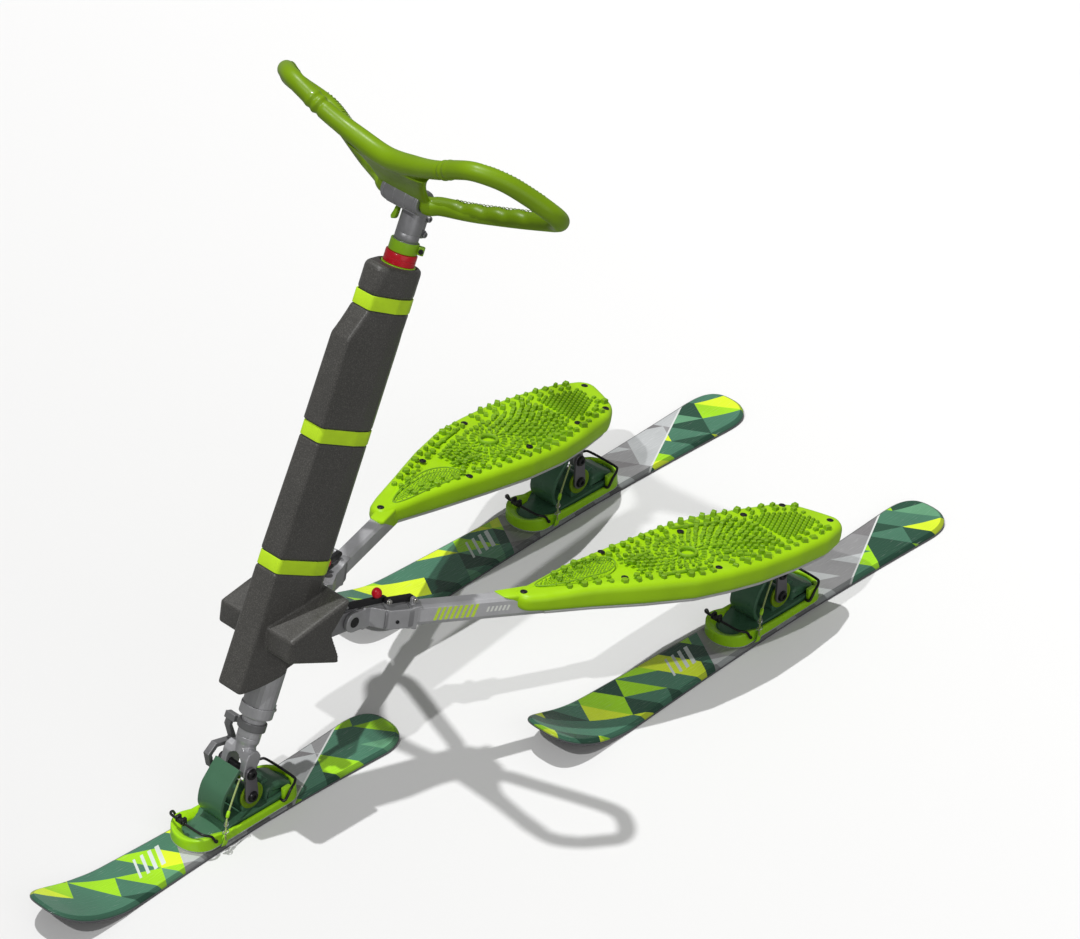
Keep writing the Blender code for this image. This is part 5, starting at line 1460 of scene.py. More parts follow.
    def ribs(self, path: Array) -> Patch:
        """Short ribs across the grips' upper inner side, one grid repeated along the path.

        Args:
            path: middle line of the loop.

        Returns:
            The ribs as one surface.
        """
        tangent = unit(np.roll(path, -1, 0) - np.roll(path, 1, 0))
        side = unit(np.cross(tangent, self.heading()))
        top = np.cross(side, tangent)
        across = np.abs(path[:, 0])
        rear = (across > self.rear_ribs[0]) & (across < self.rear_ribs[1]) & (path[:, 1] > self.centre[1])
        front = (across > 0.2) & (path[:, 1] < -0.06)
        chosen = np.nonzero(rear | front)[0][::2]
        start, end = self.rib_arc
        arc = np.linspace(start, end, 7)[:, None]
        ring = circle(1.0, 5)
        wave = np.sin((arc - start) / (end - start) * math.pi)
        lift = self.grip + 0.0001 + 0.0006 * wave + 0.0005 * ring[None, :, 0]
        flat = np.stack([lift * np.cos(arc), lift * np.sin(arc),
                         np.broadcast_to(0.0011 * ring[None, :, 1], lift.shape)], -1)
        basis = np.stack([side, top, tangent], 1)[chosen]
        return Patch(path[chosen][:, None, None, :] + np.einsum("rck,mkj->mrcj", flat, basis))


@dataclass
class Column(Assembly):
    """Leaning column: clamped stem, rings, bar clamp, lever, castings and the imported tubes."""

    steerer_top: float = 0.9155
    head_top: float = 0.9685
    steerer_radius: float = 0.02
    bore_radius: float = 0.0135
    tube_radius: float = 0.0169
    tube_low: float = 0.72
    ring_low: float = 0.8738
    cap_low: float = 0.8769
    cap_high: float = 0.8961
    cap_radius: float = 0.0261
    clamp_low: float = 0.8964
    clamp_tall: float = 0.0186
    clamp_turn: float = math.radians(52)
    lever_x: float = 0.0215
    lever_y: float = -0.014
    bar_y: float = -0.03
    bar_z: float = 0.99

    def build(self) -> None:
        """Build and dress every piece of the column."""
        self.make_stem()
        self.make_rings()
        self.make_stem_clamp()
        self.make_bar_clamp()
        self.make_lever()
        # the fork foot and the lower collar take the lighter foot grey, which is painted light
        for node, paint, voxel, body in (("fork_foot", "foot", 0.0011, "steering"),
                                         # the stop arm takes the dark grey, a copy of the cast grey darkened
                                         # as painted shade
                                         ("stop_arm", "dark", 0.001, "steering"),
                                         ("lower_collar", "foot", 0.0009, "frame")):
            self.wear(casting(node, voxel), paint, Slot.GREY, node, body=body)
        screw = bolt(0.0038, 0.003, 0.5, 24).moved(sideways(0.0071, 0.033, 0.102))
        self.add("collar_screw", [screw], "silver", Slot.BLACK)
        # the head tube and the steering tube take the lighter foot grey, which is painted light
        for node, paint, rounding in (("head_tube", "foot", 0.0008), ("crown", "cast", 0.0008),
                                      ("steering_tube", "foot", 0.0004), ("lower_bush", "brass", 0.0003),
                                      ("upper_bush", "brass", 0.0003)):
            dress(node, self.paints[paint], rounding)

    def make_stem(self) -> None:
        """Turn the stem's tube and head, and add its split, lug and two cap screws."""
        top, low, radius = self.head_top, self.steerer_top + GAP, self.steerer_radius
        profile = [(self.bore_radius, self.tube_low), (self.tube_radius, self.tube_low),
                   (self.tube_radius, low - 0.0002), (radius - 0.0006, low), (radius, low + 0.0008),
                   (radius, low + 0.012), (radius - 0.0005, low + 0.0126), (radius - 0.0005, low + 0.0135),
                   (radius, low + 0.0141), (radius - 0.0002, top - 0.006), (radius - 0.0012, top - 0.0015),
                   (radius - 0.0028, top), (self.bore_radius, top)]
        middle = (top + low) / 2
        lug = block((0.019, 0.014, 0.0415), (0, radius + 0.0015, middle), 0.0014, 0.004)
        head = self.shape("stem_head", [turned_ring(profile), lug], 40)
        slit = self.shape("slit_tool", [block((0.0016, 0.04, 0.0425), (0, radius, middle), 0.0001, 0.0002)])
        self.wear(carve(head, slit), "cast", Slot.GREY, "stem", body="stem")
        barrel = mm("6.3 -12.5, 6.8 -11.8, 6.8 10.2, 6.3 10.9")
        screws = []
        for height in (top - 0.013, low + 0.0135):
            y = radius + 0.0052
            far = Axes((-0.0102, y, height), (0, 1, 0), (0, 0, -1), (-1, 0, 0))
            screws += [turned(barrel, 32).moved(sideways(0, y, height)),
                       bolt(0.0052, 0.0045, 0.5).moved(sideways(0.0105, y, height)),
                       bolt(0.0048, 0.003, 0.0).moved(far)]
        self.add("stem_screws", screws, "cast", Slot.GREY, body="stem")

    def make_rings(self) -> None:
        """Seal ring, and the red cap with its groove."""
        seal = ring_of(0.0285, 0.0222, self.ring_low + 0.0003, self.ring_low + 0.0028, 0.0007, 64)
        self.add("seal_line", [seal], "binding", Slot.LIME, "seal_ring")
        low, high, radius = self.cap_low, self.cap_high, self.cap_radius
        wall = [(radius - 0.001, low), (radius, low + 0.0008), (radius, low + 0.0085),
                (radius - 0.0011, low + 0.009), (radius - 0.0011, low + 0.0098), (radius, low + 0.0103),
                (radius, high - 0.0016), (radius - 0.0005, high - 0.0005), (radius - 0.0016, high),
                (0.0204, high), (0.0204, low)]
        self.add("headset_ring", [turned_ring(wall)], "red", Slot.RED, "headset_cap")

    def make_stem_clamp(self) -> None:
        """Lime clamp ring with its lug, its split and the bolt's end."""
        low = self.clamp_low + GAP
        middle = low + self.clamp_tall / 2
        ring = ring_of(0.0236, 0.0201, low, low + self.clamp_tall, 0.0009, 64)
        away = (math.sin(self.clamp_turn), math.cos(self.clamp_turn), 0.0)
        beside = (away[1], -away[0], 0)
        lug_place = Axes((0, 0, middle), beside, away, (0, 0, 1))
        lug = block((0.013, 0.012, 0.0135), (0, 0.0275, 0), 0.0012, 0.0035).moved(lug_place)
        slit = block((0.0014, 0.02, 0.03), (0, 0.03, 0), 0.0001, 0.0002).moved(lug_place)
        piece = carve(self.shape("stem_clamp_ring", [ring, lug]), self.shape("ring_slit_tool", [slit]))
        self.wear(piece, "lime", Slot.LIME, "stem_clamp", body="steering")
        seat = np.array((0, 0, middle)) + np.array(away) * 0.0285 + np.array(beside) * 0.0065
        bolt_end = bolt(0.0042, 0.0032, 0.5).moved(Axes(tuple(seat), away, (0, 0, 1), beside))
        self.add("stem_clamp_bolt", [bolt_end], "black", Slot.BLACK, body="steering")

    def make_bar_clamp(self) -> None:
        """Grey clamp barrel across the bar, the stepped plates under it and their screws."""
        across = sideways(0, self.bar_y, self.bar_z)
        seat = self.head_top + GAP
        patches = [ring_of(0.0205, 0.0122, -0.0399, 0.0399, 0.0012, 56).moved(across),
                   block((0.066, 0.042, 0.0038), (0, -0.017, seat + 0.002), 0.0008, 0.004),
                   block((0.052, 0.036, 0.0036), (0, -0.019, seat + 0.0055), 0.0008, 0.004)]
        patches += [ring_of(0.0212, 0.0202, at - 0.0016, at + 0.0016, 0.0003, 56).moved(across)
                    for at in (-0.034, -0.012, 0.012, 0.034)]
        self.add("bar_clamp_body", patches, "cast", Slot.GREY, "bar_clamp", body="stem")
        heads = [bolt(0.0036, 0.003, 0.5, 24).moved(Axes((x, -0.004, seat + 0.0035)))
                 for x in (-0.0285, 0.0285)]
        self.add("bar_clamp_screws", heads, "black", Slot.BLACK, body="stem")

    def make_lever(self) -> None:
        """Cam lever: a plate with soft edges that hangs beside the stem head."""
        x, top, low = -self.lever_x, 0.965, 0.941
        outline = soft_curve([(x - 0.0032, top), (x + 0.0008, top), (x + 0.0012, top - 0.009),
                              (x + 0.0003, low + 0.004), (x - 0.0055, low), (x - 0.0085, low + 0.0045),
                              (x - 0.006, low + 0.013)], 6, True)
        face = Axes((0, self.lever_y, 0), (1, 0, 0), (0, 0, 1), (0, 1, 0))
        cam = plate(even_steps(outline, 48, True), -0.0042, 0.0048, 0.0012).moved(face)
        self.add("quick_lever_cam", [cam], "lime", Slot.LIME, "quick_lever", body="quick_lever")


@dataclass
class Pads(Assembly):
    """Foam round the head tube: the long faceted pad, the crown pad with its wings, and three straps."""

    side_half: float = 0.037
    side_front: float = 0.012
    side_back: float = 0.014
    back: float = 0.0372
    back_half: float = 0.0195
    top: float = 0.8762
    joint: float = 0.3665
    well: float = 0.0305
    fill: float = 0.9
    outline_points: int = 132
    strap_half: float = 0.01225
    strap_words: tuple = ("lower", "middle", "upper")
    strap_heights: tuple = (0.3665, 0.591, 0.8155)
    strap_fronts: tuple = (0.0855, 0.0822, 0.0595)
    strap_faces: tuple = (0.0235, 0.0215, 0.0195)
    strap_groove: float = 0.003
    soft_from: float = 0.81
    sharp_corner: float = 0.005
    soft_corner: float = 0.019

    def ring(self, front: float, narrow: float, face_half: float, corner: float) -> Array:
        """Pad outline in plan: a narrow face, two sides and a round back.

        Args:
            front: distance from the axis to the face.
            narrow: how far the outline is drawn in.
            face_half: half width of the face.
            corner: radius of the corners.

        Returns:
            The closed outline, in even steps.
        """
        half = self.side_half - narrow
        rear = self.back - narrow
        right = [(face_half - narrow * 0.5, -front + narrow), (half, -self.side_front),
                 (half, self.side_back), (self.back_half + 0.008, rear - 0.008),
                 (self.back_half - 0.006, rear)]
        return even_steps(round_corners(both_sides(right), corner, 5), self.outline_points, True)

    def rows(self, levels: Sequence) -> Array:
        """Stack outlines, each given as height, front, inset and face half width.

        Args:
            levels: height, front, inset and face half width of each outline.

        Returns:
            The stacked outlines.
        """
        made = []
        for height, front, narrow, face in levels:
            corner = self.sharp_corner if height < self.soft_from else self.soft_corner
            made.append(self.level(self.ring(front, narrow, face, corner), height))
        return np.stack(made)

    def level(self, outline: Array, height: float) -> Array:
        """Give an outline its height."""
        return np.column_stack([outline, np.full(self.outline_points, height)])

    def build(self) -> None:
        """Build both pads and the straps."""
        self.make_column_pad()
        self.make_crown_pad()
        for strap in zip(self.strap_words, self.strap_heights, self.strap_fronts, self.strap_faces):
            self.make_strap(*strap)

    def column_levels(self) -> list:
        """Rows of the long pad from the joint to its top, with rolled edges beside each strap groove.

        Returns:
            Height, front, inset and face half width of each outline.
        """
        lower, middle, upper = self.strap_heights
        low_face, mid_face, top_face = self.strap_faces
        half = self.strap_half + 0.0014
        groove = self.strap_groove
        roll = mm("0 2.6, 0.6 1.2, 2 0.3, 4.2 0")

        def rising(start: float, front: float, face: float) -> list:
            """Rolled edge above a groove."""
            return [(start + at, front, narrow, face) for at, narrow in roll]

        def falling(start: float, front: float, face: float, edge: Sequence) -> list:
            """Rolled edge below a groove."""
            return [(start - at, front, narrow, face) for at, narrow in edge]

        def bottom(strap: float, front: float, face: float) -> list:
            """Floor of the groove under a strap."""
            inner = half - 0.0008
            return [(strap - inner, front, groove, face), (strap + inner, front, groove, face)]

        rows = [(self.joint + 0.0004, 0.0855, groove + 0.001, low_face), bottom(lower, 0.0855, low_face)[1]]
        rows += rising(lower + half, 0.086, low_face)
        rows += [(middle - half - 0.0042, 0.081, 0, mid_face)]
        rows += falling(middle - half, 0.0812, mid_face, roll[2::-1])
        rows += bottom(middle, 0.0822, mid_face)
        rows += rising(middle + half, 0.0845, mid_face)
        rows += [(0.7465, 0.0845, 0, top_face), (0.7505, 0.0842, 0, top_face), (0.7545, 0.0831, 0, top_face),
                 (upper - half - 0.0045, 0.0608, 0, top_face)]
        rows += falling(upper - half, 0.0602, top_face, mm("2 0.4, 0.6 1.3, 0 2.6"))
        rows += bottom(upper, 0.0595, top_face)
        rows += rising(upper + half, 0.0604, top_face)
        return rows + falling(self.top, 0.0606, top_face, mm("9.5 0, 6 0.6, 3 2.2, 1.2 4.2, 0.2 7.2"))

    def make_column_pad(self) -> None:
        """Long pad: its outline rows, drawn in on top to a round well for the rings."""
        rows = self.rows(self.column_levels())
        rim = rows[-1][:, :2]
        angle = np.arctan2(rim[:, 1], rim[:, 0])
        well = self.well * np.stack([np.cos(angle), np.sin(angle)], -1)
        lips = [self.level(well + (rim - well) * share, self.top - drop)
                for share, drop in ((0.35, 0), (0, 0.0012), (0, 0.0055))]
        lips.insert(1, self.level(well * 1.01, self.top - 0.0003))
        piece = self.shape("column_foam", [Patch(np.concatenate([rows, np.stack(lips)]))], 30)
        slit = self.shape("pad_slit_tool", [block((0.0016, 0.05, 0.6), (0, 0.055, 0.62), 0.0001, 0.0002)])
        self.wear(carve(piece, slit), "foam", Slot.FOAM, "column_pad")
        shade(piece, 32)

    def make_crown_pad(self) -> None:
        """Lower pad with its slanted lower edge, fused with the two arrow-shaped wings."""
        groove_low = self.strap_heights[0] - self.strap_half - 0.0014
        levels = [*mm("141.2 82.2 6 23.5, 141.8 84.5 3 24.5, 143.5 85.8 0.8 25, 147 86.2 0 25"),
                  (groove_low - 0.004, 0.086, 0, 0.0237), (groove_low - 0.0006, 0.0858, 0.001, 0.0236),
                  (groove_low, 0.0855, 0.0026, 0.0235),
                  (groove_low + 0.0008, 0.0855, self.strap_groove, 0.0235),
                  (self.joint - 0.0002, 0.0855, self.strap_groove, 0.0235)]
        rows = self.rows(levels)
        ahead = np.clip((rows[:4, :, 1] + 0.086) / 0.125, 0, 1)
        rows[:4, :, 2] += 0.068 * ahead ** 1.4
        body = self.shape("crown_foam", [Patch(rows)], 60)
        arrow = mm("-457.5 365.5, -400 375.2, -322.8 386.2, -373.5 338.5, -355.5 271, -464.5 326.8")
        wing = plate(even_steps(round_corners(arrow, 0.0045, 5), 120, True), -0.085, 0.085, 0.006, 5)
        remeshed(body, 0.0018, 3, self.shape("wing_foam", [wing], 60, axes=SIDE_VIEW))
        carve(body, *self.crown_spaces())
        shade(body, 40)
        self.wear(body, "foam", Slot.FOAM, "crown_pad")

    def crown_spaces(self) -> list:
        """Tools for the tube's bore at the lower end and for the arms' pockets behind the wings.

        Returns:
            The tools to cut away.
        """
        tools = [self.shape("bore_tool", [turned([(0.0279, 0.1), (0.0279, 0.26)], 48)])]
        pocket = mm("-425 360, -400 366.5, -300 377.5, -300 200, -430 200, -430 340")
        walls = even_steps(round_corners(pocket, 0.003, 3), 60, True)
        for side in Side:
            span = sorted((side.value * 0.0285, side.value * 0.07))
            tools.append(self.shape(f"pocket_tool_{side.word}", [plate(walls, *span, 0.001)], axes=SIDE_VIEW))
        return tools

    def make_strap(self, word: str, height: float, front: float, face: float) -> None:
        """Strap: the pad's outline with a thin lens section, seamed at the back.

        Args:
            word: which strap it is.
            height: its middle on the column.
            front: the pad's depth in front there.
            face: half width of the pad's face there.
        """
        outline = self.ring(front, self.strap_groove - 0.0002, face, self.sharp_corner)
        normals = outline_normals(outline)
        section = round_corners(mm("-2.4 -12, -2.4 12, 0 12, 0 -12"), 0.0008, 4)
        rows = np.concatenate([
            (outline[:, None, :] + normals[:, None, :] * section[None, :, :1]),
            np.broadcast_to(height + section[None, :, 1:], (len(outline), len(section), 1))], -1)
        local = np.broadcast_arrays(run_of(outline)[:, None], section[None, :, 1], section[None, :, 0])
        self.add(f"pad_band_{word}", [Patch(rows, loop=True)], "webbing", Slot.STRAP, f"pad_strap_{word}",
                 smooth=40, local=np.stack(local, -1).reshape(-1, 3))


@dataclass
class ArmLine:
    """Middle line of one arm in the arm plane: splayed to a bend, then nearly straight back."""

    root: float = 0.045
    bend: float = 0.37
    spread: float = 0.045
    start: float = 0.0753
    end: float = 0.845
    hinge: float = 0.3
    deck_pivot: float = 0.496

    def across(self, v: Array) -> Array:
        """Sideways place at distances down the arm, rounded at the bend by averaging.

        Args:
            v: distances down the arm.

        Returns:
            Distance from the middle plane at each of them.
        """
        cosine = math.cos(ARM_SLOPE)
        knee = self.root + ARM_SPLAY * self.bend * cosine
        pivot_v = (self.deck_pivot + self.hinge) / cosine
        shifts = self.spread * np.linspace(-1, 1, 9)[:, None]
        at = np.asarray(v)[None, :] + shifts
        first = self.root + ARM_SPLAY * at * cosine
        second = knee + (HALF_TRACK - knee) * (at - self.bend) / (pivot_v - self.bend)
        return np.where(at <= self.bend, first, second).mean(0)

    def path(self, start: float, end: float, steps: int) -> Array:
        """Points of the middle line between two distances."""
        v = np.linspace(start, end, steps)
        return np.column_stack([self.across(v), v, np.zeros(steps)])


@dataclass
class SidePart(Assembly):
    """Sub-assembly of one side: drawn for the left in the arm plane, mirrored for the right."""

    side: Side
    axes: ClassVar[Optional[Axes]] = ARM

    @property
    def ending(self) -> str:
        """End of each piece's name."""
        return f"_{self.side.word}"

    @property
    def body(self) -> str:
        """Body that most of the pieces ride on."""
        return f"arm_{self.side.word}"


@dataclass
class Arm(SidePart):
    """One folding arm: bent tube with its pan and stripes, knuckle, latch and rear foot."""

    line: ArmLine = field(default_factory=ArmLine)
    tube_width: float = 0.028
    tube_height: float = 0.038
    block_half: float = 0.008
    lug_thick: float = 0.0075
    front_pin: tuple = (-0.308, 0.3405)
    middle_pin: tuple = (-0.2385, 0.3285)
    rear_pin: tuple = (-0.199, 0.3215)
    middle_x: float = 0.068
    rear_x: float = 0.0845
    link_width: float = 0.008
    link_radius: float = 0.0055
    knob_ribs: int = 16
    stripe_lean: float = 0.3
    stripe_rise: float = 0.0021

    def build(self) -> None:
        """Build and dress every piece of the arm."""
        self.make_tube()
        self.make_stripes()
        knuckle, pivot, foot = (part + self.ending for part in ("arm_knuckle", "pivot_block", "rear_foot"))
        # the knuckle takes the lighter foot grey, which is painted light
        self.wear(self.waisted(casting(knuckle, 0.001, 12)), "foot", Slot.GREY, knuckle)
        self.wear(casting(pivot, 0.0009, 2), "cast", Slot.GREY, pivot, body=pivot)
        self.wear(casting(foot, 0.001, 2), "cast", Slot.GREY, foot)
        self.make_collar()
        self.make_fold_pin()
        self.make_links()
        self.make_ball()
        self.make_pin_ends()

    def waisted(self, knuckle: Piece) -> Piece:
        """End the knuckle's sleeve at the latch lug and draw it in between there and the pin.

        Args:
            knuckle: the cast knuckle.

        Returns:
            The same object, its height over the arm plane cut down by a smooth bell along the sleeve.
        """
        after = block((0.09, 0.05, 0.044), (0.07, 0.1235, -0.0035), 0.0002, 0.0004)
        carve(knuckle, self.shape("sleeve_tool", [after]))
        flat = np.empty(len(knuckle.data.vertices) * 3, np.float32)
        knuckle.data.vertices.foreach_get("co", flat)
        basis = np.array([ARM.x, ARM.y, ARM.z], float)
        local = (flat.reshape(-1, 3) - np.array(ARM.origin)) @ basis.T
        wave = eased((local[:, 1] - 0.018) / 0.018) * eased((0.097 - local[:, 1]) / 0.012)
        below_lug = local[:, 2] < 0.0218
        local[:, 2] -= np.where(below_lug, 0.16 * local[:, 2] * wave, 0)
        placed = (local @ basis + np.array(ARM.origin)).astype(np.float32)
        knuckle.data.vertices.foreach_set("co", placed.ravel())
        knuckle.data.update()
        return knuckle

    def make_tube(self) -> None:
        """Carry a rounded rectangle along the arm, and lay the deck's pan under its end."""
        wide, tall = self.tube_width / 2, self.tube_height / 2
        right = [(wide - 0.0045, tall), (wide, tall - 0.0045), (wide, 0.0085 - tall), (wide - 0.0058, -tall)]
        path = self.line.path(self.line.start + 0.0205, self.line.end, 80)
        bent = Patch(sweep(path, round_corners(both_sides(right), 0.0016, 4), (0, 0, 1)))
        outline = Deck.outline()
        pan = outline + outline_normals(outline) * 0.0078
        pan[:, 1] = np.clip(pan[:, 1], 0.302, None)
        self.add("arm_tube", [bent, plate(pan, -0.0105, -0.0045, 0.0022)], "tube", Slot.TUBE,
                 f"arm_frame{self.ending}", smooth=40)

    def make_stripes(self) -> None:
        """Slanted bars along the tube's outer side, in two groups: one thin bar repeated."""
        bars = [(0.139 + 0.0088 * i, 0.0056, 0.0235) for i in range(8)]
        bars += [(0.222 + 0.0066 * i, 0.0036, 0.0095) for i in range(6)]
        v, *size = np.array(bars).T
        none = np.zeros(len(v))
        at = np.column_stack([self.line.across(v), v, none])
        step = 0.001
        tangent = unit(np.column_stack([self.line.across(v + step) - self.line.across(v - step),
                                        np.full(len(v), 2 * step), none]))
        normal = np.column_stack([tangent[:, 1], -tangent[:, 0], none])
        corners = round_corners(rectangle(1, 1), 0.2, 3) / 2
        flat = corners[None] * np.stack(size, -1)[:, None, :]
        flat[..., 0] += self.stripe_lean * flat[..., 1]
        base = at + normal * (self.tube_width / 2)
        edge = base[:, None, :] + flat[..., :1] * tangent[:, None, :] + flat[..., 1:] * np.array([0, 0, 1.0])
        edge = edge + np.array([0, 0, self.stripe_rise])
        rows = [edge + normal[:, None, :] * out for out in (-0.0003, 0.00018)]
        self.add("arm_stripes", [Patch(np.stack(rows, 1))], "stripes", Slot.STRAP)

    def make_collar(self) -> None:
        """Ring collar, seam band and set screw on the knuckle's sleeve."""
        section = round_corners(rectangle(0.0372 / 2, 0.0436 / 2), 0.0105, 6)
        rings = section[None] * np.array([0.985, 1.0, 0.985])[:, None, None]
        collar = Patch(sweep(self.line.path(0.0915, 0.0995, 3), rings, (0, 0, 1)))
        band = Patch(sweep(self.line.path(0.0535, 0.0565, 3), rings * np.array([0.992, 0.838]), (0, 0, 1)))
        self.add("knuckle_collar", [collar, band], "cast", Slot.GREY, smooth=40)
        v = 0.0735
        normal = unit(np.array([1.0, -ARM_SPLAY, 0.0]))
        seat = np.array([float(self.line.across(np.array([v]))[0]), v, -0.004]) + normal * 0.018
        screw = bolt(0.0032, 0.0016, 0.5, 24).moved(facing(seat, normal))
        self.add("knuckle_screw", [screw], "black", Slot.BLACK)

    def make_fold_pin(self) -> None:
        """Fold pin with a ribbed lime knob: the knob's radius follows a cosine round its axis."""
        reach = self.block_half + GAP + self.lug_thick
        inner, outer, face = self.line.root - reach, self.line.root + reach, 0.0608
        # the pin is a real part; its black head at the ear's face is also painted shade, filling the bore so
        # that it shows dark
        pin = turned([(0.0075, inner - 0.001), (0.0075, outer - 0.0025), (0.0072, face - 0.0012),
                      (0.0092, face - 0.0008), (0.0092, face + 0.0003), (0.0086, face + 0.0008),
                      (0.0058, face + 0.0008), (0.0052, face + 0.0002)], 40)
        profile = np.array([(0.0095, inner - 0.0183), (0.0118, inner - 0.0168), (0.0125, inner - 0.015),
                            (0.0125, inner - 0.004), (0.0118, inner - 0.0018), (0.0095, inner - 0.0004)])
        angle = turns(96)[None, :]
        wave = 0.5 + 0.5 * np.cos(angle * self.knob_ribs)
        radius = profile[:, :1] * (1 - 0.055 * wave * np.array([0, 0.7, 1, 1, 0.7, 0])[:, None])
        knob = Patch(np.stack([radius * np.cos(angle), radius * np.sin(angle),
                               np.broadcast_to(profile[:, 1:], radius.shape)], -1))
        axis = sideways(0, -0.3, 0.311)
        self.add("fold_shaft", [pin.moved(axis)], "black", Slot.BLACK, axes=None)
        self.add("fold_knob", [knob.moved(axis)], "lime", Slot.LIME, f"fold_pin{self.ending}", axes=None)

    def skewed(self, first: Sequence, second: Sequence) -> Patch:
        """Flat link in side view whose middle steps sideways from one end to the other.

        Args:
            first: sideways place of the first end, and its place in side view.
            second: the same of the second end.

        Returns:
            The link's surface.
        """
        low, high = np.array(first[1:]), np.array(second[1:])
        half = self.link_width / 2
        outline = even_steps(link_outline(low, self.link_radius, high, self.link_radius), 60, True)
        back, up, out = np.moveaxis(plate(outline, -half, half, 0.0009).points, -1, 0)
        share = np.clip((back - low[0]) / (high[0] - low[0]), 0, 1)
        return Patch(np.stack([out + first[0] + (second[0] - first[0]) * share, back, up], -1))

    def make_links(self) -> None:
        """Two latch links, one on each side of the middle pin."""
        start = self.line.root - self.block_half + 0.0065 + GAP + self.link_width / 2
        step = self.link_width / 2 + GAP
        ends = {"front": ((start, *self.front_pin), (self.middle_x - step, *self.middle_pin)),
                "rear": ((self.middle_x + step, *self.middle_pin), (self.rear_x, *self.rear_pin))}
        for word, (first, second) in ends.items():
            node = f"latch_link_{word}{self.ending}"
            made = build(f"{node}_bar", [self.skewed(first, second).mirrored(self.side)])
            self.wear(made, "black", Slot.BLACK, node, body=f"latch_{word}{self.ending}")

    def make_ball(self) -> None:
        """Red egg-shaped ball on its bright stem, on the front link."""
        body = f"latch_front{self.ending}"
        foot = np.array([self.middle_x - 0.008, self.middle_pin[0] - 0.01, self.middle_pin[1]])
        angle = np.linspace(0.02, math.pi - 0.02, 22)
        egg = [(0.0087 * math.sin(a) * (1 + 0.12 * math.cos(a)), -0.0093 * math.cos(a)) for a in angle]
        ball = turned(egg, 40).moved(Axes(tuple(foot + np.array([0, -0.001, 0.0155]))))
        self.add("latch_ball", [ball], "red", Slot.RED, body=body, axes=None, smooth=80)
        path = foot + np.array([[0, 0, 0.004], [0, -0.0005, 0.01], [0, -0.001, 0.013]])
        stem = tube(path, 0.0022, (1, 0, 0), 16)
        self.add("latch_stem", [stem], "silver", Slot.BLACK, body=body, axes=None)

    def make_pin_ends(self) -> None:
        """Cap screw heads on the three latch pins, the middle one with a washer."""
        middle = facing((self.middle_x + self.link_width + GAP, *self.middle_pin), (1, 0, 0))
        washer = ring_of(0.0052, 0.002, -0.0002, 0.001, 0.0003, 32).moved(middle)
        rear = facing((self.rear_x + self.link_width / 2 + GAP + 0.0065, *self.rear_pin), (1, 0, 0))
        front = facing((self.line.root - self.block_half, *self.front_pin), (-1, 0, 0))
        for name, place, radius, height, more, body in (
                ("latch_pin", middle, 0.0046, 0.0042, [washer], f"latch_rear{self.ending}"),
                ("latch_rear_end", rear, 0.0046, 0.0036, [], self.body),
                ("latch_front_end", front, 0.0042, 0.003, [], f"pivot_block{self.ending}")):
            head = bolt(radius, height, 0.45, 24).moved(place)
            self.add(name, [head, *more], "silver", Slot.BLACK, body=body, axes=None)


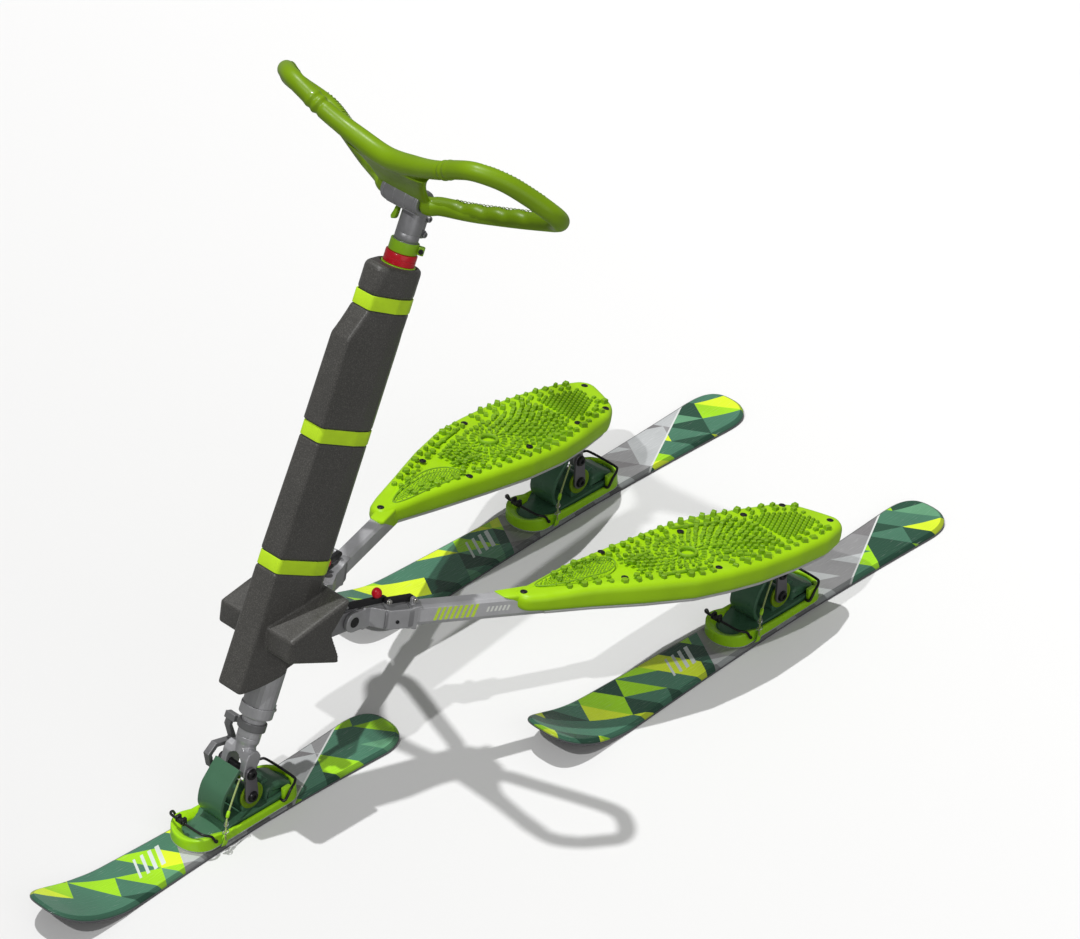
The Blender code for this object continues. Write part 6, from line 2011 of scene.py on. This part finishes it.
@dataclass
class Deck(SidePart):
    """Moulded foot deck: rolled shell, screws and a field of tread lugs in several shapes."""

    top: float = 0.0365
    ring_centre: tuple = (0.236, 0.6)
    nose: float = 0.262
    nose_drop: float = 0.0105
    nose_reach: float = 0.15
    shoulder: float = 0.0125
    screw_clearance: float = 0.0115
    field_inset: float = 0.0375
    lug_span: tuple = (0.335, 0.885)
    block_span: tuple = (0.478, 0.785)
    sleeve_front: float = 0.2955
    sleeve_cut: float = 0.052
    seed: int = 7

    @staticmethod
    def outline() -> Array:
        """Plan of the deck in the arm plane, for the left side."""
        corners = mm("153.5 264, 146 400, 142 520, 141 620, 150 715, 168 790, 191 865, 214 897, 250 913, "
                     "292 928, 315 915, 332 860, 337 780, 336 690, 327 620, 313 550, 278 462, 238 378, "
                     "205 300, 185.5 264")
        return even_steps(round_corners(corners, 0.06, 7), 300, True)

    def settled(self, patches: Sequence) -> list:
        """Lower the tops towards the nose: the drop fades by a cubic step, in proportion to the height.

        Args:
            patches: lugs of the tread.

        Returns:
            The lowered lugs.
        """
        made = []
        for patch in patches:
            points = patch.points.copy()
            drop = self.nose_drop * (1 - eased((points[..., 1] - self.nose) / self.nose_reach))
            points[..., 2] -= drop * np.clip(points[..., 2] / self.top, 0, 1.3)
            made.append(replace(patch, points=points))
        return made

    def build(self) -> None:
        """Build the shell, its sleeve, its tread and its screws."""
        node = f"deck{self.ending}"
        self.add("deck_shell", self.settled([self.shell()]), "deck", Slot.LIME, node, smooth=50)
        self.add("deck_sleeve", [self.sleeve()], "deck", Slot.LIME, smooth=40)
        # the tread lugs take the tread lime, darkened as painted shade
        self.add("deck_tread", self.settled(self.lugs()), "tread", Slot.LIME, smooth=30)
        self.add("deck_screws", self.settled(self.screws()), "black", Slot.BLACK)

    def shell(self) -> Patch:
        """Shell: the outline rises from a curled-under rim over a tall wall to a rolled shoulder."""
        levels = [(0.0145, -0.0043), (0.009, -0.0037), (0.0045, -0.0018), (0.0016, 0.0018), (0.0004, 0.0065),
                  (0.0, 0.0115), (0.0, 0.0215), (0.0006, 0.0262), (0.0022, 0.0303), (0.0047, 0.0333),
                  (0.0078, 0.0353), (0.0115, 0.0363), (0.016, self.top)]
        return Patch(stacked(self.outline(), levels))

    def sleeve(self) -> Patch:
        """Front end of the shell round the arm's tube, whose edge runs back in a curve towards the bottom.

        Returns:
            The sleeve's surface.
        """
        wide, tall, low, back = 0.0154, 0.0204, -0.0112, 0.325
        corners = [(wide, tall), (-wide, tall), (-wide, low), (wide, low)]
        section = round_corners(corners, 0.0046, 5)
        share = (section[:, 1] - low) / (tall - low)
        front = self.sleeve_front - self.sleeve_cut * share ** 1.8
        run = np.array([0.0, 0.002, 0.01, 0.35, 0.7, 1.0])[:, None]
        v = front[None] + (back - front[None]) * run
        swell = 1 + np.array([-0.05, 0.0, 0.012, 0.03, 0.05, 0.05])[:, None, None]
        flat = section[None] * swell
        flat[..., 1] += np.clip(flat[..., 1], 0, None) * 0.22 * run
        middle = ArmLine().across(v.ravel()).reshape(v.shape)
        return Patch(np.stack([middle + flat[..., 0], v, flat[..., 1]], -1))

    def screws(self) -> list:
        """Black screws round the shell's edge and on its top, placed in the shared frame.

        Returns:
            The patches of heads and washers.
        """
        made = []
        for x, v in self.screw_places():
            washer = ring_of(0.0062, 0.0044, -0.001, 0.0006, 0.0004, 24)
            made += [bolt(0.0046, 0.0016, 0.5, 24).moved(Axes((x, v, self.top - 0.0002))),
                     washer.moved(Axes((x, v, self.top - 0.0001)))]
        return made

    def screw_places(self) -> Array:
        """Places of the screws in the arm plane, none nearer to the outline than its rolled shoulder.

        Returns:
            Pairs of sideways place and distance down the arm.
        """
        places = np.array(mm("168 -24, 239 142, 152 172, 302 303, 179 340, 197 478, 292.5 593, 198 570"))
        places[:, 1] = (places[:, 1] + 0.3 - self.top * math.sin(ARM_SLOPE)) / math.cos(ARM_SLOPE)
        outline = self.outline()
        rim = outline + outline_normals(outline) * self.shoulder
        for index in np.flatnonzero(~inside(places, rim)):
            places[index] = rim[np.linalg.norm(rim - places[index], axis=1).argmin()]
        return places

    def clear_of(self, places: Array, reach: float) -> Array:
        """Tell which places lie deeper than a reach inside the outline, and away from the screws."""
        outline = self.outline()
        away = np.linalg.norm(places[:, None, :] - self.screw_places()[None], axis=2).min(1)
        return inside(places, outline + outline_normals(outline) * reach) & (away > self.screw_clearance)

    def scatter(self, sides: int, places: Array, radius: Array, height: Array, turn: Array,
                stretch: float = 1.0, taper: float = 0.85, lean: float = 0.0) -> Patch:
        """Copies of one small prism with a soft upper edge.

        Args:
            sides: corners of its plan.
            places: where each stands in the arm plane.
            radius: half width of each.
            height: height of each over the deck's top.
            turn: angle of each.
            stretch: length against width.
            taper: width on top against width at the foot.
            lean: how far the top leans along its length, against its height.

        Returns:
            One patch with a copy a place.
        """
        ring = circle(1.0, sides, math.pi / sides) * np.array([stretch, 1.0])
        shares = np.array([1.0, 0.5 + 0.5 * taper, taper, taper * 0.82])
        levels = np.array([-0.001, 0.55, 0.92, 1.0])
        flat = ring[None, :, :] * shares[:, None, None]
        flat = flat[None] * radius[:, None, None, None]
        rise = height[:, None] * levels[None, :]
        flat = flat + (lean * rise)[:, :, None, None] * np.array([1.0, 0.0])
        cos, sin = np.cos(turn)[:, None, None], np.sin(turn)[:, None, None]
        x = flat[..., 0] * cos - flat[..., 1] * sin + places[:, 0][:, None, None]
        y = flat[..., 0] * sin + flat[..., 1] * cos + places[:, 1][:, None, None]
        z = np.broadcast_to((self.top + rise)[:, :, None], x.shape)
        return Patch(np.stack([x, y, z], -1))

    def lugs(self) -> list:
        """Tread: tongue with fine studs, lugs along the edges, blocks round a ring, diamond studs behind."""
        rng = np.random.default_rng(self.seed)
        return [*self.tongue(rng), *self.edge_lugs(rng), *self.blocks(rng), *self.wheel(), self.rear_studs()]

    def tongue(self, rng: np.random.Generator) -> list:
        """Raised tongue near the nose: a rim line round a field of fine studs.

        Args:
            rng: source of the small differences.

        Returns:
            The patches of the tongue.
        """
        knots = mm("168 305, 185 330, 200 375, 209 425, 200 460, 178 470, 163 440, 160 380, 161 325")
        rim = soft_curve(knots, 10, True)
        path = np.column_stack([rim, np.full(len(rim), self.top + 0.0003)])
        line = tube(path, 0.0013, (0, 0, 1), 8, True)
        grid = np.stack(np.meshgrid(np.arange(0.15, 0.215, 0.0052), np.arange(0.3, 0.475, 0.0046)), -1)
        grid[::2, :, 0] += 0.0026
        spots = grid.reshape(-1, 2)
        spots = spots[inside(spots, rim + outline_normals(rim) * 0.0035)]
        spots = spots[self.clear_of(spots, 0.01)]
        count = len(spots)
        spots = spots + rng.normal(0, 0.0004, spots.shape)
        studs = self.scatter(6, spots, rng.uniform(0.0012, 0.0018, count), rng.uniform(0.001, 0.0019, count),
                             rng.uniform(0, 3, count))
        return [line, studs]

    def edge_lugs(self, rng: np.random.Generator) -> list:
        """Rows of big hexagon lugs and wedge blocks that follow the deck's edges.

        Args:
            rng: source of the small differences.

        Returns:
            The patches of the lugs.
        """
        outline = self.outline()
        normals = outline_normals(outline)
        patches = []
        for inset, step, size, tall in ((0.0155, 5, 0.0062, 0.0066), (0.0285, 5, 0.0054, 0.0056)):
            run = (outline + normals * inset)[::step]
            run = run[(run[:, 1] > self.lug_span[0]) & (run[:, 1] < self.lug_span[1])]
            run = run[self.clear_of(run, inset - 0.003)]
            run = run + rng.normal(0, 0.0008, run.shape)
            heading = np.arctan2(run[:, 1] - self.ring_centre[1], run[:, 0] - self.ring_centre[0])
            count = len(run)
            front = run[:, 1] < 0.56
            swell = 1 + 0.25 * np.exp(-((run[:, 1] - 0.7) / 0.07) ** 2)
            radius = size * rng.uniform(0.7, 1.15, count) * swell
            height = tall * rng.uniform(0.6, 1.2, count) * swell
            for chosen, sides, stretch, taper in ((front, 6, 1.1, 0.84), (~front, 4, 1.2, 0.8)):
                measures = (part[chosen] for part in (run, radius, height, heading))
                patches.append(self.scatter(sides, *measures, stretch, taper, 0.12))
        return patches

    def blocks(self, rng: np.random.Generator) -> list:
        """Blocks on rings round the wheel, turned towards it and taller away from it.

        Args:
            rng: source of the small differences.

        Returns:
            The patches of the blocks.
        """
        spots = []
        for step in range(12):
            reach = 0.043 + 0.0118 * step
            count = int(FULL_TURN * reach / 0.0122)
            spots.append(np.array(self.ring_centre) + circle(reach, count, 0.5 * step))
        spots = np.vstack(spots)
        spots = spots + rng.normal(0, 0.0008, spots.shape)
        spots = spots[(spots[:, 1] > self.block_span[0]) & (spots[:, 1] < self.block_span[1])]
        spots = spots[self.clear_of(spots, self.field_inset)]
        offset = spots - np.array(self.ring_centre)
        away = np.linalg.norm(offset, axis=1)
        count = len(spots)
        turn = np.arctan2(offset[:, 1], offset[:, 0])
        height = np.clip(0.0026 + 0.034 * (away - 0.036), 0.0026, 0.0062) * rng.uniform(0.6, 1.3, count)
        radius = rng.uniform(0.0036, 0.0059, count)
        turn = turn + rng.normal(0, 0.12, count)
        wedge = rng.random(count) < 0.65
        return [self.scatter(4, spots[wedge], radius[wedge], height[wedge], turn[wedge], 1.25, 0.82, 0.25),
                self.scatter(6, spots[~wedge], radius[~wedge] * 0.85, height[~wedge], turn[~wedge], 1.1, 0.8)]

    def wheel(self) -> list:
        """Ring with radial ribs in the middle of the deck, and slanted ridges beside it.

        Returns:
            The patches of the wheel.
        """
        centre = np.array(self.ring_centre)
        oval = centre + circle(0.0145, 48) * np.array([1.0, 1.15])
        rim = tube(np.column_stack([oval, np.full(48, self.top + 0.0004)]), 0.003, (0, 0, 1), 8, True)
        spokes = centre + circle(0.0275, 20) * np.array([1.0, 1.1])
        ribs = self.scatter(4, spokes, np.full(20, 0.0024), np.full(20, 0.0034), turns(20), 2.7, 0.7)
        ridges = []
        for ends in ("163 640, 196 735", "266 500, 293 585", "205 480, 200 545"):
            line = np.linspace(*np.array(mm(ends)), 12)
            ridges.append(tube(np.column_stack([line, np.full(12, self.top + 0.0005)]), 0.0028, (0, 0, 1), 8))
        return [rim, ribs, *ridges]

    def rear_studs(self) -> Patch:
        """Diamond studs on a slanted lattice at the rear end.

        Returns:
            The patch of the studs.
        """
        grid = np.stack(np.meshgrid(np.arange(0.15, 0.34, 0.0094), np.arange(0.788, 0.885, 0.0088)), -1)
        grid[::2, :, 0] += 0.0047
        spots = grid.reshape(-1, 2)
        spots = spots[self.clear_of(spots, self.field_inset)]
        count = len(spots)
        radius, height = np.full(count, 0.0041), np.full(count, 0.0044)
        return self.scatter(4, spots, radius, height, np.zeros(count), 1.0, 0.66)


@dataclass
class SkiUnit(Assembly):
    """One ski with its binding, boot-shaped adapter, links, bails and safety cord."""

    name: str
    x: float
    pivot_y: float
    length: float
    ahead: float
    bolt_body: str
    waist: float = 0.092
    shovel: float = 0.119
    tail: float = 0.112
    base: float = 0.0108
    pivot_z: float = 0.103
    axle_z: float = 0.0575
    half: float = 0.0445
    plate_ahead: float = 0.132
    plate_behind: float = 0.107
    rail: float = 0.0074
    toe_flange: float = 0.0185
    bail_wide: float = 0.0478
    bail_z: float = 0.0245
    bail_height: float = 0.0215
    tip_lift: float = 0.056
    tip_run: float = 0.17
    tail_lift: float = 0.006
    tail_run: float = 0.06
    link_inside: float = 0.0286
    link_outside: float = 0.0335
    cord_radius: float = 0.0016
    cord_sides: int = 14

    @property
    def ending(self) -> str:
        """End of each piece's name."""
        return f"_{self.name}"

    @property
    def body(self) -> str:
        """Body that the unit rides on."""
        return f"ski_{self.name}"

    @property
    def axes(self) -> Axes:
        """Frame on the snow under the pivot."""
        return Axes((self.x, self.pivot_y, 0))

    def build(self) -> None:
        """Build and dress every piece of the unit."""
        self.make_ski()
        self.make_binding()
        self.make_adapter()
        self.make_bosses()
        self.make_links()
        self.make_bails()
        self.make_leash()

    def half_width(self, to_tip: Array) -> Array:
        """Half width at distances from the tip: side cut between shovel and tail, round ends.

        Args:
            to_tip: distances from the tip.

        Returns:
            Half width at each of them.
        """
        waist_at, shovel_at, tail_at = 0.58 * self.length, 0.16 * self.length, 0.93 * self.length
        ahead = np.clip((waist_at - to_tip) / (waist_at - shovel_at), 0, 1) ** 1.6
        behind = np.clip((to_tip - waist_at) / (tail_at - waist_at), 0, 1) ** 1.6
        width = self.waist + (self.shovel - self.waist) * ahead + (self.tail - self.waist) * behind
        tip = (1 - np.clip(1 - to_tip / 0.1, 0, 1) ** 3) ** (1 / 3)
        end = (1 - np.clip(1 - (self.length - to_tip) / 0.062, 0, 1) ** 2.6) ** (1 / 2.6)
        return width / 2 * np.minimum(tip, end)

    def rise(self, behind: Array) -> Array:
        """Height of the base over the snow: bent up at the tip and a little at the tail.

        Args:
            behind: distances behind the ski's pivot.

        Returns:
            Height at each of them.
        """
        to_tip = behind + self.ahead
        tip = self.tip_lift * np.clip((self.tip_run - to_tip) / self.tip_run, 0, 1) ** 2
        to_tail = self.length - to_tip
        tail = self.tail_lift * np.clip((self.tail_run - to_tail) / self.tail_run, 0, 1) ** 2
        return tip + tail

    def make_ski(self) -> None:
        """Ski: base, steel edge, side wall, chamfer and crowned top sheet, bent by its rise."""
        to_tip = (1 - np.cos(np.linspace(0, math.pi, 400))) / 2 * self.length
        right = np.column_stack([self.half_width(to_tip), to_tip - self.ahead])
        outline = np.vstack([right, right[::-1][1:-1] * np.array([-1, 1])])
        outline = even_steps(outline, 460, True)
        levels = mm("1 0, 0 0.6, 0 2.6, 0.5 3, 0.9 5.2, 1.4 6, 6.2 9.7, 7.2 10.3, 9.4 10.5")
        patch = pillow(outline, levels, bar_spine(outline, 1, 0.052), 4)
        local = patch.points.copy()
        patch.points[..., 2] += self.rise(local[..., 1])
        ski = build(f"{self.body}_board", [patch], self.axes, 25, local.reshape(-1, 3))
        self.wear(ski, self.body, Slot.SKI, f"ski{self.ending}")

    def plan(self, shrink: float = 0.0, count: int = 200) -> Array:
        """Plan of the binding: elliptic toe, straight rails and elliptic heel.

        Args:
            shrink: distance by which the outline is drawn in.
            count: number of points.

        Returns:
            The closed outline.
        """
        nose, tail = self.half * 0.82, self.half * 0.8
        angle = np.linspace(0, math.pi, 40)
        toe = np.column_stack([-self.half * np.cos(angle), -self.plate_ahead + nose - nose * np.sin(angle)])
        heel = np.column_stack([self.half * np.cos(angle), self.plate_behind - tail + tail * np.sin(angle)])
        outline = even_steps(np.vstack([toe, heel]), count, True)
        return outline + outline_normals(outline) * shrink

    def make_binding(self) -> None:
        """Binding: a wall round its plan whose top follows the side view, a floor, an eye and heel posts."""
        outline = self.plan()
        normals = outline_normals(outline)
        knots = [-0.132, -0.115, -0.098, -0.086, -0.066, -0.02, 0.05, 0.0645, 0.073, 0.107]
        tops = [0.0312, 0.0345, 0.0358, 0.0338, 0.0272, 0.0248, 0.0232, 0.0245, 0.0342, 0.0338]
        thick = np.interp(outline[:, 1], [-0.132, -0.068, -0.054, 0.055, 0.08],
                          [self.toe_flange, self.toe_flange - 0.001, self.rail, self.rail, 0.0085])
        slope = 0.0075 * np.clip((-0.054 - outline[:, 1]) / 0.012, 0, 1)
        top = np.interp(outline[:, 1], knots, tops)
        none = 0 * thick
        edge = [(none - 0.0012, none + self.base), (none, top - 0.0062), (none + 0.0002, top - 0.0026),
                (none + 0.001, top - 0.0009), (none + 0.0026, top), (thick * 0.45, top - slope * 0.25),
                (thick - 0.0024, top - slope * 0.85), (thick - 0.001, top - slope - 0.0009),
                (thick - 0.0002, top - slope - 0.0026), (thick, top - slope - 0.005),
                (thick, none + self.base)]
        inward, height = np.moveaxis(np.array(edge), 0, -1)[..., None]
        wall = np.concatenate([outline[:, None, :] + normals[:, None, :] * inward, height], -1)
        floor = plate(self.plan(0.005), self.base, self.base + 0.0078, 0.0006)
        eye_seat = sideways(self.half - 0.0018, -0.072, 0.0205)
        eye = ring_of(0.0066, 0.0034, 0, 0.0042, 0.0009, 32).moved(eye_seat)
        posts = [block((0.0085, 0.0175, 0.0215), (x, 0.0665, self.base + 0.0225), 0.0012, 0.003)
                 for x in (self.half - 0.0038, 0.0038 - self.half)]
        self.add("binding", [Patch(wall, loop=True), floor, eye, *posts], "binding", Slot.BINDING,
                 f"binding_plate{self.ending}", smooth=40)
        riser = [plate(self.plan(-0.0014), 0.0103, 0.0124, 0.0005),
                 block((0.011, 0.02, 0.0014), (0.041, -0.033, 0.0112), 0.0003, 0.001)]
        self.add("riser", riser, "clear", Slot.BINDING)

    def side_plate(self, corners: Sequence, half: float, edge: float, radius: float, count: int,
                   steps: int = 4) -> Patch:
        """Plate in side view, as wide on both sides of the middle, from corners that are rounded first."""
        outline = even_steps(round_corners(corners, radius, 4), count, True)
        return plate(outline, -half, half, edge, steps).moved(SIDE_VIEW)

    def make_adapter(self) -> None:
        """Boot-shaped adapter: sole, toe dome, bent shield, web and a heel with slanted facets."""
        low = self.base + 0.0083
        sole = plate(self.plan(0.0086), low, low + 0.0094, 0.0016)
        height = sole.points[..., 2]
        height -= (height - low) * 0.75 * eased((-0.048 - sole.points[..., 1]) / 0.014)
        corners = mm("-27.5 -50, -27.5 -94, -16 -112.5, 16 -112.5, 27.5 -94, 27.5 -50")
        toe_plan = even_steps(round_corners(corners, 0.012, 6), 90, True)
        toe_levels = [(0, low - 0.001), (0, low + 0.0015), (0.0012, low + 0.003), (0.004, low + 0.0042),
                      (0.008, low + 0.0048)]
        toe = pillow(toe_plan, toe_levels, bar_spine(toe_plan, 1, 0.02), 3, 0.0012)
        outer = soft_curve(mm("-50 23, -60.5 36, -65.2 55, -56.7 83, -38.5 103.5, -21.5 120.5"), 8)
        inner = soft_curve(mm("-16.5 115.5, -33.5 98.5, -50.2 79.5, -58.2 54.5, -53.8 38.5, -44.5 26.5"), 8)
        shield = plate(np.vstack([outer, inner]), -0.028, 0.028, 0.0016).moved(SIDE_VIEW)
        web_outline = even_steps(link_outline((0, self.axle_z), 0.0125, (0, low + 0.0168), 0.017), 80, True)
        web = plate(web_outline, -0.0262, 0.0262, 0.0012).moved(SIDE_VIEW)
        profile = mm("30 26, 34 46, 42 50, 64 47.5, 86.5 35.5, 89 26")
        heel = self.side_plate(profile, 0.029, 0.0055, 0.0035, 90)
        ridge = self.side_plate(mm("34.5 40, 38 54.5, 50 54.5, 58.5 44"), 0.0125, 0.0022,
                                0.003, 50, 3)
        self.add("adapter", [sole, toe, shield, web, heel, ridge], "pine", Slot.PINE,
                 f"boot_adapter{self.ending}")

    def make_bosses(self) -> None:
        """Lime rim and disc round the cross bolt on both faces of the adapter, in the handlebar's darker lime
        as painted shade.
        """
        seat = sideways(0, 0.004, 0.0545)
        bosses = [ring_of(outer, inner, face - thick, face + thick, 0.0005, 48).moved(seat)
                  for face in (0.0262, -0.0262)
                  for outer, inner, thick in ((0.0235, 0.0195, 0.0019), (0.0205, 0.003, 0.001))]
        # the bosses take the handlebar's darker lime as painted shade, not the binding's own lime
        self.add("boss_rings", bosses, "bar", Slot.BINDING)

    def make_links(self) -> None:
        """Two tapered side links, the lower cross bolt and the upper bolt, which the ski pitches on."""
        outline = even_steps(link_outline((0, self.pivot_z), 0.0108, (0, self.axle_z), 0.0136), 100, True)
        near, far = self.link_inside, self.link_outside
        plates = [plate(outline, *span, 0.0009).moved(SIDE_VIEW) for span in ((near, far), (-far, -near))]
        self.add("side_links", plates, "link", Slot.GREY, f"ski_link{self.ending}")
        self.add("cross_bolt", self.bolt_pair(self.axle_z), "black", Slot.BLACK)
        self.add("pitch_bolt", self.bolt_pair(self.pivot_z), "black", Slot.BLACK, f"pivot_bolt{self.ending}",
                 body=self.bolt_body)

    def bolt_pair(self, height: float) -> list:
        """Shaft across the links with a washer and a domed cap screw head at each end.

        Args:
            height: height of the shaft in the unit's frame.

        Returns:
            The patches of shaft, washers and heads.
        """
        face = self.link_outside
        shaft = turned([(0.006, -face - 0.001), (0.006, face + 0.001)], 32).moved(sideways(0, 0, height))
        heads = [bolt(0.0088, 0.0046, 0.5).moved(facing((sign * (face + 0.0002), 0, height), (sign, 0, 0)))
                 for sign in (1, -1)]
        washers = [ring_of(0.0102, 0.005, -0.0001, 0.0009, 0.0003, 36).moved(
            facing((sign * face, 0, height), (sign, 0, 0))) for sign in (1, -1)]
        return [shaft, *heads, *washers]

    def make_bails(self) -> None:
        """Wire bails: a stub in each bore, up along the side and across the end in one soft curve."""
        wide, height = self.bail_wide, self.bail_height
        for word, hinge, reach in (("toe", -0.0905, -0.024), ("heel", 0.0545, 0.0365)):
            half = [(0.04, 0, 0), (wide - 0.0016, 0, 0), (wide, math.copysign(0.004, reach), 0.0015),
                    (wide - 0.001, reach * 0.45, height * 0.7), (wide - 0.0065, reach * 0.85, height * 0.95),
                    (wide - 0.019, reach, height)]
            path = even_steps(soft_curve(both_sides(half), 8), 110) + np.array([0, hinge, self.bail_z])
            patches = [tube(path, 0.0023, (0.1, 1, 0.1), 14)]
            if word == "toe":
                front = np.array([0, hinge + reach, self.bail_z + height])
                patches += [block(size, front + np.array(shift), 0.001, 0.002) for size, shift in
                            (((0.021, 0.0085, 0.0085), (-0.0125, 0.0, 0.0012)),
                             ((0.006, 0.0105, 0.0115), (-0.019, 0.001, 0.003)),
                             ((0.006, 0.0105, 0.0115), (-0.0065, 0.001, 0.003)))]
            node = f"{word}_bail{self.ending}"
            self.add(f"{word}_wire", patches, "black", Slot.BLACK, node, body=node, smooth=50)

    def make_leash(self) -> None:
        """Safety cord from the shield to the eye, with a shackle, a bead, two rings and a strap tab."""
        start, end = 0.0299, 0.0504
        points = [(start, -0.0215, 0.105), (start + 0.001, -0.026, 0.1), (0.038, -0.048, 0.077),
                  (0.045, -0.066, 0.057), (end, -0.074, 0.042), (end + 0.003, -0.0785, 0.031),
                  (end + 0.0015, -0.0765, 0.0215), (end, -0.0715, 0.0205)]
        path = even_steps(soft_curve(points, 10), 64)
        grid = sweep(path, circle(self.cord_radius, self.cord_sides), (0, 0, 1))
        run = run_of(path)
        turn = np.linspace(0, 1, self.cord_sides, endpoint=False)
        flat = np.stack(np.broadcast_arrays(turn[None, :], run[:, None], 0 * run[:, None]), -1).reshape(-1, 3)
        cord = self.add("safety_cord", [Patch(grid)], "braid", Slot.CORD, f"leash{self.ending}", smooth=60,
                        local=flat)
        placed = self.axes.place(path)
        self.cord_trims(path)

    def cord_trims(self, path: Array) -> list:
        """Pieces on the cord.

        Args:
            path: the cord's middle line in the unit's frame.

        Returns:
            The bright rings and the lime bead and tab.
        """
        ring = circle(1.0, 28)
        rings = []
        for at, first, second, radius in ((1, (0.2, 0.8, -0.56), (0.9, -0.2, 0.4), 0.0042),
                                          (43, (0.3, 0.5, 0.8), (0.9, -0.4, -0.1), 0.0048),
                                          (50, (0.9, 0.1, 0.3), (0.0, 0.9, 0.3), 0.0052)):
            line = path[at] + radius * (ring @ np.array([first, second]))
            rings.append(tube(line, 0.0008, np.cross(first, second), 8, True))
        profile = mm("1.8 -6, 2.8 -5, 3.1 0, 2.8 5, 1.8 6")
        bead = turned(profile, 20).moved(facing(path[34], path[35] - path[33]))
        fall = soft_curve(mm("51.2 -73.5 31, 53 -77.5 23.5, 52.8 -80 16, 50.5 -81 11.8"), 6)
        strip = round_corners(rectangle(0.0045, 0.0006), 0.0005, 3)
        tab = Patch(sweep(even_steps(fall, 18), strip, (1, 0, 0.2)))
        return [self.add("cord_rings", rings, "silver", Slot.CORD),
                self.add("cord_bead", [bead, tab], "binding", Slot.CORD, smooth=60)]


def ski_units(paints: dict) -> list:
    """Return the three ski units; each one's print is painted under its body's name."""
    for word, front_end, rear_start, seed in (("front", -0.135, 0.165, 3.0), ("left", -0.155, 0.255, 11.0),
                                              ("right", -0.155, 0.255, 23.0)):
        paints[f"ski_{word}"] = TopSheet(f"{word}_print", front_end, rear_start, seed).paint()
    return [SkiUnit(paints, "front", 0.0, -0.5095, 0.753, 0.4195, "steering"),
            SkiUnit(paints, "left", HALF_TRACK, 0.496, 0.988, 0.555, "arm_left"),
            SkiUnit(paints, "right", -HALF_TRACK, 0.496, 0.988, 0.555, "arm_right")]


def main() -> None:
    """Build the studio and every sub-assembly, in order."""
    Studio().build()
    paints = {word: finish.paint() for word, finish in FINISHES.items()}
    for ski_unit in ski_units(paints):
        ski_unit.build()
    Handlebar(paints).build()
    Column(paints).build()
    Pads(paints).build()
    for side in Side:
        Arm(paints, side).build()
        Deck(paints, side).build()


if __name__ == "__main__":
    logging.basicConfig(level=logging.INFO, format="%(name)s: %(message)s")
    main()
